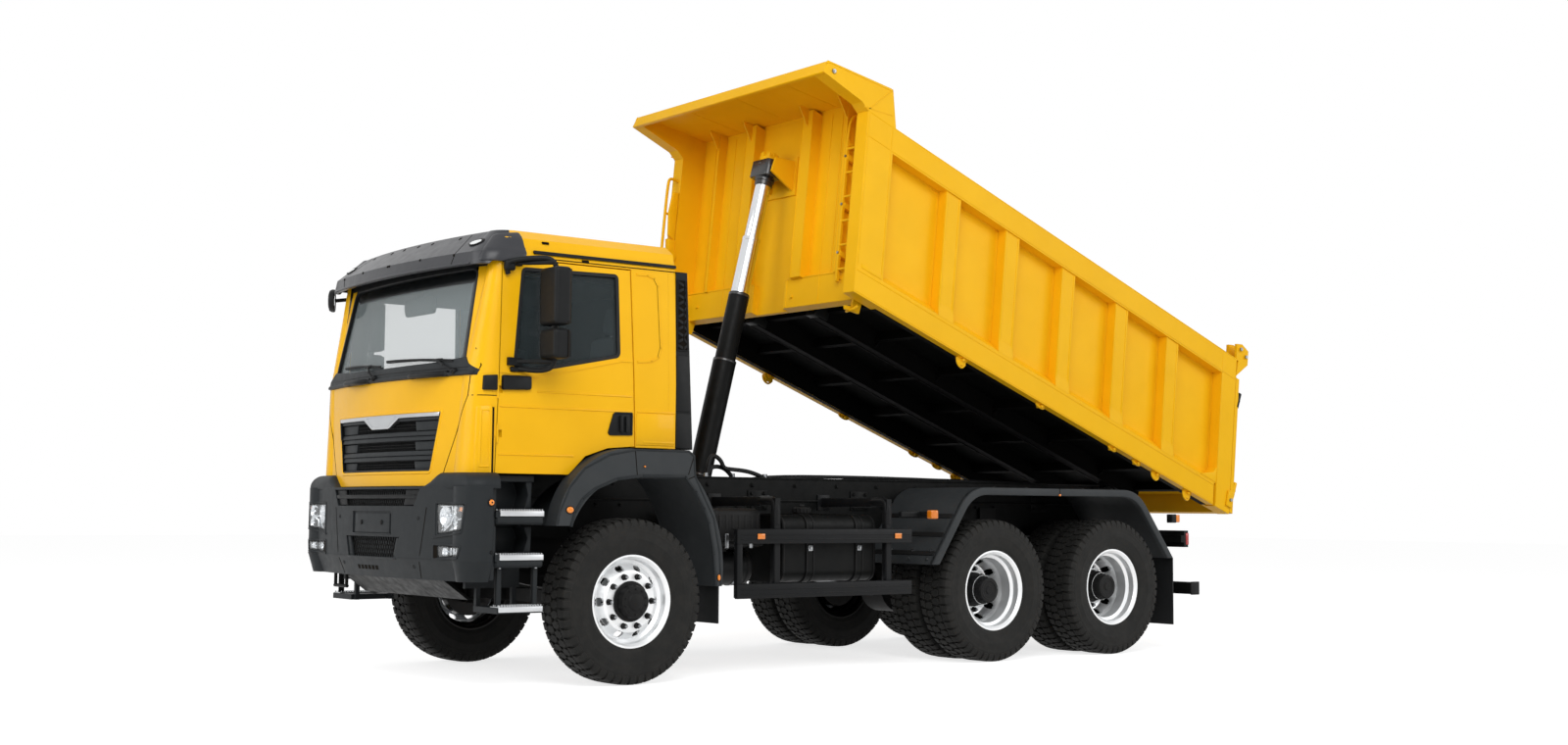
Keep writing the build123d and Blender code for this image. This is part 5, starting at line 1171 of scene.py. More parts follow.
@dataclass
class CabPanels:
    """Seams, pressings and small fittings of the cab's fixed panels."""

    seam: float = 0.0055

    def build(self) -> None:
        """Makes the seams, the corner vanes, the pressings, the gutters and the visor's fittings."""
        self.seams()
        self.vanes()
        self.quarter()
        self.roof()
        self.visor()
        self.louvre()
        self.inside()

    def seams(self) -> None:
        """The dark joints between the front panel, the corner panels and the pillars."""
        form = Form()
        path = [(1.046, 1.985), (1.034, 1.860), (0.920, 1.620), (0.806, 1.380), (0.800, 1.296)]
        for run in strip(path, Along.X, -0.004, 0.0012, self.seam):
            form.both(sliced(run, Along.Z, 0.06), onto=CAB.onto_front)
        for x0, x1 in ((0.992, 1.06), (1.06, 1.10), (1.10, 1.125), (1.125, 1.140)):
            form.both(sliced(slab((x0, -0.004, 1.857), (x1, 0.0012, 1.8625)), Along.X, 0.02),
                      onto=CAB.onto_left)
        for run in strip([(1.085, 1.990), (1.10, 2.05), (1.055, 2.16)], Along.X, -0.004, 0.0012, self.seam):
            form.both(run, onto=CAB.onto_front)
        form.piece("cab_panel_seams", "chassis", [SEAM_SHADOW], slot="rubber")

    def vanes(self) -> None:
        """The raised corner vanes that lead air along the doors, with a near-black strip behind each, painted
        shade for its slot.
        """
        form = Form(CAB.onto_left)
        body = [(1.022, 1.352), (1.122, 1.352), (1.112, 1.795), (1.022, 1.795)]
        form.both(sliced(plate(body, Along.Y, -0.006, 0.012, edge=0.008, corner=0.02), Along.X, 0.018))
        dip = [(1.034, 1.405), (1.102, 1.405), (1.094, 1.770), (1.034, 1.770)]
        form.both(sliced(hoop(dip, Along.Y, 0.010, 0.0155, 0.010, corner=0.012, edge=0.002), Along.X, 0.018))
        # The slot is drawn as a near-black strip: painted shade.
        form.both(slab((1.0115, -0.004, 1.362), (1.0215, 0.0105, 1.785), edge=0.002), 1)
        form.piece("corner_vanes", "chassis", [CAB_PAINT, SEAM_SHADOW], slot="cab_paint")

    def quarter(self) -> None:
        """The pressed panel and the creases behind each door, and the trim bar's fixed half."""
        form = Form(CAB.onto_left)
        press = [(-0.066, 2.722), (-0.150, 2.722), (-0.205, 2.705), (-0.236, 2.655), (-0.256, 2.235),
                 (-0.235, 2.170), (-0.180, 2.140), (-0.070, 2.132)]
        for run in strip(press, Along.Y, -0.002, 0.0045, 0.014):
            form.both(run)
        for z, x0 in ((1.798, -0.066), (1.595, -0.12)):
            form.both(slab((-0.372, -0.002, z - 0.006), (x0, 0.004, z + 0.006), edge=0.003))
        form.both(plate([(-0.366, 1.575), (-0.064, 1.575), (-0.064, 1.786), (-0.366, 1.786)], Along.Y, -0.002,
                        0.003, edge=0.002))
        form.piece("quarter_panel_pressings", "chassis", [CAB_PAINT], slot="cab_paint")
        bars = Form(CAB.onto_left)
        bars.both(sliced(plate([(0.999, 1.893), (1.082, 1.893), (1.078, 1.985), (0.999, 1.990)], Along.Y, 0.0,
                               0.024, edge=0.004, corner=0.006), Along.X, 0.02))
        bars.piece("side_trim_bars_front", "chassis", [PLASTIC_BLACK], slot="plastic_black")

    def roof(self) -> None:
        """Rain gutters over the doors and small clips on the roof."""
        form = Form(CAB.onto_left)
        form.both(sliced(slab((-0.385, 0.0, 2.787), (0.730, 0.016, 2.810), edge=0.005), Along.X, 0.2))
        form.both(slab((-0.385, 0.0, 2.760), (0.800, 0.003, 2.766)), 1)
        for x, z in ((0.631, 2.868), (0.339, 2.772)):
            form.both(slab((x - 0.026, -0.002, z - 0.008), (x + 0.026, 0.010, z + 0.008), edge=0.004), 1)
        form.piece("roof_gutters", "chassis", [PLASTIC_BLACK, SEAM_SHADOW], slot="plastic_black")

    def visor(self) -> None:
        """The visor's rivets, seams and its two marker lamps."""
        form = Form()
        for y, z in ((0.431, 2.776), (0.013, 2.776), (0.822, 2.770), (0.106, 2.915),
                     (0.302, 2.912), (0.640, 2.912)):
            form.both(bar((-0.001, y, z), (0.004, y, z), 0.010, 0.008, 16, edge=0.002), 1,
                      onto=VISOR.onto_front)
        for run in strip([(0.800, 2.702), (0.830, 2.782), (0.742, 2.926)], Along.X, -0.002, 0.0012, 0.0045):
            form.both(sliced(run, Along.Z, 0.03), 1, onto=VISOR.onto_front)
        edge = sliced(slab((0.0, -1.0, 2.698), (0.006, 1.0, 2.712), edge=0.003), Along.Y, 0.08)
        form.add(edge, onto=VISOR.onto_front)
        end = [(0.790, 2.772), (0.830, 2.716), (1.110, 2.716), (1.075, 2.790), (0.965, 2.905), (0.800, 2.928)]
        form.both(sliced(sliced(plate(end, Along.Y, -0.012, 0.010, edge=0.006, corner=0.02), Along.X, 0.025),
                                 Along.Z, 0.03),
                  onto=lambda p: Vector((p.x, max(VISOR.side(p.x, p.z), CAB.side(p.x, p.z)) + p.y, p.z)))
        form.piece("visor_rivets_and_seams", "chassis", [VISOR_GREY, SEAM_SHADOW], slot="plastic_grey")
        lamps = Form(VISOR.onto_front)
        for sign in (-1, 1):
            lamps.add(plate(oval(sign * 0.93, 2.855, 0.070, 0.026), Along.X, -0.004, 0.012, edge=0.005))
            lamps.add(plate(oval(sign * 0.93, 2.855, 0.056, 0.017), Along.X, 0.011, 0.0145, edge=0.002), 1)
        lamps.piece("visor_marker_lamps", "chassis", [PLASTIC_BLACK, LAMP_WHITE], slot="lamp")

    def louvre(self) -> None:
        """The slotted intake on the dark columns behind the cab."""
        form = Form()
        top, foot, rows = 2.715, 2.225, 11

        def rear(z: float) -> float:
            """X of the column's rear edge at one height."""
            return -0.530 + (z - 1.555) / (2.765 - 1.555) * 0.060

        for sign in (-1, 1):
            y = sign * 1.128
            a, b = sorted((y - sign * 0.002, y + sign * 0.007))
            frame_ring = hoop([(rear(foot) + 0.012, foot), (-0.388, foot), (-0.388, top),
                               (rear(top) + 0.012, top)], Along.Y, a, b, 0.008, corner=0.012, edge=0.002)
            form.add(frame_ring)
            for i in range(rows):
                z = foot + 0.030 + (top - foot - 0.060) * i / (rows - 1)
                lean = 0.010 if i % 2 else -0.010
                for k, (x0, x1) in enumerate(((rear(z) + 0.022, -0.448), (-0.440, -0.398))):
                    lift = lean if k else -lean
                    bit = plate([(x0, z - 0.012 + lift), (x1, z - 0.012 - lift), (x1, z + 0.010 - lift),
                                 (x0, z + 0.010 + lift)], Along.Y, a, b, edge=0.002)
                    form.add(bit)
            # A near-black sheet behind the slats: painted shade in the openings between them.
            form.add(slab((rear(2.47) + 0.014, min(y, y + sign * 0.0015), foot + 0.01),
                          (-0.390, max(y, y + sign * 0.0015), top - 0.01)), 1)
            for z0, z1, depth in ((1.562, 1.800, 0.010), (1.812, 2.195, 0.006)):
                c, d = sorted((y - sign * 0.001, y + sign * depth))
                panel = plate([(rear(z0) + 0.010, z0), (-0.386, z0), (-0.386, z1), (rear(z1) + 0.010, z1)],
                              Along.Y, c, d, edge=0.004, corner=0.012)
                form.add(panel)
        form.piece("louvre_columns_relief", "chassis", [PLASTIC_BLACK, SEAM_SHADOW], slot="plastic_black")

    def inside(self) -> None:
        """Lining, curtain bunches and the inner mirror that are seen through the glass."""
        form = Form()
        form.add(slab((-0.300, -0.98, 2.640), (0.86, 0.98, 2.660), edge=0.008))
        form.add(slab((-0.318, -1.040, 1.480), (-0.304, 1.040, 2.655), edge=0.004))
        glass = [(-0.19, 2.52), (-0.16, 2.575), (0.25, 2.575), (0.28, 2.52), (0.25, 2.455), (-0.16, 2.455)]
        form.add(plate(glass, Along.X, 0.975, 0.992, edge=0.006, corner=0.02), 1)
        form.add(bar((0.984, 0.045, 2.560), (0.930, 0.045, 2.690), 0.010), 1)
        for sign in (-1, 1):
            form.add(slab((-0.31, sign * 1.035 - 0.02, 1.50), (-0.28, sign * 1.035 + 0.02, 2.64), edge=0.006))
        form.piece("cab_lining", "chassis", [TRIM_BOARD, PLASTIC_BLACK], slot="fabric")


@dataclass
class Door:
    """What a door carries: the window's rubber, the handle, creases, the trim bar and mirror details."""

    side: str
    sign: int

    def onto(self, spot: Vector) -> Vector:
        """Puts (x, depth, z) on this door's side."""
        return CAB.onto_left(spot) if self.sign > 0 else CAB.onto_right(spot)

    def build(self) -> None:
        """Makes the door's trim."""
        window = [(0.880, 2.038), (0.702, 2.024), (0.066, 2.152), (0.081, 2.709), (0.818, 2.694)]
        seal = Form(self.onto)
        seal.add(hoop(window, Along.Y, -0.054, 0.003, 0.024, corner=0.035, edge=0.003))
        self.finish(seal, f"door_window_seal_{self.side}", [RUBBER, PLASTIC_BLACK], "rubber")
        trim = Form(self.onto)
        trim.add(plate([(0.752, 1.905), (0.962, 1.897), (0.962, 1.992), (0.752, 1.992)], Along.Y, 0.0, 0.026,
                       edge=0.010, corner=0.014))
        cup = [(-0.030, 1.638), (0.150, 1.634), (0.162, 1.650), (0.122, 1.778),
               (0.104, 1.788), (-0.030, 1.790)]
        trim.add(plate(cup, Along.Y, -0.002, 0.004, edge=0.003, corner=0.006))
        trim.add(hoop(cup, Along.Y, 0.002, 0.009, 0.010, corner=0.010, edge=0.003))
        trim.add(slab((0.010, 0.004, 1.655), (0.030, 0.022, 1.765), edge=0.006))
        trim.add(slab((0.050, 0.004, 1.655), (0.075, 0.024, 1.770), edge=0.008))
        self.finish(trim, f"door_handle_and_trim_{self.side}", [PLASTIC_BLACK], "plastic_black")
        press = Form(self.onto)
        press.add(slab((-0.026, -0.002, 1.890), (0.700, 0.0035, 1.902), edge=0.003))
        press.add(slab((-0.026, -0.002, 1.788), (0.970, 0.0045, 1.800), edge=0.0035))
        press.add(slab((0.420, -0.002, 1.484), (0.975, 0.004, 1.496), edge=0.003))
        under = [(0.972, 2.012), (0.700, 1.990), (0.560, 2.020), (0.060, 2.128), (-0.026, 2.130)]
        for run in strip(under, Along.Y, -0.002, 0.0035, 0.012):
            press.add(run)
        self.finish(press, f"door_pressings_{self.side}", [CAB_PAINT], "cab_paint")
        self.mirror()

    def finish(self, form: Form, name: str, finishes: Sequence, slot: str) -> None:
        """Makes a piece of the form, its faces outwards on either side."""
        if self.sign < 0:
            bmesh.ops.reverse_faces(form.mesh, faces=form.mesh.faces)
        form.piece(name, f"door_{self.side}", finishes, slot=slot)

    def mirror(self) -> None:
        """The mirrors' glasses, seams, feet and bent arms."""
        form = Form()
        flip = Matrix.Scale(self.sign, 4, (0, 1, 0))
        for low, high in ((2.322, 2.668), (2.107, 2.273)):
            form.add(slab((0.625, 1.236, low), (0.634, 1.424, high), edge=0.004, steps=2), 0, flip)
            form.add(slab((0.6235, 1.243, low + 0.007), (0.6265, 1.417, high - 0.007), edge=0.001), 1, flip)
            form.add(hoop([(1.222, low - 0.004), (1.438, low - 0.004), (1.438, high + 0.004),
                           (1.222, high + 0.004)], Along.X, 0.652, 0.657, 0.004), 2, flip)
        top = [(0.925, 1.135, 2.640), (0.955, 1.150, 2.705), (0.890, 1.175, 2.728), (0.800, 1.235, 2.742),
               (0.690, 1.300, 2.742), (0.690, 1.330, 2.690)]
        form.add(pipe(top, 0.017, sides=4), 0, flip)
        form.add(slab((0.885, 1.128, 2.660), (0.960, 1.168, 2.726), edge=0.014, steps=3), 0, flip)
        low = [(0.690, 1.330, 2.110), (0.690, 1.325, 2.045), (0.730, 1.260, 2.020), (0.800, 1.190, 2.025),
               (0.850, 1.150, 2.035)]
        form.add(pipe(low, 0.015, sides=4), 0, flip)
        form.add(slab((0.800, 1.135, 2.014), (0.905, 1.160, 2.046), edge=0.010, steps=3), 0, flip)
        form.add(bar((0.690, 1.330, 2.262), (0.690, 1.330, 2.322), 0.022, sides=20, edge=0.003), 0, flip)
        form.piece(f"mirror_details_{self.side}", f"door_{self.side}",
                   [PLASTIC_BLACK, MIRROR_GLASS, SEAM_SHADOW], slot="plastic_black")


@dataclass
class FrontMirror:
    """The round mirror that looks down at the bumper from the far pillar."""

    def build(self) -> None:
        """Makes the housing, its glass and its arm."""
        form = Form()
        turn = Matrix.Translation((1.080, -1.190, 2.655)) @ Matrix.Rotation(math.radians(152), 4, "Z")
        shell = [(-0.020, 0.0005), (-0.020, 0.050), (-0.012, 0.078), (0.006, 0.088), (0.022, 0.088),
                 (0.028, 0.083), (0.026, 0.079), (0.020, 0.0005)]
        body = lathe(shell, 40)
        bmesh.ops.scale(body, verts=body.verts, vec=(1.15, 1, 0.95))
        form.add(body, 0, turn @ Matrix.Rotation(math.radians(-90), 4, "Z"))
        glass = lathe([(0.0205, 0.0005), (0.0230, 0.040), (0.0245, 0.078)], 40)
        bmesh.ops.scale(glass, verts=glass.verts, vec=(1.15, 1, 0.95))
        form.add(glass, 1, turn @ Matrix.Rotation(math.radians(-90), 4, "Z"))
        form.add(pipe([(1.060, -1.170, 2.655), (0.990, -1.150, 2.665), (0.945, -1.125, 2.672)], 0.014))
        form.piece("front_view_mirror", "chassis", [PLASTIC_BLACK, MIRROR_GLASS], slot="plastic_black")


# ---------------------------------------------------------------- bumper, lamps and steps


def placed(part: bmesh.types.BMesh, where: Matrix) -> bmesh.types.BMesh:
    """Moves a shape before it is laid on a surface.

    Args:
        part: the shape.
        where: the matrix that moves it.

    Returns:
        The same shape.
    """
    part.transform(where)
    return part


def facing(y: float, z: float, depth: float = 0.0) -> Matrix:
    """Turns a lathed shape's axis to the front and puts it at (depth, y, z).

    Args:
        y: the place across the truck.
        z: the height.
        depth: the distance out from the surface.

    Returns:
        The matrix.
    """
    return Matrix.Translation((depth, y, z)) @ Matrix.Rotation(math.radians(-90), 4, "Z")


@dataclass
class Bumper:
    """What the bumper's shell carries. Points are (y, z), depths are from its skin."""

    seam: float = 0.006
    screws: tuple = ((-0.529, 1.086), (0.629, 1.082), (-0.468, 0.773), (0.560, 0.770))
    marker: tuple = (1.072, 1.185)

    def build(self) -> None:
        """Makes the shoulders, the seams, the plate's carrier, the intakes and the small fittings."""
        self.shoulders()
        self.skin()
        self.upper_intake()
        self.lower_intake()
        self.markers()

    def shoulders(self) -> None:
        """The bumper's raised corners, rounded over from its top edge to the cab's lower panel."""
        form = Form()
        low, rise, steps = 1.283, 0.090, 6
        stations = []
        for y, share in ((0.655, 0.0), (0.690, 0.14), (0.740, 0.50), (0.790, 0.88),
                         (0.815, 1.0), (0.870, 1.0)):
            stations.append((self.spot(BUMPER, y), self.spot(CAB, y), share))
        for i in range(9):
            stations.append((self.corner(BUMPER, 1 - i / 8), self.corner(CAB, 1 - i / 8), 1.0))
        side = self.corner(BUMPER, 0.0), self.corner(CAB, 0.0)
        stations.append((side[0] - Vector((0.078, 0)), side[1] - Vector((0.010, 0)), 1.0))
        for sign in (1, -1):
            part = bmesh.new()
            loops = []
            for outer, inner, share in stations:
                away = (outer - inner).normalized()
                lip = inner + away * 0.014
                loop = []
                for k in range(steps + 1):
                    angle = math.radians(90) * k / steps
                    place = outer.lerp(lip, 1 - math.cos(angle))
                    loop.append((place, low + max(0.002, rise * share) * math.sin(angle)))
                loop.append((inner - away * 0.010, low + max(0.002, rise * share)))
                loop.append((inner - away * 0.010, low - 0.010))
                loop.append((outer - away * 0.004, low - 0.010))
                loops.append([part.verts.new((p.x, sign * p.y, z)) for p, z in loop])
            for a, b in zip(loops, loops[1:]):
                for k in range(len(a)):
                    after = (k + 1) % len(a)
                    part.faces.new((a[k], a[after], b[after], b[k]))
            part.faces.new(loops[0])
            part.faces.new(loops[-1])
            bmesh.ops.recalc_face_normals(part, faces=part.faces)
            form.add(part)
        form.piece("bumper_shoulders", "chassis", [PLASTIC_GREY], slot="plastic_grey")

    def spot(self, skin: Skin, y: float) -> Vector:
        """A point of a skin's front at the shoulders' foot, as (x, y)."""
        return Vector((skin.front(y, 1.290), y))

    def corner(self, skin: Skin, share: float) -> Vector:
        """A point of a skin's rounded corner, from its side at 0 to its front at 1, as (x, y)."""
        _, side_x, corner_x, corner_y, _, half = skin.row(1.290)
        drop = half - corner_y
        radius = ((corner_x - side_x) ** 2 + drop**2) / (2 * drop)
        angle = math.asin(min(1.0, (corner_x - side_x) / radius)) * share
        return Vector((side_x + radius * math.sin(angle), half - radius + radius * math.cos(angle)))

    def skin(self) -> None:
        """Seams between the middle and the corners, the plate's carrier and screws."""
        form = Form(BUMPER.onto_front)
        for path in (((0.722, 1.150), (0.668, 0.900), (0.612, 0.700)),
                     ((-0.612, 1.150), (-0.560, 0.900), (-0.520, 0.700))):
            for run in strip(path, Along.X, -0.006, 0.0012, self.seam):
                form.add(sliced(run, Along.Z, 0.05), 1)
        carrier = [(-0.255, 0.982), (0.262, 0.982), (0.262, 1.112), (-0.255, 1.112)]
        form.add(sliced(plate(carrier, Along.X, -0.011, -0.003, edge=0.003, corner=0.006), Along.Y, 0.06))
        lip = [(-0.285, 0.972), (0.285, 0.972), (0.285, 0.980), (-0.285, 0.980)]
        form.add(sliced(plate(lip, Along.X, -0.006, 0.003, edge=0.002), Along.Y, 0.06))
        for y, z in ((-0.150, 1.052), (0.152, 1.052)):
            head = [(-0.002, 0.0005), (-0.002, 0.016), (0.003, 0.016), (0.006, 0.010), (0.006, 0.0005)]
            form.add(placed(lathe(head, 18), facing(y, z)), 2)
        for y, z in self.screws:
            cup = [(-0.001, 0.0005), (-0.001, 0.013), (0.002, 0.013), (0.002, 0.008), (-0.0005, 0.0065),
                   (-0.0005, 0.0005)]
            form.add(placed(lathe(cup, 18), facing(y, z)), 2)
        # Six small slots drawn as near-black plates: painted shade in their openings.
        for i in range(6):
            y = -0.235 + i * 0.055
            slot_outline = [(y, 0.738), (y + 0.036, 0.738), (y + 0.040, 0.766), (y + 0.004, 0.766)]
            form.add(plate(slot_outline, Along.X, -0.004, 0.0012), 1)
        for run in strip([(-1.20, 0.822), (1.20, 0.822)], Along.X, -0.004, 0.0025, 0.007):
            form.add(sliced(run, Along.Y, 0.05))
        form.piece("bumper_seams_and_plate_carrier", "chassis", [PLASTIC_GREY, SEAM_SHADOW, CAST],
                   slot="plastic_grey")

    def mesh(self, form: Form, half: Callable[[float], float], low: float, high: float, pitch: float) -> None:
        """Slanting ribs both ways across an opening, as the moulded mesh in an intake.

        Args:
            form: the piece that takes them.
            half: the opening's half width at a height.
            low: the opening's foot.
            high: the opening's top.
            pitch: the distance between ribs.
        """
        count = int(2 * half(high) / pitch)
        for i in range(-count // 2, count // 2 + 1):
            for lean in (-1, 1):
                y = i * pitch
                shift = lean * (high - low) * 0.55
                run = strip([(y - shift / 2, low), (y + shift / 2, high)], Along.X, -0.030, -0.024, 0.0035)[0]
                for vert in run.verts:
                    reach = half(vert.co.z)
                    vert.co.y = min(max(vert.co.y, -reach), reach)
                form.add(run, 1, onto=BUMPER.onto_front)

    def upper_intake(self) -> None:
        """The dark recess under the cab's lip, with a beam across it and end blocks."""
        form = Form(BUMPER.onto_front)
        low, high = 1.163, 1.268
        self.mesh(form, lambda z: 0.42, low, high, 0.030)
        beam = [(-0.600, 1.208), (0.600, 1.208), (0.612, 1.232), (-0.612, 1.232)]
        form.add(sliced(plate(beam, Along.X, -0.029, -0.002, edge=0.005), Along.Y, 0.06))
        rim = [(-0.585, 1.2285), (0.585, 1.2285), (0.585, 1.2335), (-0.585, 1.2335)]
        form.add(sliced(plate(rim, Along.X, -0.004, 0.001, edge=0.001), Along.Y, 0.06))
        for sign in (-1, 1):
            block_outline = [(sign * 0.425, low), (sign * 0.572, low), (sign * 0.630, high),
                             (sign * 0.450, high)]
            form.add(sliced(plate(block_outline, Along.X, -0.029, -0.012, edge=0.006), Along.Y, 0.06))
        form.piece("upper_intake_beam", "chassis", [PLASTIC_BLACK, CAST], slot="plastic_black")

    def lower_intake(self) -> None:
        """The intake in the bumper's middle: a mesh between two slanting cheeks."""
        form = Form(BUMPER.onto_front)

        def half(z: float) -> float:
            """Half the mesh's width at one height."""
            return 0.300 + (z - 0.822) * 0.30

        self.mesh(form, half, 0.823, 0.955, 0.034)
        for sign in (-1, 1):
            cheek = [(sign * 0.305, 0.822), (sign * 0.350, 0.822), (sign * 0.400, 0.957),
                     (sign * 0.345, 0.957)]
            form.add(plate(cheek, Along.X, -0.029, -0.008, edge=0.008))
        lip = [(-0.360, 0.812), (0.360, 0.812), (0.366, 0.824), (-0.366, 0.824)]
        form.add(sliced(plate(lip, Along.X, -0.024, 0.005, edge=0.004), Along.Y, 0.06))
        form.piece("lower_intake_mesh", "chassis", [PLASTIC_GREY, CAST], slot="plastic_grey")

    def markers(self) -> None:
        """A round amber marker and a dark screw on each side."""
        form = Form(BUMPER.onto_left)
        x, z = self.marker
        ring = [(0.0, 0.0005), (0.0, 0.026), (0.005, 0.025), (0.005, 0.0005)]
        lens = [(0.004, 0.0005), (0.004, 0.019), (0.009, 0.016), (0.011, 0.006), (0.011, 0.0005)]
        dot = [(0.010, 0.0005), (0.010, 0.006), (0.0125, 0.005), (0.0125, 0.0005)]
        for profile, number in ((ring, 0), (lens, 1), (dot, 0)):
            form.both(placed(lathe(profile, 24), Matrix.Translation((x, 0, z))), number)
        form.both(placed(lathe([(0.0, 0.0005), (0.0, 0.014), (0.006, 0.010), (0.006, 0.0005)], 6),
                         Matrix.Translation((1.065, 0, 0.876))))
        form.piece("bumper_side_markers", "chassis", [PLASTIC_BLACK, LAMP_AMBER], slot="lamp")


@dataclass
class Headlamps:
    """The lamps in the bumper: black housings, bright bowls and clear lenses. Points are (y, z)."""

    main: tuple = ((0.843, 1.172), (1.160, 1.167), (1.136, 1.013), (0.854, 0.989))
    fog: tuple = ((0.853, 0.910), (1.127, 0.906), (1.108, 0.852), (0.864, 0.840))
    bowls: tuple = ((0.925, 1.098, 0.064), (1.062, 1.120, 0.048), (1.075, 1.037, 0.036),
                    (0.925, 0.875, 0.028), (1.045, 0.878, 0.026))

    def build(self) -> None:
        """Makes the housings with their bowls, and the lenses."""
        self.housings()
        self.lenses()

    def bowl(self, form: Form, y: float, z: float, radius: float) -> None:
        """A bright reflector with its bulb's cap, open to the front.

        Args:
            form: the piece that takes it.
            y: the middle, across.
            z: the middle, up.
            radius: the reflector's radius.
        """
        shell = [(-0.026, 0.0005), (-0.026, radius * 0.30), (-0.021, radius * 0.62), (-0.012, radius * 0.88),
                 (-0.007, radius), (-0.010, radius), (-0.015, radius * 0.88), (-0.024, radius * 0.62),
                 (-0.029, radius * 0.28), (-0.029, 0.0005)]
        cap = [(-0.027, 0.0005), (-0.027, radius * 0.20), (-0.014, radius * 0.18), (-0.011, radius * 0.10),
               (-0.011, 0.0005)]
        form.both(placed(lathe(shell, 36), facing(y, z)), 1, onto=BUMPER.onto_front)
        form.both(placed(lathe(cap, 20), facing(y, z)), 1, onto=BUMPER.onto_front)

    def housings(self) -> None:
        """The two lamp bodies a side, their facets, bowls and the amber turn lamp."""
        form = Form(BUMPER.onto_front)
        for outline in (self.main, self.fog):
            form.both(sliced(plate(outline, Along.X, -0.0295, -0.024), Along.Y, 0.05))
            form.both(sliced(hoop(outline, Along.X, -0.026, -0.002, 0.008, corner=0.014), Along.Y, 0.05), 2)
        for y, z, radius in self.bowls:
            self.bowl(form, y, z, radius)
        facets = (((0.990, 1.168), (0.998, 1.090), (0.978, 1.050), (0.900, 1.000)),
                  ((0.998, 1.090), (1.060, 1.075), (1.140, 1.082)),
                  ((0.860, 1.165), (0.905, 1.160), (0.990, 1.166)),
                  ((1.010, 1.000), (1.020, 1.060), (1.060, 1.078)), ((0.985, 0.905), (0.985, 0.848)),
                  ((1.090, 0.905), (1.082, 0.850)))
        for path in facets:
            for run in soft_strip(path, Along.X, -0.026, -0.007, 0.012, 0.0035):
                form.both(run, 1)
        for i in range(7):
            z = 1.004 + i * 0.022
            flute = [(0.868, z), (0.880, z), (0.884, z + 0.014), (0.870, z + 0.014)]
            form.both(plate(flute, Along.X, -0.024, -0.014, edge=0.003), 1)
        amber = [(-0.020, 0.0005), (-0.020, 0.016), (-0.012, 0.013), (-0.009, 0.0005)]
        form.both(placed(lathe(amber, 20), facing(1.122, 1.142)), 3)
        form.piece("headlamp_bodies", "chassis", [LAMP_BOWL, LAMP_BOWL, PLASTIC_BLACK, LAMP_AMBER],
                   slot="lamp", replaces=["headlamps"])

    def lenses(self) -> None:
        """The clear covers, with a black bezel round each lamp's pocket."""
        form = Form(BUMPER.onto_front)
        for outline in (self.main, self.fog):
            form.both(sliced(plate(outline, Along.X, -0.0045, -0.0015, corner=0.014, edge=0.001), Along.Y,
                             0.04))
        clear = glass_material("moulded_clear_polycarbonate", "#F2F5F7", 0.12)
        form.piece("headlamp_lenses", "chassis", [clear], slot="glass")
        bezel = Form(BUMPER.onto_front)
        wide = [(0.818, 1.190), (1.180, 1.186), (1.152, 0.992), (0.818, 0.958)]
        wide_fog = [(0.800, 0.926), (1.150, 0.922), (1.118, 0.836), (0.800, 0.818)]
        for outline, band in ((wide, 0.014), (wide_fog, 0.012)):
            bezel.both(sliced(hoop(outline, Along.X, -0.004, 0.004, band, corner=0.02, edge=0.003), Along.Y,
                              0.04))
        for sign_path in (((0.806, 0.962), (0.836, 0.964), (1.140, 0.996)),
                          ((0.800, 0.822), (0.860, 0.826), (1.112, 0.838))):
            for run in strip(sign_path, Along.X, -0.002, 0.0065, 0.008):
                bezel.both(sliced(run, Along.Y, 0.04), 1)
        dark = [(0.806, 0.918), (0.846, 0.916), (0.858, 0.838), (0.806, 0.828)]
        bezel.both(plate(dark, Along.X, -0.001, 0.0012), 2)
        bezel.piece("headlamp_bezels", "chassis", [PLASTIC_GREY, PLASTIC_GREY, SEAM_SHADOW],
                    slot="plastic_grey")


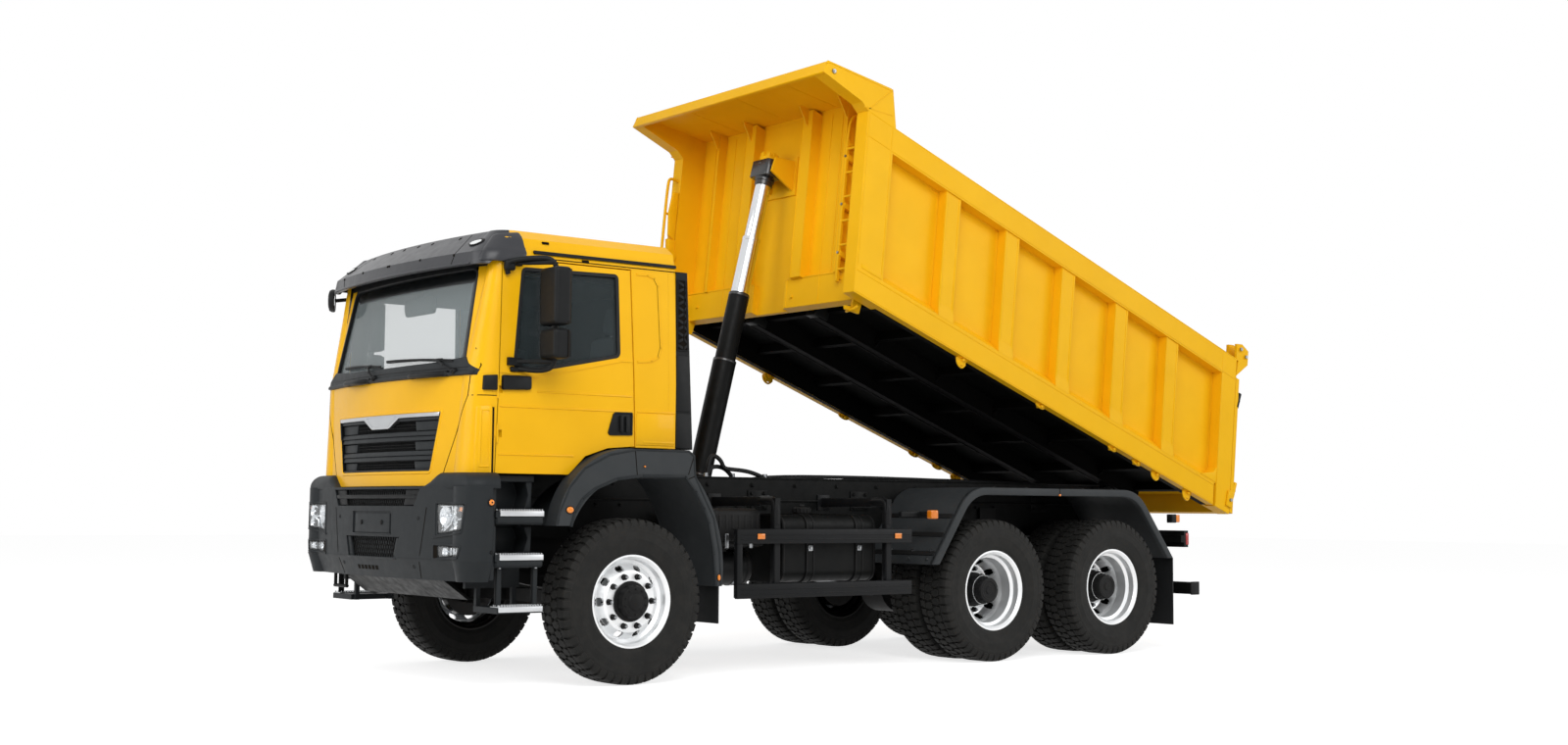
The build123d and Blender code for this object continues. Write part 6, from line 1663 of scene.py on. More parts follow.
@dataclass
class Steps:
    """The steps' serrated treads, the boxes under them and the well's panels. Sizes are in metres."""

    rear: float = 0.676
    front: float = 0.992
    face: float = 1.209
    tops: tuple = (1.130, 0.854, 0.530)
    teeth: int = 17

    def build(self) -> None:
        """Makes the treads, the boxes and the panels behind them."""
        treads = Form()
        for top in self.tops:
            treads.both(slab((self.rear, self.face - 0.105, top - 0.002),
                             (self.front, self.face, top + 0.006), edge=0.002))
            treads.both(slab((self.rear, self.face - 0.004, top - 0.030),
                             (self.front, self.face + 0.004, top + 0.004), edge=0.003))
            pitch = (self.front - self.rear) / self.teeth
            for i in range(self.teeth):
                for row in range(4):
                    x = self.rear + (i + 0.25 + 0.5 * (row % 2)) * pitch
                    y = self.face - 0.004 - row * 0.027
                    if x + pitch * 0.4 > self.front:
                        continue
                    tooth = [(x, top + 0.004), (x + pitch * 0.15, top + 0.015),
                             (x + pitch * 0.38, top + 0.015), (x + pitch * 0.5, top + 0.004)]
                    treads.both(plate(tooth, Along.Y, y - 0.010, y))
        treads.piece("step_treads", "chassis", [TREAD_METAL], slot="steel")
        boxes = Form()
        for top, deep in ((self.tops[0], 0.082), (self.tops[1], 0.076)):
            boxes.both(slab((0.672, 1.020, top - deep), (1.018, 1.203, top - 0.036), edge=0.014, steps=3))
            boxes.both(slab((0.680, 1.196, top - deep + 0.010), (1.010, 1.2065, top - 0.034), edge=0.004))
        for low, high in ((1.145, 1.345), (0.870, 1.035)):
            panel = [(0.690, low), (1.010, low), (1.018, high), (0.720, high), (0.690, high - 0.06)]
            boxes.both(plate(panel, Along.Y, 0.898, 0.912, edge=0.008, corner=0.03))
            curve = [(0.680, low), (0.735, low), (0.708, low + 0.09), (0.735, high), (0.676, high)]
            boxes.both(plate(curve, Along.Y, 0.905, 1.060, edge=0.012))
            wall = [(1.008, low), (1.024, low), (1.024, high), (1.008, high)]
            boxes.both(plate(wall, Along.Y, 0.905, 1.188, edge=0.005))
        top_rail = [(0.672, 1.318), (1.052, 1.318), (1.052, 1.360), (0.672, 1.360)]
        boxes.both(plate(top_rail, Along.Y, 0.905, 1.075, edge=0.008))
        boxes.both(slab((1.018, 1.150, 0.700), (1.056, 1.196, 1.352), edge=0.012, steps=3))
        boxes.piece("step_boxes", "chassis", [PLASTIC_GREY], slot="plastic_grey")
        straps = Form()
        for x in (0.705, 0.965):
            straps.both(slab((x - 0.022, 1.140, 0.500), (x + 0.022, 1.150, 0.815), edge=0.003))
            for z in (0.560, 0.800):
                straps.both(bar((x, 1.148, z), (x, 1.160, z), 0.011, sides=6), 1)
            straps.both(bar((x, 1.165, 0.770), (x, 1.165, 0.835), 0.010, sides=10), 1)
        straps.piece("lowest_step_straps", "chassis", [PLASTIC_BLACK, STEEL], slot="frame_black")


@dataclass
class Fenders:
    """Seams, lips and lamps of the fenders. Points are (x, z) on the fenders' outer faces."""

    face: float = 1.235
    front_arch: tuple = ((0.478, 1.040), (0.450, 1.130), (0.392, 1.205), (0.300, 1.270), (0.140, 1.336),
                         (-0.060, 1.360), (-0.400, 1.360), (-0.478, 1.262), (-0.548, 1.160), (-0.590, 1.060),
                         (-0.634, 0.850), (-0.652, 0.640))
    rear_arch: tuple = ((-2.660, 0.750), (-3.050, 1.335), (-4.970, 1.335), (-5.410, 0.770))

    def build(self) -> None:
        """Makes the front and rear fenders' trim."""
        self.front()
        self.rear()

    def front(self) -> None:
        """A raised lip inside the arch, the seam on top and the amber markers."""
        form = Form()
        inset = 0.010
        lip = [(x + inset * ((x > 0.2) - (x < -0.45)), z + inset * (z > 1.2)) for x, z in self.front_arch]
        for run in soft_strip(lip, Along.Y, self.face - 0.006, self.face + 0.006, 0.020, 0.004):
            form.both(run)
        shoulder = [(0.588, 1.050), (0.574, 1.128), (0.500, 1.290), (0.388, 1.412), (0.200, 1.502),
                    (0.0, 1.539), (-0.428, 1.539), (-0.470, 1.508), (-0.482, 1.370), (-0.560, 1.230),
                    (-0.640, 1.090), (-0.690, 0.860), (-0.704, 0.640)]
        for run in soft_strip(shoulder, Along.Y, self.face - 0.010, self.face + 0.003, 0.016, 0.005):
            form.both(run)
        for path in (((0.006, 1.546), (-0.013, 1.372)), ((-0.468, 1.506), (-0.425, 1.385)),
                     ((-0.475, 1.372), (-0.415, 1.350))):
            for run in strip(path, Along.Y, self.face - 0.004, self.face + 0.0015, 0.005):
                form.both(run, 1)
        form.piece("front_fender_lips", "chassis", [PLASTIC_GREY, SEAM_SHADOW], slot="plastic_grey")
        lamps = Form()
        for x, z, wide, high in ((0.500, 1.142, 0.026, 0.021), (-0.068, 1.431, 0.006, 0.006),
                                 (-0.684, 0.690, 0.011, 0.020)):
            base, lens = oval(x, z, wide * 1.22, high * 1.22), oval(x, z, wide, high)
            lamps.both(plate(base, Along.Y, self.face - 0.002, self.face + 0.004), 1)
            lamps.both(plate(lens, Along.Y, self.face + 0.003, self.face + 0.011,
                             edge=min(wide, high) * 0.4, steps=3))
        lamps.piece("front_fender_markers", "chassis", [LAMP_AMBER, PLASTIC_BLACK], slot="lamp")

    def arch(self, depth: float, bend: float) -> list[tuple[float, float]]:
        """The rear fenders' path, a depth inside their outer face, with its two bends rounded.

        Args:
            depth: distance inwards from the outer face.
            bend: radius that rounds the outer face's bends.

        Returns:
            Points as (x, z), from the front foot to the rear one.
        """
        (x0, z0), (x1, z1), (x2, z2), (x3, z3) = self.rear_arch
        end, shift = depth * 1.2, depth * 0.58
        knots = [Vector(p) for p in ((x0 - end, z0), (x1 - shift, z1 - depth),
                                     (x2 + shift, z2 - depth), (x3 + end, z3))]
        path = [knots[0]]
        for before, knot, after in zip(knots, knots[1:], knots[2:]):
            a, b = knot + (before - knot).normalized() * bend, knot + (after - knot).normalized() * bend
            for i in range(9):
                t = i / 8
                path.append(a * (1 - t) ** 2 + knot * 2 * t * (1 - t) + b * t**2)
        path.append(knots[-1])
        return [(p.x, p.y) for p in path]

    def rear(self) -> None:
        """The bent sheets with their soft outer lips, the pressed ribs, the mid seam and the amber lamps."""
        form = Form()
        outer, bend = self.arch(0.0, 0.170), 0.150
        sheet = [*outer, *self.arch(0.016, bend)[::-1]]
        form.both(plate(sheet, Along.Y, 0.430, self.face - 0.010))
        band = [*outer, *self.arch(0.058, bend)[::-1]]
        form.both(plate(band, Along.Y, self.face - 0.036, self.face + 0.006, edge=0.008, steps=3))
        form.both(slab((-4.034, self.face - 0.02, 1.278), (-4.028, self.face + 0.0075, 1.3365)), 1)
        form.piece("rear_fender_sheets", "chassis", [FENDER_GREY, SEAM_SHADOW], slot="plastic_grey",
                   replaces=["rear_fenders"])
        ribs = Form()
        for (x0, z0), (x1, z1) in (self.rear_arch[:2], self.rear_arch[2:]):
            along = Vector((x1 - x0, 0, z1 - z0)).normalized()
            out = Vector((along.z, 0, -along.x))
            for share in (0.14, 0.38, 0.62):
                up = share if z1 > z0 else 1 - share
                mid = Vector((x0 + (x1 - x0) * up, 0, z0 + (z1 - z0) * up))
                a, b = mid - along * 0.018, mid + along * 0.018
                outline = [(p.x, p.z) for p in (a - out * 0.004, b - out * 0.004, b + out * 0.008,
                                                a + out * 0.008)]
                ribs.both(plate(outline, Along.Y, 0.500, 1.195, edge=0.005))
        for x in (-3.35, -3.70, -4.35, -4.70):
            ribs.both(slab((x - 0.018, 0.50, 1.331), (x + 0.018, 1.195, 1.343), edge=0.005))
        for y in (0.70, 0.95, 1.15):
            for x, z in ((-2.690, 0.790), (-2.730, 0.850)):
                ribs.both(bar((x, y, z), (x + 0.020, y, z + 0.003), 0.010, sides=6), 1)
        ribs.piece("rear_fender_ribs", "chassis", [CAST, STEEL], slot="frame_black")
        lamps = Form()
        lamps.both(slab((-2.660, 1.060, 1.104), (-2.470, 1.100, 1.148), edge=0.008), 1)
        lamps.both(slab((-2.715, 1.185, 1.092), (-2.645, 1.243, 1.158), edge=0.010, steps=3))
        lamps.both(slab((-2.715, 1.090, 1.100), (-2.650, 1.190, 1.150), edge=0.008), 1)
        lamps.both(plate([(-2.700, 1.100), (-2.655, 1.100), (-2.660, 1.150), (-2.690, 1.155)],
                         Along.Y, 1.243, 1.2445))
        lamps.both(slab((-4.040, self.face + 0.002, 1.276), (-4.022, self.face + 0.014, 1.292), edge=0.003))
        lamps.piece("rear_fender_lamps", "chassis", [LAMP_AMBER, PLASTIC_BLACK], slot="lamp")


# ---------------------------------------------------------------- frame and side equipment


def bolt(form: Form, start: Point, end: Point, radius: float, number: int = 0) -> None:
    """A hexagon head on its washer, from start on the surface to end.

    Args:
        form: the piece that takes it.
        start: the point on the surface.
        end: the head's outer end.
        radius: the head's radius.
        number: the number of its finish.
    """
    a, b = Vector(start), Vector(end)
    mid = a + (b - a) * 0.3
    form.add(bar(a, mid, radius * 1.35, radius * 1.3, 16), number)
    form.add(bar(mid, b, radius, radius * 0.94, 6), number)


@dataclass
class SideEquipment:
    """What hangs on the frame between the axles, and the frame's own bolts and pipes."""

    rail_y: float = 0.430
    guard_y: float = 1.225
    posts: tuple = (-1.220, -2.260)
    arm_z: float = 1.210
    tank: tuple = (-2.200, -1.330, 0.520, 1.110, 0.640, 1.115)
    straps: tuple = (-2.040, -1.580)
    cap: tuple = (-1.720, 0.840)
    air_tank: tuple = (0.860, 0.745)

    def build(self) -> None:
        """Makes the guards' trim, the boxes, the tank's trim, the bolts and the pipes."""
        self.guards()
        self.boxes()
        self.tank_trim()
        self.rails()

    def guards(self) -> None:
        """Folds, end plates, corner pieces and reflectors of the side guards."""
        form = Form()
        y = self.guard_y
        for low, high in ((0.917, 1.017), (0.540, 0.640)):
            form.both(slab((-2.462, y - 0.030, low), (-0.848, y + 0.0025, high), edge=0.007, steps=3))
            for share in (0.30, 0.62):
                z = low + (high - low) * share
                form.both(slab((-2.440, y + 0.001, z - 0.004), (-0.880, y + 0.0055, z + 0.004), edge=0.0025))
            form.both(slab((-2.462, y - 0.070, high - 0.006), (-0.848, y, high + 0.002), edge=0.002))
        form.both(slab((-0.900, y - 0.050, 0.545), (-0.853, y - 0.006, 1.012), edge=0.006))
        for x in self.posts:
            form.both(slab((x - 0.028, y - 0.078, 0.545),
                           (x + 0.028, y - 0.030, self.arm_z - 0.06), edge=0.006))
            path = [(x, y - 0.052, self.arm_z - 0.160), (x, y - 0.052, self.arm_z - 0.03),
                    (x, y - 0.070, self.arm_z + 0.008), (x, y - 0.160, self.arm_z + 0.010),
                    (x, y - 0.230, self.arm_z + 0.008)]
            form.both(pipe(path, 0.031, sides=4))
            form.both(slab((x - 0.028, self.rail_y, self.arm_z - 0.034),
                           (x + 0.028, y - 0.200, self.arm_z + 0.034), edge=0.006))
            form.both(slab((x - 0.060, self.rail_y, self.arm_z - 0.060),
                           (x + 0.060, self.rail_y + 0.012, self.arm_z + 0.060), edge=0.004))
        form.piece("side_guard_sections", "chassis", [GUARD_GREY], slot="frame_black")
        lamps = Form()
        for x in (-1.050, -2.320):
            lamps.both(slab((x - 0.036, y + 0.001, 0.944), (x + 0.036, y + 0.006, 0.990), edge=0.003), 1)
            lamps.both(slab((x - 0.032, y + 0.005, 0.948), (x + 0.032, y + 0.011, 0.986),
                            edge=0.004, steps=3))
        lamps.piece("side_guard_reflectors", "chassis", [LAMP_AMBER, PLASTIC_BLACK], slot="lamp")

    def boxes(self) -> None:
        """The battery box's moulded cover, its ribs and clips, and the air tank's ends."""
        form = Form()
        form.both(slab((-1.165, 0.520, 0.905), (-0.752, 1.092, 1.158), edge=0.045, steps=4))
        form.both(slab((-1.172, 0.512, 0.898), (-0.745, 1.098, 0.925), edge=0.010))
        for i in range(7):
            x = -1.125 + i * 0.055
            form.both(slab((x - 0.009, 0.570, 1.150), (x + 0.009, 1.050, 1.163), edge=0.004))
            form.both(slab((x - 0.009, 1.084, 0.940), (x + 0.009, 1.097, 1.115), edge=0.004))
        for x in (-1.060, -0.850):
            form.both(slab((x - 0.016, 1.092, 0.885), (x + 0.016, 1.103, 0.985), edge=0.004), 1)
        for x in (-1.150, -0.770):
            dome = [(-0.030, 0.128), (0.0, 0.1275), (0.016, 0.118), (0.030, 0.085),
                    (0.036, 0.045), (0.038, 0.0005)]
            angle = math.radians(-90 if x > -1 else 90)
            turn = Matrix.Translation((x, *self.air_tank)) @ Matrix.Rotation(angle, 4, "Z")
            form.both(placed(lathe(dome, 40), turn))
        for x in (-1.040, -0.870):
            ring = [(-0.015, 0.1262), (-0.015, 0.130), (0.015, 0.130), (0.015, 0.1262)]
            turn = Matrix.Translation((x, *self.air_tank)) @ Matrix.Rotation(math.radians(90), 4, "Z")
            form.both(placed(lathe(ring, 40, closed=True), turn), 1)
        form.both(bar((-1.190, 0.860, 0.640), (-1.190, 0.860, 0.600), 0.014, sides=12), 1)
        form.piece("battery_box_cover", "chassis", [CAST, STEEL], slot="frame_black")

    def tank_trim(self) -> None:
        """The tank's strap edges, end seams, filler cap and the step plate on its top."""
        x0, x1, y0, y1, z0, z1 = self.tank
        form = Form()
        for x in self.straps:
            for off in (-0.031, 0.031):
                face = slab((x + off - 0.005, y0 - 0.010, z0 - 0.010),
                            (x + off + 0.005, y1 + 0.010, z1 + 0.010))
                round_edges(face, [e for e in face.edges if abs((e.verts[0].co - e.verts[1].co).x) > 1e-4],
                            0.094, 6)
                form.add(face)
            form.add(bar((x, y1 + 0.006, 0.880), (x, y1 + 0.022, 0.880), 0.012, 0.011, 6), 1)
            form.add(slab((x - 0.020, y1 + 0.002, 0.860), (x + 0.020, y1 + 0.012, 0.900), edge=0.003), 1)
        for x in (x0 + 0.014, x1 - 0.014):
            rim = slab((x - 0.006, y0 - 0.004, z0 - 0.004), (x + 0.006, y1 + 0.004, z1 + 0.004))
            round_edges(rim, [e for e in rim.edges if abs((e.verts[0].co - e.verts[1].co).x) > 1e-4], 0.088,
                        6)
            form.add(rim)
        neck = [(0.0, 0.058), (0.020, 0.058), (0.024, 0.066), (0.060, 0.066), (0.068, 0.058), (0.070, 0.0005)]
        cap_x, cap_y = self.cap
        up = Matrix.Translation((cap_x, cap_y, z1 - 0.010)) @ Matrix.Rotation(math.radians(90), 4, "X")
        form.add(placed(lathe(neck, 36), up))
        for i in range(16):
            angle = math.tau * i / 16
            x, y = cap_x + 0.066 * math.cos(angle), cap_y + 0.066 * math.sin(angle)
            form.add(bar((x, y, z1 + 0.020), (x, y, z1 + 0.048), 0.005, sides=8))
        form.add(slab((-1.745, 0.835, z1 + 0.060), (-1.695, 0.845, z1 + 0.078), edge=0.004))
        form.piece("fuel_tank_trim", "chassis", [CAST, STEEL], slot="frame_black")

    def rails(self) -> None:
        """Bolt rows on the rails' webs, the joint flange, clips and the pipes along the top."""
        form = Form()
        for i in range(30):
            x = 0.62 - i * 0.205
            for z in (1.180, 1.000):
                if (i * 7 + round(z * 10)) % 3:
                    for sign in (-1, 1):
                        bolt(form, (x, sign * self.rail_y, z), (x, sign * (self.rail_y + 0.016), z), 0.012)
            if i % 2 and x > -3.3:
                for sign in (-1, 1):
                    bolt(form, (x + 0.06, sign * self.rail_y, 1.335),
                         (x + 0.06, sign * (self.rail_y + 0.016), 1.335), 0.013)
        form.both(slab((-5.390, 0.425, 1.212), (1.070, 0.440, 1.228), edge=0.004))
        form.both(slab((-5.390, 0.345, 1.380), (1.070, 0.438, 1.393), edge=0.004))
        for x in (-1.62, -2.62, -3.62, -4.62):
            form.both(slab((x - 0.090, 0.428, 1.150), (x + 0.090, 0.440, 1.300), edge=0.004))
            for dx in (-0.060, 0.060):
                for z in (1.175, 1.275):
                    for sign in (-1, 1):
                        bolt(form, (x + dx, sign * 0.440, z), (x + dx, sign * 0.455, z), 0.012)
        form.piece("rail_bolts_and_flanges", "chassis", [FRAME_BLACK], slot="frame_black")
        pipes = Form()
        for y, z, x0, x1 in ((0.318, 1.402, -1.75, -5.20), (0.286, 1.405, -1.55, -5.20),
                             (0.250, 1.398, -2.40, -5.10)):
            route = [(x0, y, z - 0.06), (x0 - 0.05, y, z), (x0 - 1.2, y, z + 0.012), (x0 - 2.2, y, z - 0.004),
                     (x1, y, z - 0.03), (x1 - 0.03, y, z - 0.12)]
            pipes.add(pipe(route, 0.0125))
        for x in (-2.05, -2.85, -3.65, -4.45):
            pipes.add(slab((x - 0.015, 0.262, 1.372), (x + 0.015, 0.340, 1.392), edge=0.003), 1)
        loop = [(-1.175, 0.395, 1.385), (-1.185, 0.405, 1.480), (-1.215, 0.405, 1.560),
                (-1.300, 0.405, 1.520), (-1.330, 0.400, 1.455), (-1.400, 0.395, 1.450),
                (-1.560, 0.385, 1.440), (-1.700, 0.370, 1.405), (-1.745, 0.360, 1.385)]
        pipes.add(pipe(loop, 0.016, sides=4))
        second = [(-1.200, 0.370, 1.385), (-1.205, 0.372, 1.430), (-1.260, 0.372, 1.475),
                  (-1.380, 0.370, 1.455), (-1.440, 0.360, 1.390)]
        pipes.add(pipe(second, 0.016, sides=4))
        for x, y in ((-1.175, 0.395), (-1.745, 0.360), (-1.200, 0.370), (-1.440, 0.360)):
            pipes.add(bar((x, y, 1.380), (x, y, 1.420), 0.021, 0.019, 6), 1)
        pipes.piece("hydraulic_pipework", "chassis", [RUBBER, STEEL], slot="rubber")


@dataclass
class RearEnd:
    """Lenses, edges and bolts at the rear of the frame."""

    lamp_x: float = -5.650

    def build(self) -> None:
        """Makes the lenses and the small parts round them."""
        form = Form()
        x = self.lamp_x
        for low, high, number in ((0.862, 0.960, 0), (0.965, 1.060, 0), (1.065, 1.188, 1)):
            form.both(slab((x - 0.012, low, 0.872), (x + 0.002, high, 0.988), edge=0.006, steps=3), number)
        form.both(slab((x - 0.006, 1.1885, 0.880), (x + 0.030, 1.2045, 0.980), edge=0.005))
        form.both(slab((-5.500, 1.180, 1.070), (-5.455, 1.240, 1.134), edge=0.008, steps=3), 1)
        form.both(slab((-5.456, 1.176, 1.066), (-5.400, 1.238, 1.138), edge=0.006), 2)
        form.piece("tail_lamp_lenses", "chassis", [LAMP_RED, LAMP_AMBER, PLASTIC_BLACK], slot="red_lamp")
        beam = Form()
        for sign in (-1, 1):
            beam.add(slab((-5.816, sign * 1.178 - 0.006, 0.454),
                          (-5.704, sign * 1.178 + 0.006, 0.566), edge=0.008))
            for z in (0.60, 0.70, 1.02, 1.12):
                spot = -5.66 if z < 0.9 else -5.42
                bolt(beam, (spot, sign * 0.452, z), (spot, sign * 0.468, z), 0.014, 1)
        beam.add(slab((-5.826, -0.300, 0.575), (-5.805, 0.300, 0.700), edge=0.006))
        beam.add(slab((-5.829, -0.285, 0.585), (-5.824, 0.285, 0.690), edge=0.002), 1)
        beam.piece("underrun_ends_and_plate_carrier", "chassis", [CAST, STEEL], slot="frame_black")


@dataclass
class Seats:
    """Two cushioned seats on pedestals. Outlines are (x, z), across from inner to outer y."""

    inner: float = 0.515
    outer: float = 0.985
    squab: tuple = ((-0.145, 1.640), (0.345, 1.625), (0.345, 1.755), (-0.145, 1.755))
    back: tuple = ((-0.125, 1.745), (0.000, 1.755), (-0.085, 2.320), (-0.200, 2.320))
    rest: tuple = ((-0.195, 2.345), (-0.095, 2.345), (-0.122, 2.530), (-0.200, 2.530))

    def pad(self, outline: Sequence[tuple[float, float]], inner: float, outer: float,
            crown: float) -> bmesh.types.BMesh:
        """A closed cushion: crowned faces, sides that pull in between the corners, and two sewn channels.

        Args:
            outline: its points as (x, z).
            inner: y of its inner side.
            outer: y of its outer side.
            crown: how far the faces bulge.

        Returns:
            The cushion.
        """
        part = plate(outline, Along.Y, inner, outer)
        round_edges(part, part.edges[:], 0.030, 4)
        for _ in range(2):
            bmesh.ops.subdivide_edges(part, edges=[e for e in part.edges if e.calc_length() > 0.04], cuts=2,
                                      use_grid_fill=True)
        middle = sum((v.co for v in part.verts), Vector()) / len(part.verts)
        half = (outer - inner) / 2
        for vert in part.verts:
            across = (vert.co.y - middle.y) / half
            swell = crown * max(0.0, 1 - across * across)
            for seam in (-0.45, 0.45):
                swell -= 0.007 * math.exp(-(((across - seam) / 0.05) ** 2))
            away = Vector((vert.co.x - middle.x, 0, vert.co.z - middle.z))
            if away.length > 1e-6:
                vert.co += away.normalized() * swell
        bmesh.ops.smooth_vert(part, verts=part.verts, factor=0.4, use_axis_x=True,
                              use_axis_y=True, use_axis_z=True)
        bmesh.ops.recalc_face_normals(part, faces=part.faces)
        return part

    def build(self) -> None:
        """Makes each seat's pads and the frames they stand on."""
        for side, sign in (("left", 1), ("right", -1)):
            flip = Matrix.Scale(sign, 4, (0, 1, 0))
            for name, outline, low, high, crown in (("squab", self.squab, self.inner, self.outer, 0.012),
                                                    ("backrest", self.back, self.inner, self.outer, 0.012),
                                                    ("headrest", self.rest, 0.630, 0.870, 0.008)):
                form = Form()
                form.add(self.pad(outline, low, high, crown), 0, flip)
                made = form.piece(f"seat_{name}_{side}", "chassis", [FABRIC], slot="fabric",
                                  replaces=["seats"])
        frames = Form()
        frames.both(slab((-0.080, 0.590, 1.442), (0.270, 0.910, 1.600), edge=0.020, steps=3))
        frames.both(slab((-0.140, 0.530, 1.595), (0.330, 0.970, 1.632), edge=0.012))
        for y in (0.690, 0.810):
            frames.both(bar((-0.145, y, 2.290), (-0.150, y, 2.380), 0.007, sides=10), 1)
        frames.both(slab((-0.150, 0.500, 1.640), (-0.060, 0.514, 1.760), edge=0.008))
        frames.piece("seat_frames", "chassis", [PLASTIC_BLACK, STEEL], slot="plastic_black",
                     replaces=["seats"])


# ---------------------------------------------------------------- bed: s forward from the hinge, n up from it

LEAN = 0.265


def lean_over(part: bmesh.types.BMesh, base: float = 0.0) -> bmesh.types.BMesh:
    """Leans a part of the bed forward with its height over a base.

    Args:
        part: the shape, in the bed's axes.
        base: the height where nothing moves.

    Returns:
        The same shape.
    """
    for vert in part.verts:
        vert.co.x += LEAN * (vert.co.z - base)
    return part


@dataclass
class Bed:
    """The bed's ledges, folds, hooks, ladder details and black underside. Sizes are metres in (s, y, n)."""

    rail_top: float = 0.265
    top_rail: float = 1.200
    top: float = 1.390
    face: float = 1.250
    skin: float = 1.150
    wall: float = 3.660
    rear: float = -0.672
    posts: tuple = (-0.472, 3.610)
    ribs: int = 5
    rib_half: float = 0.0825

    def build(self) -> None:
        """Makes the bed's trim."""
        self.side_trim()
        self.hooks()
        self.front_trim()
        self.rope_rail()
        self.underside()
        self.canopy()

    def mids(self) -> list[float]:
        """Where the ribs stand at the hinge's height."""
        first, last = self.posts
        pitch = (last - first) / (self.ribs + 1)
        return [first + pitch * (i + 1) for i in range(self.ribs)]

    def side_trim(self) -> None:
        """Sloping ledges between the ribs, gussets, folds and weld beads on both sides."""
        form = Form()
        mids = self.mids()
        starts = [self.posts[0], *(m + self.rib_half for m in mids)]
        ends = [*(m - self.rib_half for m in mids), self.posts[1]]
        for a, b in zip(starts, ends):
            wedge = [(self.skin - 0.004, self.rail_top - 0.004), (self.face - 0.004, self.rail_top - 0.004),
                     (self.face - 0.006, self.rail_top + 0.004), (self.skin - 0.004, self.rail_top + 0.078)]
            form.both(lean_over(plate(wedge, Along.X, a - 0.002, b + 0.002)))
            for edge in (a + 0.006, b - 0.006):
                form.both(lean_over(slab((edge - 0.005, self.skin - 0.002, self.rail_top + 0.07),
                                         (edge + 0.005, self.skin + 0.005, self.top_rail), edge=0.003)))
            form.both(lean_over(slab((a, self.skin - 0.002, self.top_rail - 0.012),
                                     (b, self.skin + 0.005, self.top_rail + 0.001), edge=0.003)))
        for m in mids:
            foot = [(self.skin, self.rail_top + 0.10), (self.face - 0.010, self.rail_top + 0.10),
                    (self.face + 0.0005, self.rail_top), (self.skin, self.rail_top)]
            form.both(lean_over(plate(foot, Along.X, m - self.rib_half - 0.001, m + self.rib_half + 0.001)))
            for edge in (-1, 1):
                x = m + edge * (self.rib_half - 0.012)
                form.both(lean_over(slab((x - 0.010, self.face - 0.016, self.rail_top + 0.02),
                                         (x + 0.010, self.face - 0.008, self.top_rail), edge=0.004)))
        form.both(lean_over(slab((self.rear + 0.01, self.face - 0.003, self.top_rail + 0.012),
                                 (3.885, self.face + 0.0025, self.top_rail + 0.020), edge=0.002)))
        form.both(lean_over(slab((self.rear + 0.01, self.face - 0.040, self.top - 0.006),
                                 (3.885, self.face + 0.002, self.top + 0.004), edge=0.003)))
        for low, high in ((0.085, 0.093), (0.236, 0.246)):
            form.both(lean_over(slab((self.rear + 0.24, self.face - 0.003, low),
                                     (3.885, self.face + 0.0025, high), edge=0.002)))
        for x in (3.628, 3.872):
            form.both(lean_over(slab((x - 0.005, self.face - 0.003, 0.270),
                                     (x + 0.005, self.face + 0.0022, 1.385), edge=0.002)))
        form.both(lean_over(slab((self.rear + 0.188, self.face - 0.003, 0.10),
                                 (self.rear + 0.198, self.face + 0.0022, 1.385), edge=0.002)))
        gusset = [(-0.400, 0.268), (-0.180, 0.268), (-0.340, 0.345), (-0.380, 0.430)]
        form.both(plate(gusset, Along.Y, self.skin, self.face - 0.002, edge=0.004))
        tab = [(3.905, 0.268), (3.700, 0.268), (3.700, 0.300), (3.915, 0.300)]
        form.both(plate(tab, Along.Y, self.face - 0.002, self.face + 0.004, edge=0.002))
        form.piece("bed_side_ledges_and_folds", "bed", [BED_PAINT], where=BED, slot="bed_paint")

    def hooks(self) -> None:
        """Sheeting hooks under the side rails, and the catches near the bed's front."""
        form = Form()
        y = self.face - 0.045
        for s, deep in ((2.706, 0.075), (1.790, 0.028), (0.888, 0.028), (0.573, 0.028), (0.316, 0.060),
                        (-0.113, 0.075)):
            low = 0.075 - deep
            shape = [(s - 0.055, 0.080), (s + 0.055, 0.080), (s + 0.040, low + deep * 0.45),
                     (s + 0.012, low + deep * 0.2), (s - 0.030, low + deep * 0.3)]
            form.both(plate(shape, Along.Y, y - 0.010, y + 0.012, edge=0.004))
            hook = [(s - 0.045, y, low + deep * 0.6), (s - 0.030, y + 0.004, low + 0.006),
                    (s + 0.010, y + 0.008, low + 0.004), (s + 0.050, y + 0.010, low + deep * 0.35),
                    (s + 0.060, y + 0.010, low + deep * 0.8)]
            form.both(pipe(hook, 0.009, sides=3))
            form.both(bar((s, y - 0.030, 0.062), (s, y + 0.030, 0.062), 0.012, sides=12))
        catch = [(3.680, 0.015), (3.810, -0.005), (3.825, 0.020), (3.760, 0.040),
                 (3.770, 0.130), (3.680, 0.130)]
        form.both(plate(catch, Along.Y, 1.060, 1.084, edge=0.004))
        bail = [(3.750, 1.020, 0.010), (3.770, 1.060, 0.002), (3.770, 1.120, 0.010), (3.760, 1.150, 0.040)]
        form.both(pipe(bail, 0.011))
        form.piece("bed_sheeting_hooks", "bed", [BED_PAINT], where=BED, slot="bed_paint")

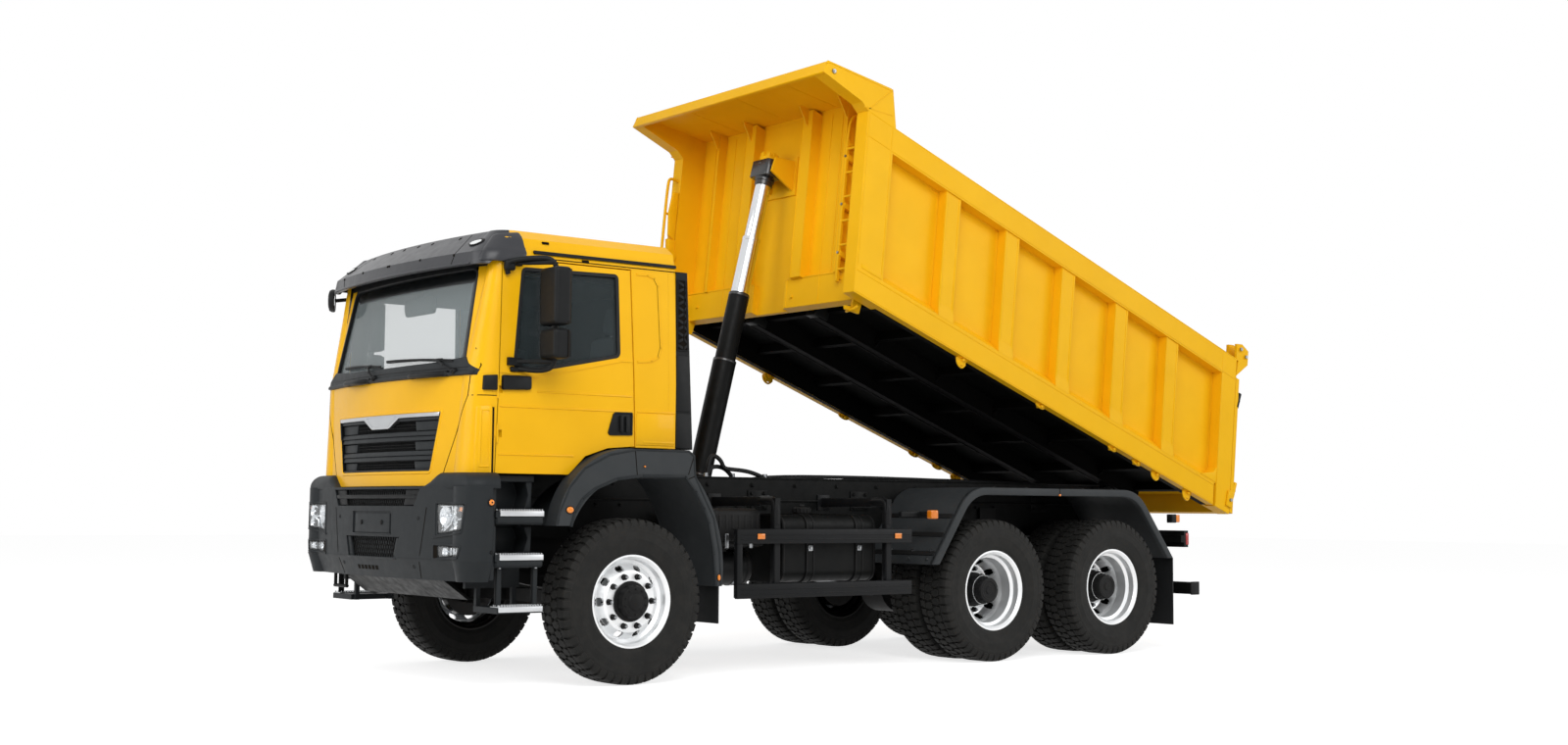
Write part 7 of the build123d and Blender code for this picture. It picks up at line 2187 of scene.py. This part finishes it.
    def front_trim(self) -> None:
        """Folds and fins on the front wall, the ladder's brackets and the stops under it."""
        form = Form()
        for sign in (-1, 1):
            for y0, y1, deep in ((0.300, 0.430, 0.095), (0.815, 0.845, 0.080)):
                a, b = sorted((sign * y0, sign * y1))
                for edge in (a + 0.004, b - 0.004):
                    form.add(lean_over(slab((self.wall + deep - 0.002, edge - 0.004, 0.34),
                                            (self.wall + deep + 0.003, edge + 0.004, 1.590), edge=0.002)))
                s = self.wall + LEAN * 1.48
                mid = (a + b) / 2
                fin = [(s, 1.475), (s + deep, 1.475), (s + 0.250, 1.618), (s + 0.030, 1.635)]
                form.add(plate(fin, Along.Y, mid - 0.006, mid + 0.006))
            for y in (0.560, 0.690, 0.965):
                form.add(lean_over(slab((self.wall - 0.002, sign * y - 0.004, 0.340),
                                        (self.wall + 0.0035, sign * y + 0.004, 1.590), edge=0.002)))
            for y in (0.225, 0.62, 1.10):
                form.add(lean_over(slab((self.wall + 0.052, sign * y - 0.005, 0.115),
                                        (self.wall + 0.0585, sign * y + 0.005, 0.326), edge=0.002)))
            for y, n in ((0.300, 0.190), (0.960, 0.215)):
                s = self.wall + 0.055 + LEAN * n
                form.add(bar((s, sign * y, n), (s + 0.012, sign * y, n), 0.016, 0.014, 6))
            form.add(lean_over(slab((self.wall, sign * 0.205, 0.322),
                                    (self.wall + 0.060, sign * 1.120, 0.334), edge=0.003)))
        for n in (0.45, 0.81, 1.17):
            s = self.wall + LEAN * n
            for y in (0.876, 1.076):
                form.add(slab((s - 0.004, y - 0.016, n - 0.022),
                              (s + 0.092, y + 0.016, n + 0.022), edge=0.004))
                form.add(bar((s + 0.09, y, n), (s + 0.108, y, n), 0.011, sides=6), 1)
        s, n = self.wall + 0.087 + LEAN * 1.30, 1.300
        for y in (0.876, 1.076):
            form.add(pipe([(s, y, n - 0.02), (s + 0.03, y, n + 0.10), (s + 0.02, y, n + 0.20),
                           (s - 0.04, y, n + 0.25)], 0.011))
        form.piece("bed_front_fins_and_brackets", "bed", [BED_PAINT, STEEL], where=BED, slot="bed_paint")
        stops = Form()
        for sign in (-1, 1):
            a, b = sorted((sign * 0.335, sign * 0.445))
            stops.add(slab((3.595, a, 0.100), (3.612, b, 0.245), edge=0.006))
            for y in (a, b):
                stops.add(slab((3.480, y - 0.006, 0.104), (3.610, y + 0.006, 0.244), edge=0.004))
            stops.add(slab((3.480, a, 0.098), (3.612, b, 0.112), edge=0.006))
        stops.piece("sill_end_stops", "bed", [FRAME_BLACK], where=BED, slot="frame_black")

    def rope_rail(self) -> None:
        """The sheeting gear at the front wall's right edge: a bent rail, a lever and its strap."""
        form = Form()
        y = -1.175

        def at(n: float, off: float) -> Point:
            """A place ahead of the front post at one height."""
            return (3.890 + LEAN * n + off, y, n)

        rail = [at(1.200, 0.0), at(1.205, 0.080), at(1.130, 0.100), at(0.700, 0.100), at(0.260, 0.100),
                at(0.200, 0.070), at(0.210, 0.0)]
        form.add(pipe(rail, 0.0125, sides=4))
        for n in (0.520, 0.900):
            form.add(pipe([at(n, 0.0), at(n, 0.100)], 0.010, smooth=False))
        lever = [(3.895, 0.700), (3.960, 0.720), (3.975, 0.900), (3.950, 1.080), (3.895, 1.100)]
        form.add(lean_over(plate(lever, Along.Y, y + 0.020, y + 0.045, edge=0.005)))
        arm = [(3.895, 0.480), (3.940, 0.480), (3.965, 0.690), (3.895, 0.700)]
        form.add(lean_over(plate(arm, Along.Y, y + 0.005, y + 0.060, edge=0.006)))
        spool = [(-0.050, 0.0005), (-0.050, 0.052), (-0.040, 0.054), (-0.036, 0.040), (0.036, 0.040),
                 (0.040, 0.054), (0.050, 0.052), (0.050, 0.0005)]
        spot = Matrix.Translation((3.945 + LEAN * 0.56, y + 0.030, 0.560))
        form.add(placed(lathe(spool, 32), spot))
        strap = [(-0.034, 0.041), (-0.034, 0.047), (0.034, 0.047), (0.034, 0.041)]
        form.add(placed(lathe(strap, 32, closed=True), spot), 1)
        form.piece("sheeting_gear", "bed", [BED_PAINT, RUBBER], where=BED, slot="bed_paint")

    def underside(self) -> None:
        """Black underbody coating on the floor and inside the side rails, and gussets at the bearers."""
        form = Form()
        low = self.rail_top - 0.020
        floor = [(self.rear + 0.24 + LEAN * low, low - 0.0022),
                 (self.wall - 0.030 + LEAN * low, low - 0.0022),
                 (self.wall - 0.030 + LEAN * low, low - 0.0004),
                 (self.rear + 0.24 + LEAN * low, low - 0.0004)]
        form.add(plate(floor, Along.Y, -1.1235, 1.1235))
        form.both(lean_over(slab((self.rear + 0.235, 1.1225, 0.0765), (3.870, 1.1246, low))))
        form.both(lean_over(slab((self.rear + 0.235, 1.1225, 0.0735), (3.600, 1.1800, 0.0748))))
        for sign in (-1, 1):
            for edge in (0.345, 0.435):
                a, b = sorted((sign * (edge - 0.008), sign * (edge + 0.008)))
                form.add(slab((-0.370, a, 0.093), (3.560, b, 0.103), edge=0.003))
            for s in (0.170, 0.860, 1.555, 2.250, 2.945):
                a, b = sorted((sign * 0.430, sign * 0.560))
                form.add(plate([(a, 0.243), (b, 0.243), (b if sign < 0 else a, 0.120)], Along.X,
                               s - 0.005, s + 0.005))
        form.piece("bed_underbody_coating", "bed", [UNDERBODY], where=BED, slot="frame_black")

    def canopy(self) -> None:
        """The cab guard's seams, lip, bolt and under-ribs."""
        form = Form()
        for y in (-0.62, 0.0, 0.62):
            run = strip([(4.100, 1.6235), (4.700, 1.5220)], Along.Y, y - 0.004, y + 0.004, 0.004)[0]
            form.add(run)
        form.both(plate([(4.090, 1.640), (4.115, 1.655), (4.729, 1.549), (4.735, 1.520), (4.700, 1.540)],
                        Along.Y, self.face - 0.010, self.face + 0.003, edge=0.002))
        form.add(slab((4.722, -1.235, 1.444), (4.745, 1.235, 1.456), edge=0.004))
        for path in (((4.262, 1.392), (4.100, 1.652)), ((4.030, 1.470), (4.300, 1.400))):
            for run in strip(path, Along.Y, self.face - 0.003, self.face + 0.0022, 0.008):
                form.both(run)
        form.both(bar((4.655, self.face, 1.500), (4.655, self.face + 0.012, 1.500), 0.020, 0.017, 6), 1)
        form.both(bar((4.655, self.face + 0.010, 1.500), (4.655, self.face + 0.018, 1.500), 0.009, 0.008, 12),
                  1)
        form.piece("cab_guard_seams", "bed", [BED_PAINT, STEEL], where=BED, slot="bed_paint")


@dataclass
class Tailgate:
    """Bolts and latches of the tailgate. Sizes are metres in (s, y, n)."""

    def build(self) -> None:
        """Makes what rides on the bed's ears and what rides on the gate."""
        ears = Form()
        for sign in (-1, 1):
            for s, n in ((-0.318, 1.492), (-0.405, 1.455)):
                y = sign * 1.250
                ears.add(bar((s, y, n), (s, y + sign * 0.006, n), 0.024, 0.023, 20))
                ears.add(bar((s, y + sign * 0.005, n), (s, y + sign * 0.020, n), 0.017, 0.016, 6), 1)
        for sign in (-1, 1):
            a, b = sorted((sign * 1.252, sign * 1.268))
            lug = [(-0.650, 0.130), (-0.580, 0.130), (-0.565, 0.260), (-0.620, 0.285), (-0.645, 0.250)]
            ears.add(plate(lug, Along.Y, a, b, edge=0.003))
            ears.add(bar((-0.610, sign * 1.266, 0.190), (-0.610, sign * 1.282, 0.190), 0.016, 0.015, 6), 1)
        ears.piece("tailgate_ear_bolts", "bed", [BED_PAINT, STEEL], where=BED, slot="bed_paint")
        gate = Form()
        back = -0.722
        for sign in (-1, 1):
            for n in (0.300, 1.060):
                s = back + LEAN * n
                a, b = sorted((sign * 1.205, sign * 1.250))
                gate.add(slab((s - 0.030, a, n - 0.070), (s + 0.004, b, n + 0.070), edge=0.006),
                         1 if n > 1 else 0)
                gate.add(bar((s - 0.040, sign * 1.228, n), (s - 0.020, sign * 1.228, n), 0.014, 0.013, 6), 1)
        for n in (0.420, 0.760, 1.100):
            gate.add(lean_over(slab((back - 0.010, -1.235, n - 0.030),
                                    (back + 0.002, 1.235, n + 0.030), edge=0.005)))
        for y in (-0.9, -0.45, 0.0, 0.45, 0.9):
            cap = [(back - 0.050 + LEAN * 1.300, 1.300), (back + LEAN * 1.300, 1.300),
                   (back + LEAN * 1.340, 1.340)]
            gate.add(plate(cap, Along.Y, y - 0.058, y + 0.058, edge=0.002))
        gate.piece("tailgate_bands_and_latches", "tailgate", [BED_PAINT, CAST], where=BED, slot="bed_paint")


# ---------------------------------------------------------------- hoist

HOIST = AXLE @ Matrix.Translation((-1.290, 0, 0.990)) @ Matrix.Rotation(math.radians(-14.367), 4, "Y")
UPRIGHT = Matrix.Rotation(math.radians(90), 4, "X")


@dataclass
class Hoist:
    """The hoist's collars and its last stage with the head. Distances run up its axis from the foot."""

    radii: tuple = (0.0900, 0.0807, 0.0714, 0.0621)
    tops: tuple = (1.350, 1.890, 2.355)
    reach: float = 2.942

    def collar(self, low: float, high: float, inner: float, outer: float) -> bmesh.types.BMesh:
        """A ring round the axis with soft edges.

        Args:
            low: the start along the axis.
            high: the end along the axis.
            inner: the inner radius.
            outer: the outer radius.

        Returns:
            The ring.
        """
        soft = min(0.004, (high - low) / 4)
        profile = [(low, inner), (low, outer - soft), (low + soft, outer), (high - soft, outer),
                   (high, outer - soft), (high, inner)]
        return placed(lathe(profile, 64, closed=True), UPRIGHT)

    def build(self) -> None:
        """Makes the collars of each stage and the bright rod with its head."""
        barrel = Form()
        for low, high, proud in ((1.330, 1.351, 0.0015), (0.420, 0.440, 0.003), (-0.050, 0.030, 0.005)):
            barrel.add(self.collar(low, high, self.radii[0] - 0.002, self.radii[0] + proud))
        barrel.add(self.collar(1.344, 1.354, self.radii[1] + 0.0005, self.radii[0] + 0.001), 1)
        barrel.piece("hoist_barrel_collars", "hoist_barrel", [HOIST_BLACK, RUBBER], where=HOIST, slot="cast")
        lower = Form()
        lower.add(self.collar(self.tops[1] - 0.022, self.tops[1] + 0.001, self.radii[1] - 0.002,
                              self.radii[1] + 0.0015))
        lower.add(self.collar(self.tops[1] - 0.004, self.tops[1] + 0.005, self.radii[2] + 0.0004,
                              self.radii[1] - 0.001), 1)
        lower.piece("hoist_stage_low_collar", "hoist_stage_low", [HOIST_BLACK, RUBBER],
                    where=HOIST, slot="cast")
        upper = Form()
        upper.add(self.collar(self.tops[2] - 0.030, self.tops[2] + 0.001, self.radii[2] - 0.002,
                              self.radii[2] + 0.0018))
        upper.piece("hoist_stage_high_collar", "hoist_stage_high", [CHROME], where=HOIST, slot="chrome")
        self.head()

    def head(self) -> None:
        """The bright rod, its black head block and the yellow nut on top."""
        top = self.reach
        form = Form()
        start, end = top - 1.350 + 0.060, top - 0.062
        rod = [(start, 0.0005), (start, self.radii[3] - 0.002), (start + 0.003, self.radii[3]),
               (end, self.radii[3]), (end, 0.0005)]
        form.add(placed(lathe(rod, 72), UPRIGHT))
        body = slab((-0.080, -0.120, top - 0.085), (0.080, 0.120, top + 0.052))
        round_edges(body, [e for e in body.edges if abs((e.verts[0].co - e.verts[1].co).z) > 0.1], 0.040, 6)
        rims = [e for e in body.edges if len(e.link_faces) == 2 and e.calc_face_angle() > 1.2]
        round_edges(body, rims, 0.008, 3)
        form.add(body, 1)
        form.add(self.collar(top - 0.150, top - 0.083, self.radii[3] - 0.001, 0.072), 1)
        form.add(self.collar(top - 0.115, top - 0.083, self.radii[3] - 0.001, 0.079), 1)
        form.add(self.collar(top + 0.018, top + 0.030, 0.060, 0.0835), 1)
        cap = [(top + 0.046, 0.0005), (top + 0.046, 0.074), (top + 0.084, 0.074), (top + 0.090, 0.068),
               (top + 0.100, 0.064), (top + 0.106, 0.056), (top + 0.106, 0.0005)]
        form.add(placed(lathe(cap, 48), UPRIGHT), 2)
        for i in range(8):
            turn = Matrix.Rotation(math.tau * i / 8, 4, "Z")
            form.add(slab((0.046, -0.014, top + 0.080), (0.0715, 0.014, top + 0.122), edge=0.003), 2, turn)
        for sign in (-1, 1):
            form.add(bar((0.0, sign * 0.112, top), (0.0, sign * 0.1204, top), 0.046, 0.044, 32), 1)
        form.piece("hoist_rod_and_head", "hoist_rod", [CHROME, HOIST_BLACK, BED_PAINT], where=HOIST,
                   slot="chrome", replaces=["hoist_rod"])


class Studio:
    """The floor, the lamps, the sky and the camera."""

    def build(self) -> None:
        """Makes everything that isn't the truck."""
        self._floor()
        self._sky()
        self._lamps()
        self._camera()

    def _floor(self) -> None:
        """A wide pale floor that keeps the truck's shadow."""
        form = bmesh.new()
        bmesh.ops.create_grid(form, x_segments=1, y_segments=1, size=60)
        mesh = bpy.data.meshes.new("floor")
        form.to_mesh(mesh)
        form.free()
        floor = bpy.data.objects.new("floor", mesh)
        bpy.context.scene.collection.objects.link(floor)
        made = bpy.data.materials.new("pale_floor")
        made.use_nodes = True
        tree = made.node_tree
        tree.nodes.clear()
        diffuse = add_node(tree, "BsdfDiffuse", {"Color": (0.72, 0.72, 0.72, 1)})
        path = add_node(tree, "LightPath")
        lit = add_node(tree, "Math", {0: path.outputs["Is Camera Ray"], 1: path.outputs["Is Glossy Ray"]},
                       operation="MAXIMUM")
        lit = add_node(tree, "Math", {0: lit.outputs["Value"], 1: path.outputs["Is Transmission Ray"]},
                       operation="MAXIMUM")
        seen = add_node(tree, "Math", {0: lit.outputs["Value"], 1: 0.74}, operation="MULTIPLY")
        glow = add_node(tree, "Emission", {"Strength": seen.outputs["Value"]})
        both = add_node(tree, "AddShader", {0: diffuse.outputs["BSDF"], 1: glow.outputs["Emission"]})
        add_node(tree, "OutputMaterial", {"Surface": both.outputs["Shader"]})
        floor.data.materials.append(made)

    def _sky(self) -> None:
        """A white sky for what looks straight at it, and a dimmer one as the light."""
        world = bpy.data.worlds.new("sky")
        bpy.context.scene.world = world
        world.use_nodes = True
        tree = world.node_tree
        tree.nodes.clear()
        path = add_node(tree, "LightPath")
        seen = add_node(tree, "Math", {0: path.outputs["Is Camera Ray"],
                                       1: path.outputs["Is Transmission Ray"]}, operation="MAXIMUM")
        seen = add_node(tree, "Math", {0: seen.outputs["Value"], 1: path.outputs["Is Glossy Ray"]},
                        operation="MAXIMUM")
        strength = add_node(tree, "MapRange",
                            {"Value": seen.outputs["Value"], "To Min": 0.34, "To Max": 1.0}).outputs["Result"]
        glow = add_node(tree, "Background", {"Color": (1, 1, 1, 1), "Strength": strength})
        add_node(tree, "OutputWorld", {"Surface": glow.outputs["Background"]})

    def _lamps(self) -> None:
        """Three wide soft lamps: one from the front left, one from ahead and one from the rear left."""
        for name, place, size, watts in (("key", (7.0, 9.0, 8.5), 7.0, 850.0),
                                         ("front", (12.0, -1.0, 5.0), 6.0, 330.0),
                                         ("fill", (-8.0, 9.0, 6.0), 7.0, 400.0)):
            lamp = bpy.data.lights.new(name, "AREA")
            lamp.size = size
            lamp.energy = watts
            obj = bpy.data.objects.new(name, lamp)
            obj.location = place
            obj.rotation_mode = "QUATERNION"
            obj.rotation_quaternion = (Vector(place) - Vector((0, 0, 1.5))).to_track_quat("Z", "Y")
            bpy.context.scene.collection.objects.link(obj)

    def _camera(self) -> None:
        """A camera a little above knee height, off the truck's front left corner."""
        eye = (6.6045, 11.2118, 1.1513)
        yaw, pitch, roll = math.radians(-128.164), math.radians(4.348), math.radians(0.399)
        sensor_mm, focal_px, photo_px = 36.0, 1844.43, 1600
        look = Vector((math.cos(pitch) * math.cos(yaw), math.cos(pitch) * math.sin(yaw), math.sin(pitch)))
        right = Vector((math.sin(yaw), -math.cos(yaw), 0))
        up = right.cross(look)
        right, up = (math.cos(roll) * right + math.sin(roll) * up,
                     -math.sin(roll) * right + math.cos(roll) * up)
        data = bpy.data.cameras.new("camera")
        data.sensor_width = sensor_mm
        data.lens = sensor_mm * focal_px / photo_px
        data.clip_end = 200
        camera = bpy.data.objects.new("camera", data)
        turn = Matrix((right, up, -look)).transposed().to_4x4()
        camera.matrix_world = AXLE @ Matrix.Translation(eye) @ turn
        bpy.context.scene.collection.objects.link(camera)
        bpy.context.scene.camera = camera


def main() -> None:
    """Builds the truck's dress in order."""
    logging.basicConfig(level=logging.INFO)
    bpy.context.scene.view_settings.view_transform = "Standard"
    paint_frame()
    Wheels().build()
    Grille().build()
    Windscreen().build()
    CabPanels().build()
    Door("left", 1).build()
    Door("right", -1).build()
    FrontMirror().build()
    Bumper().build()
    Headlamps().build()
    Steps().build()
    Fenders().build()
    SideEquipment().build()
    RearEnd().build()
    Seats().build()
    Bed().build()
    Tailgate().build()
    Hoist().build()
    Studio().build()
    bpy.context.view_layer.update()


if __name__ == "__main__":
    main()
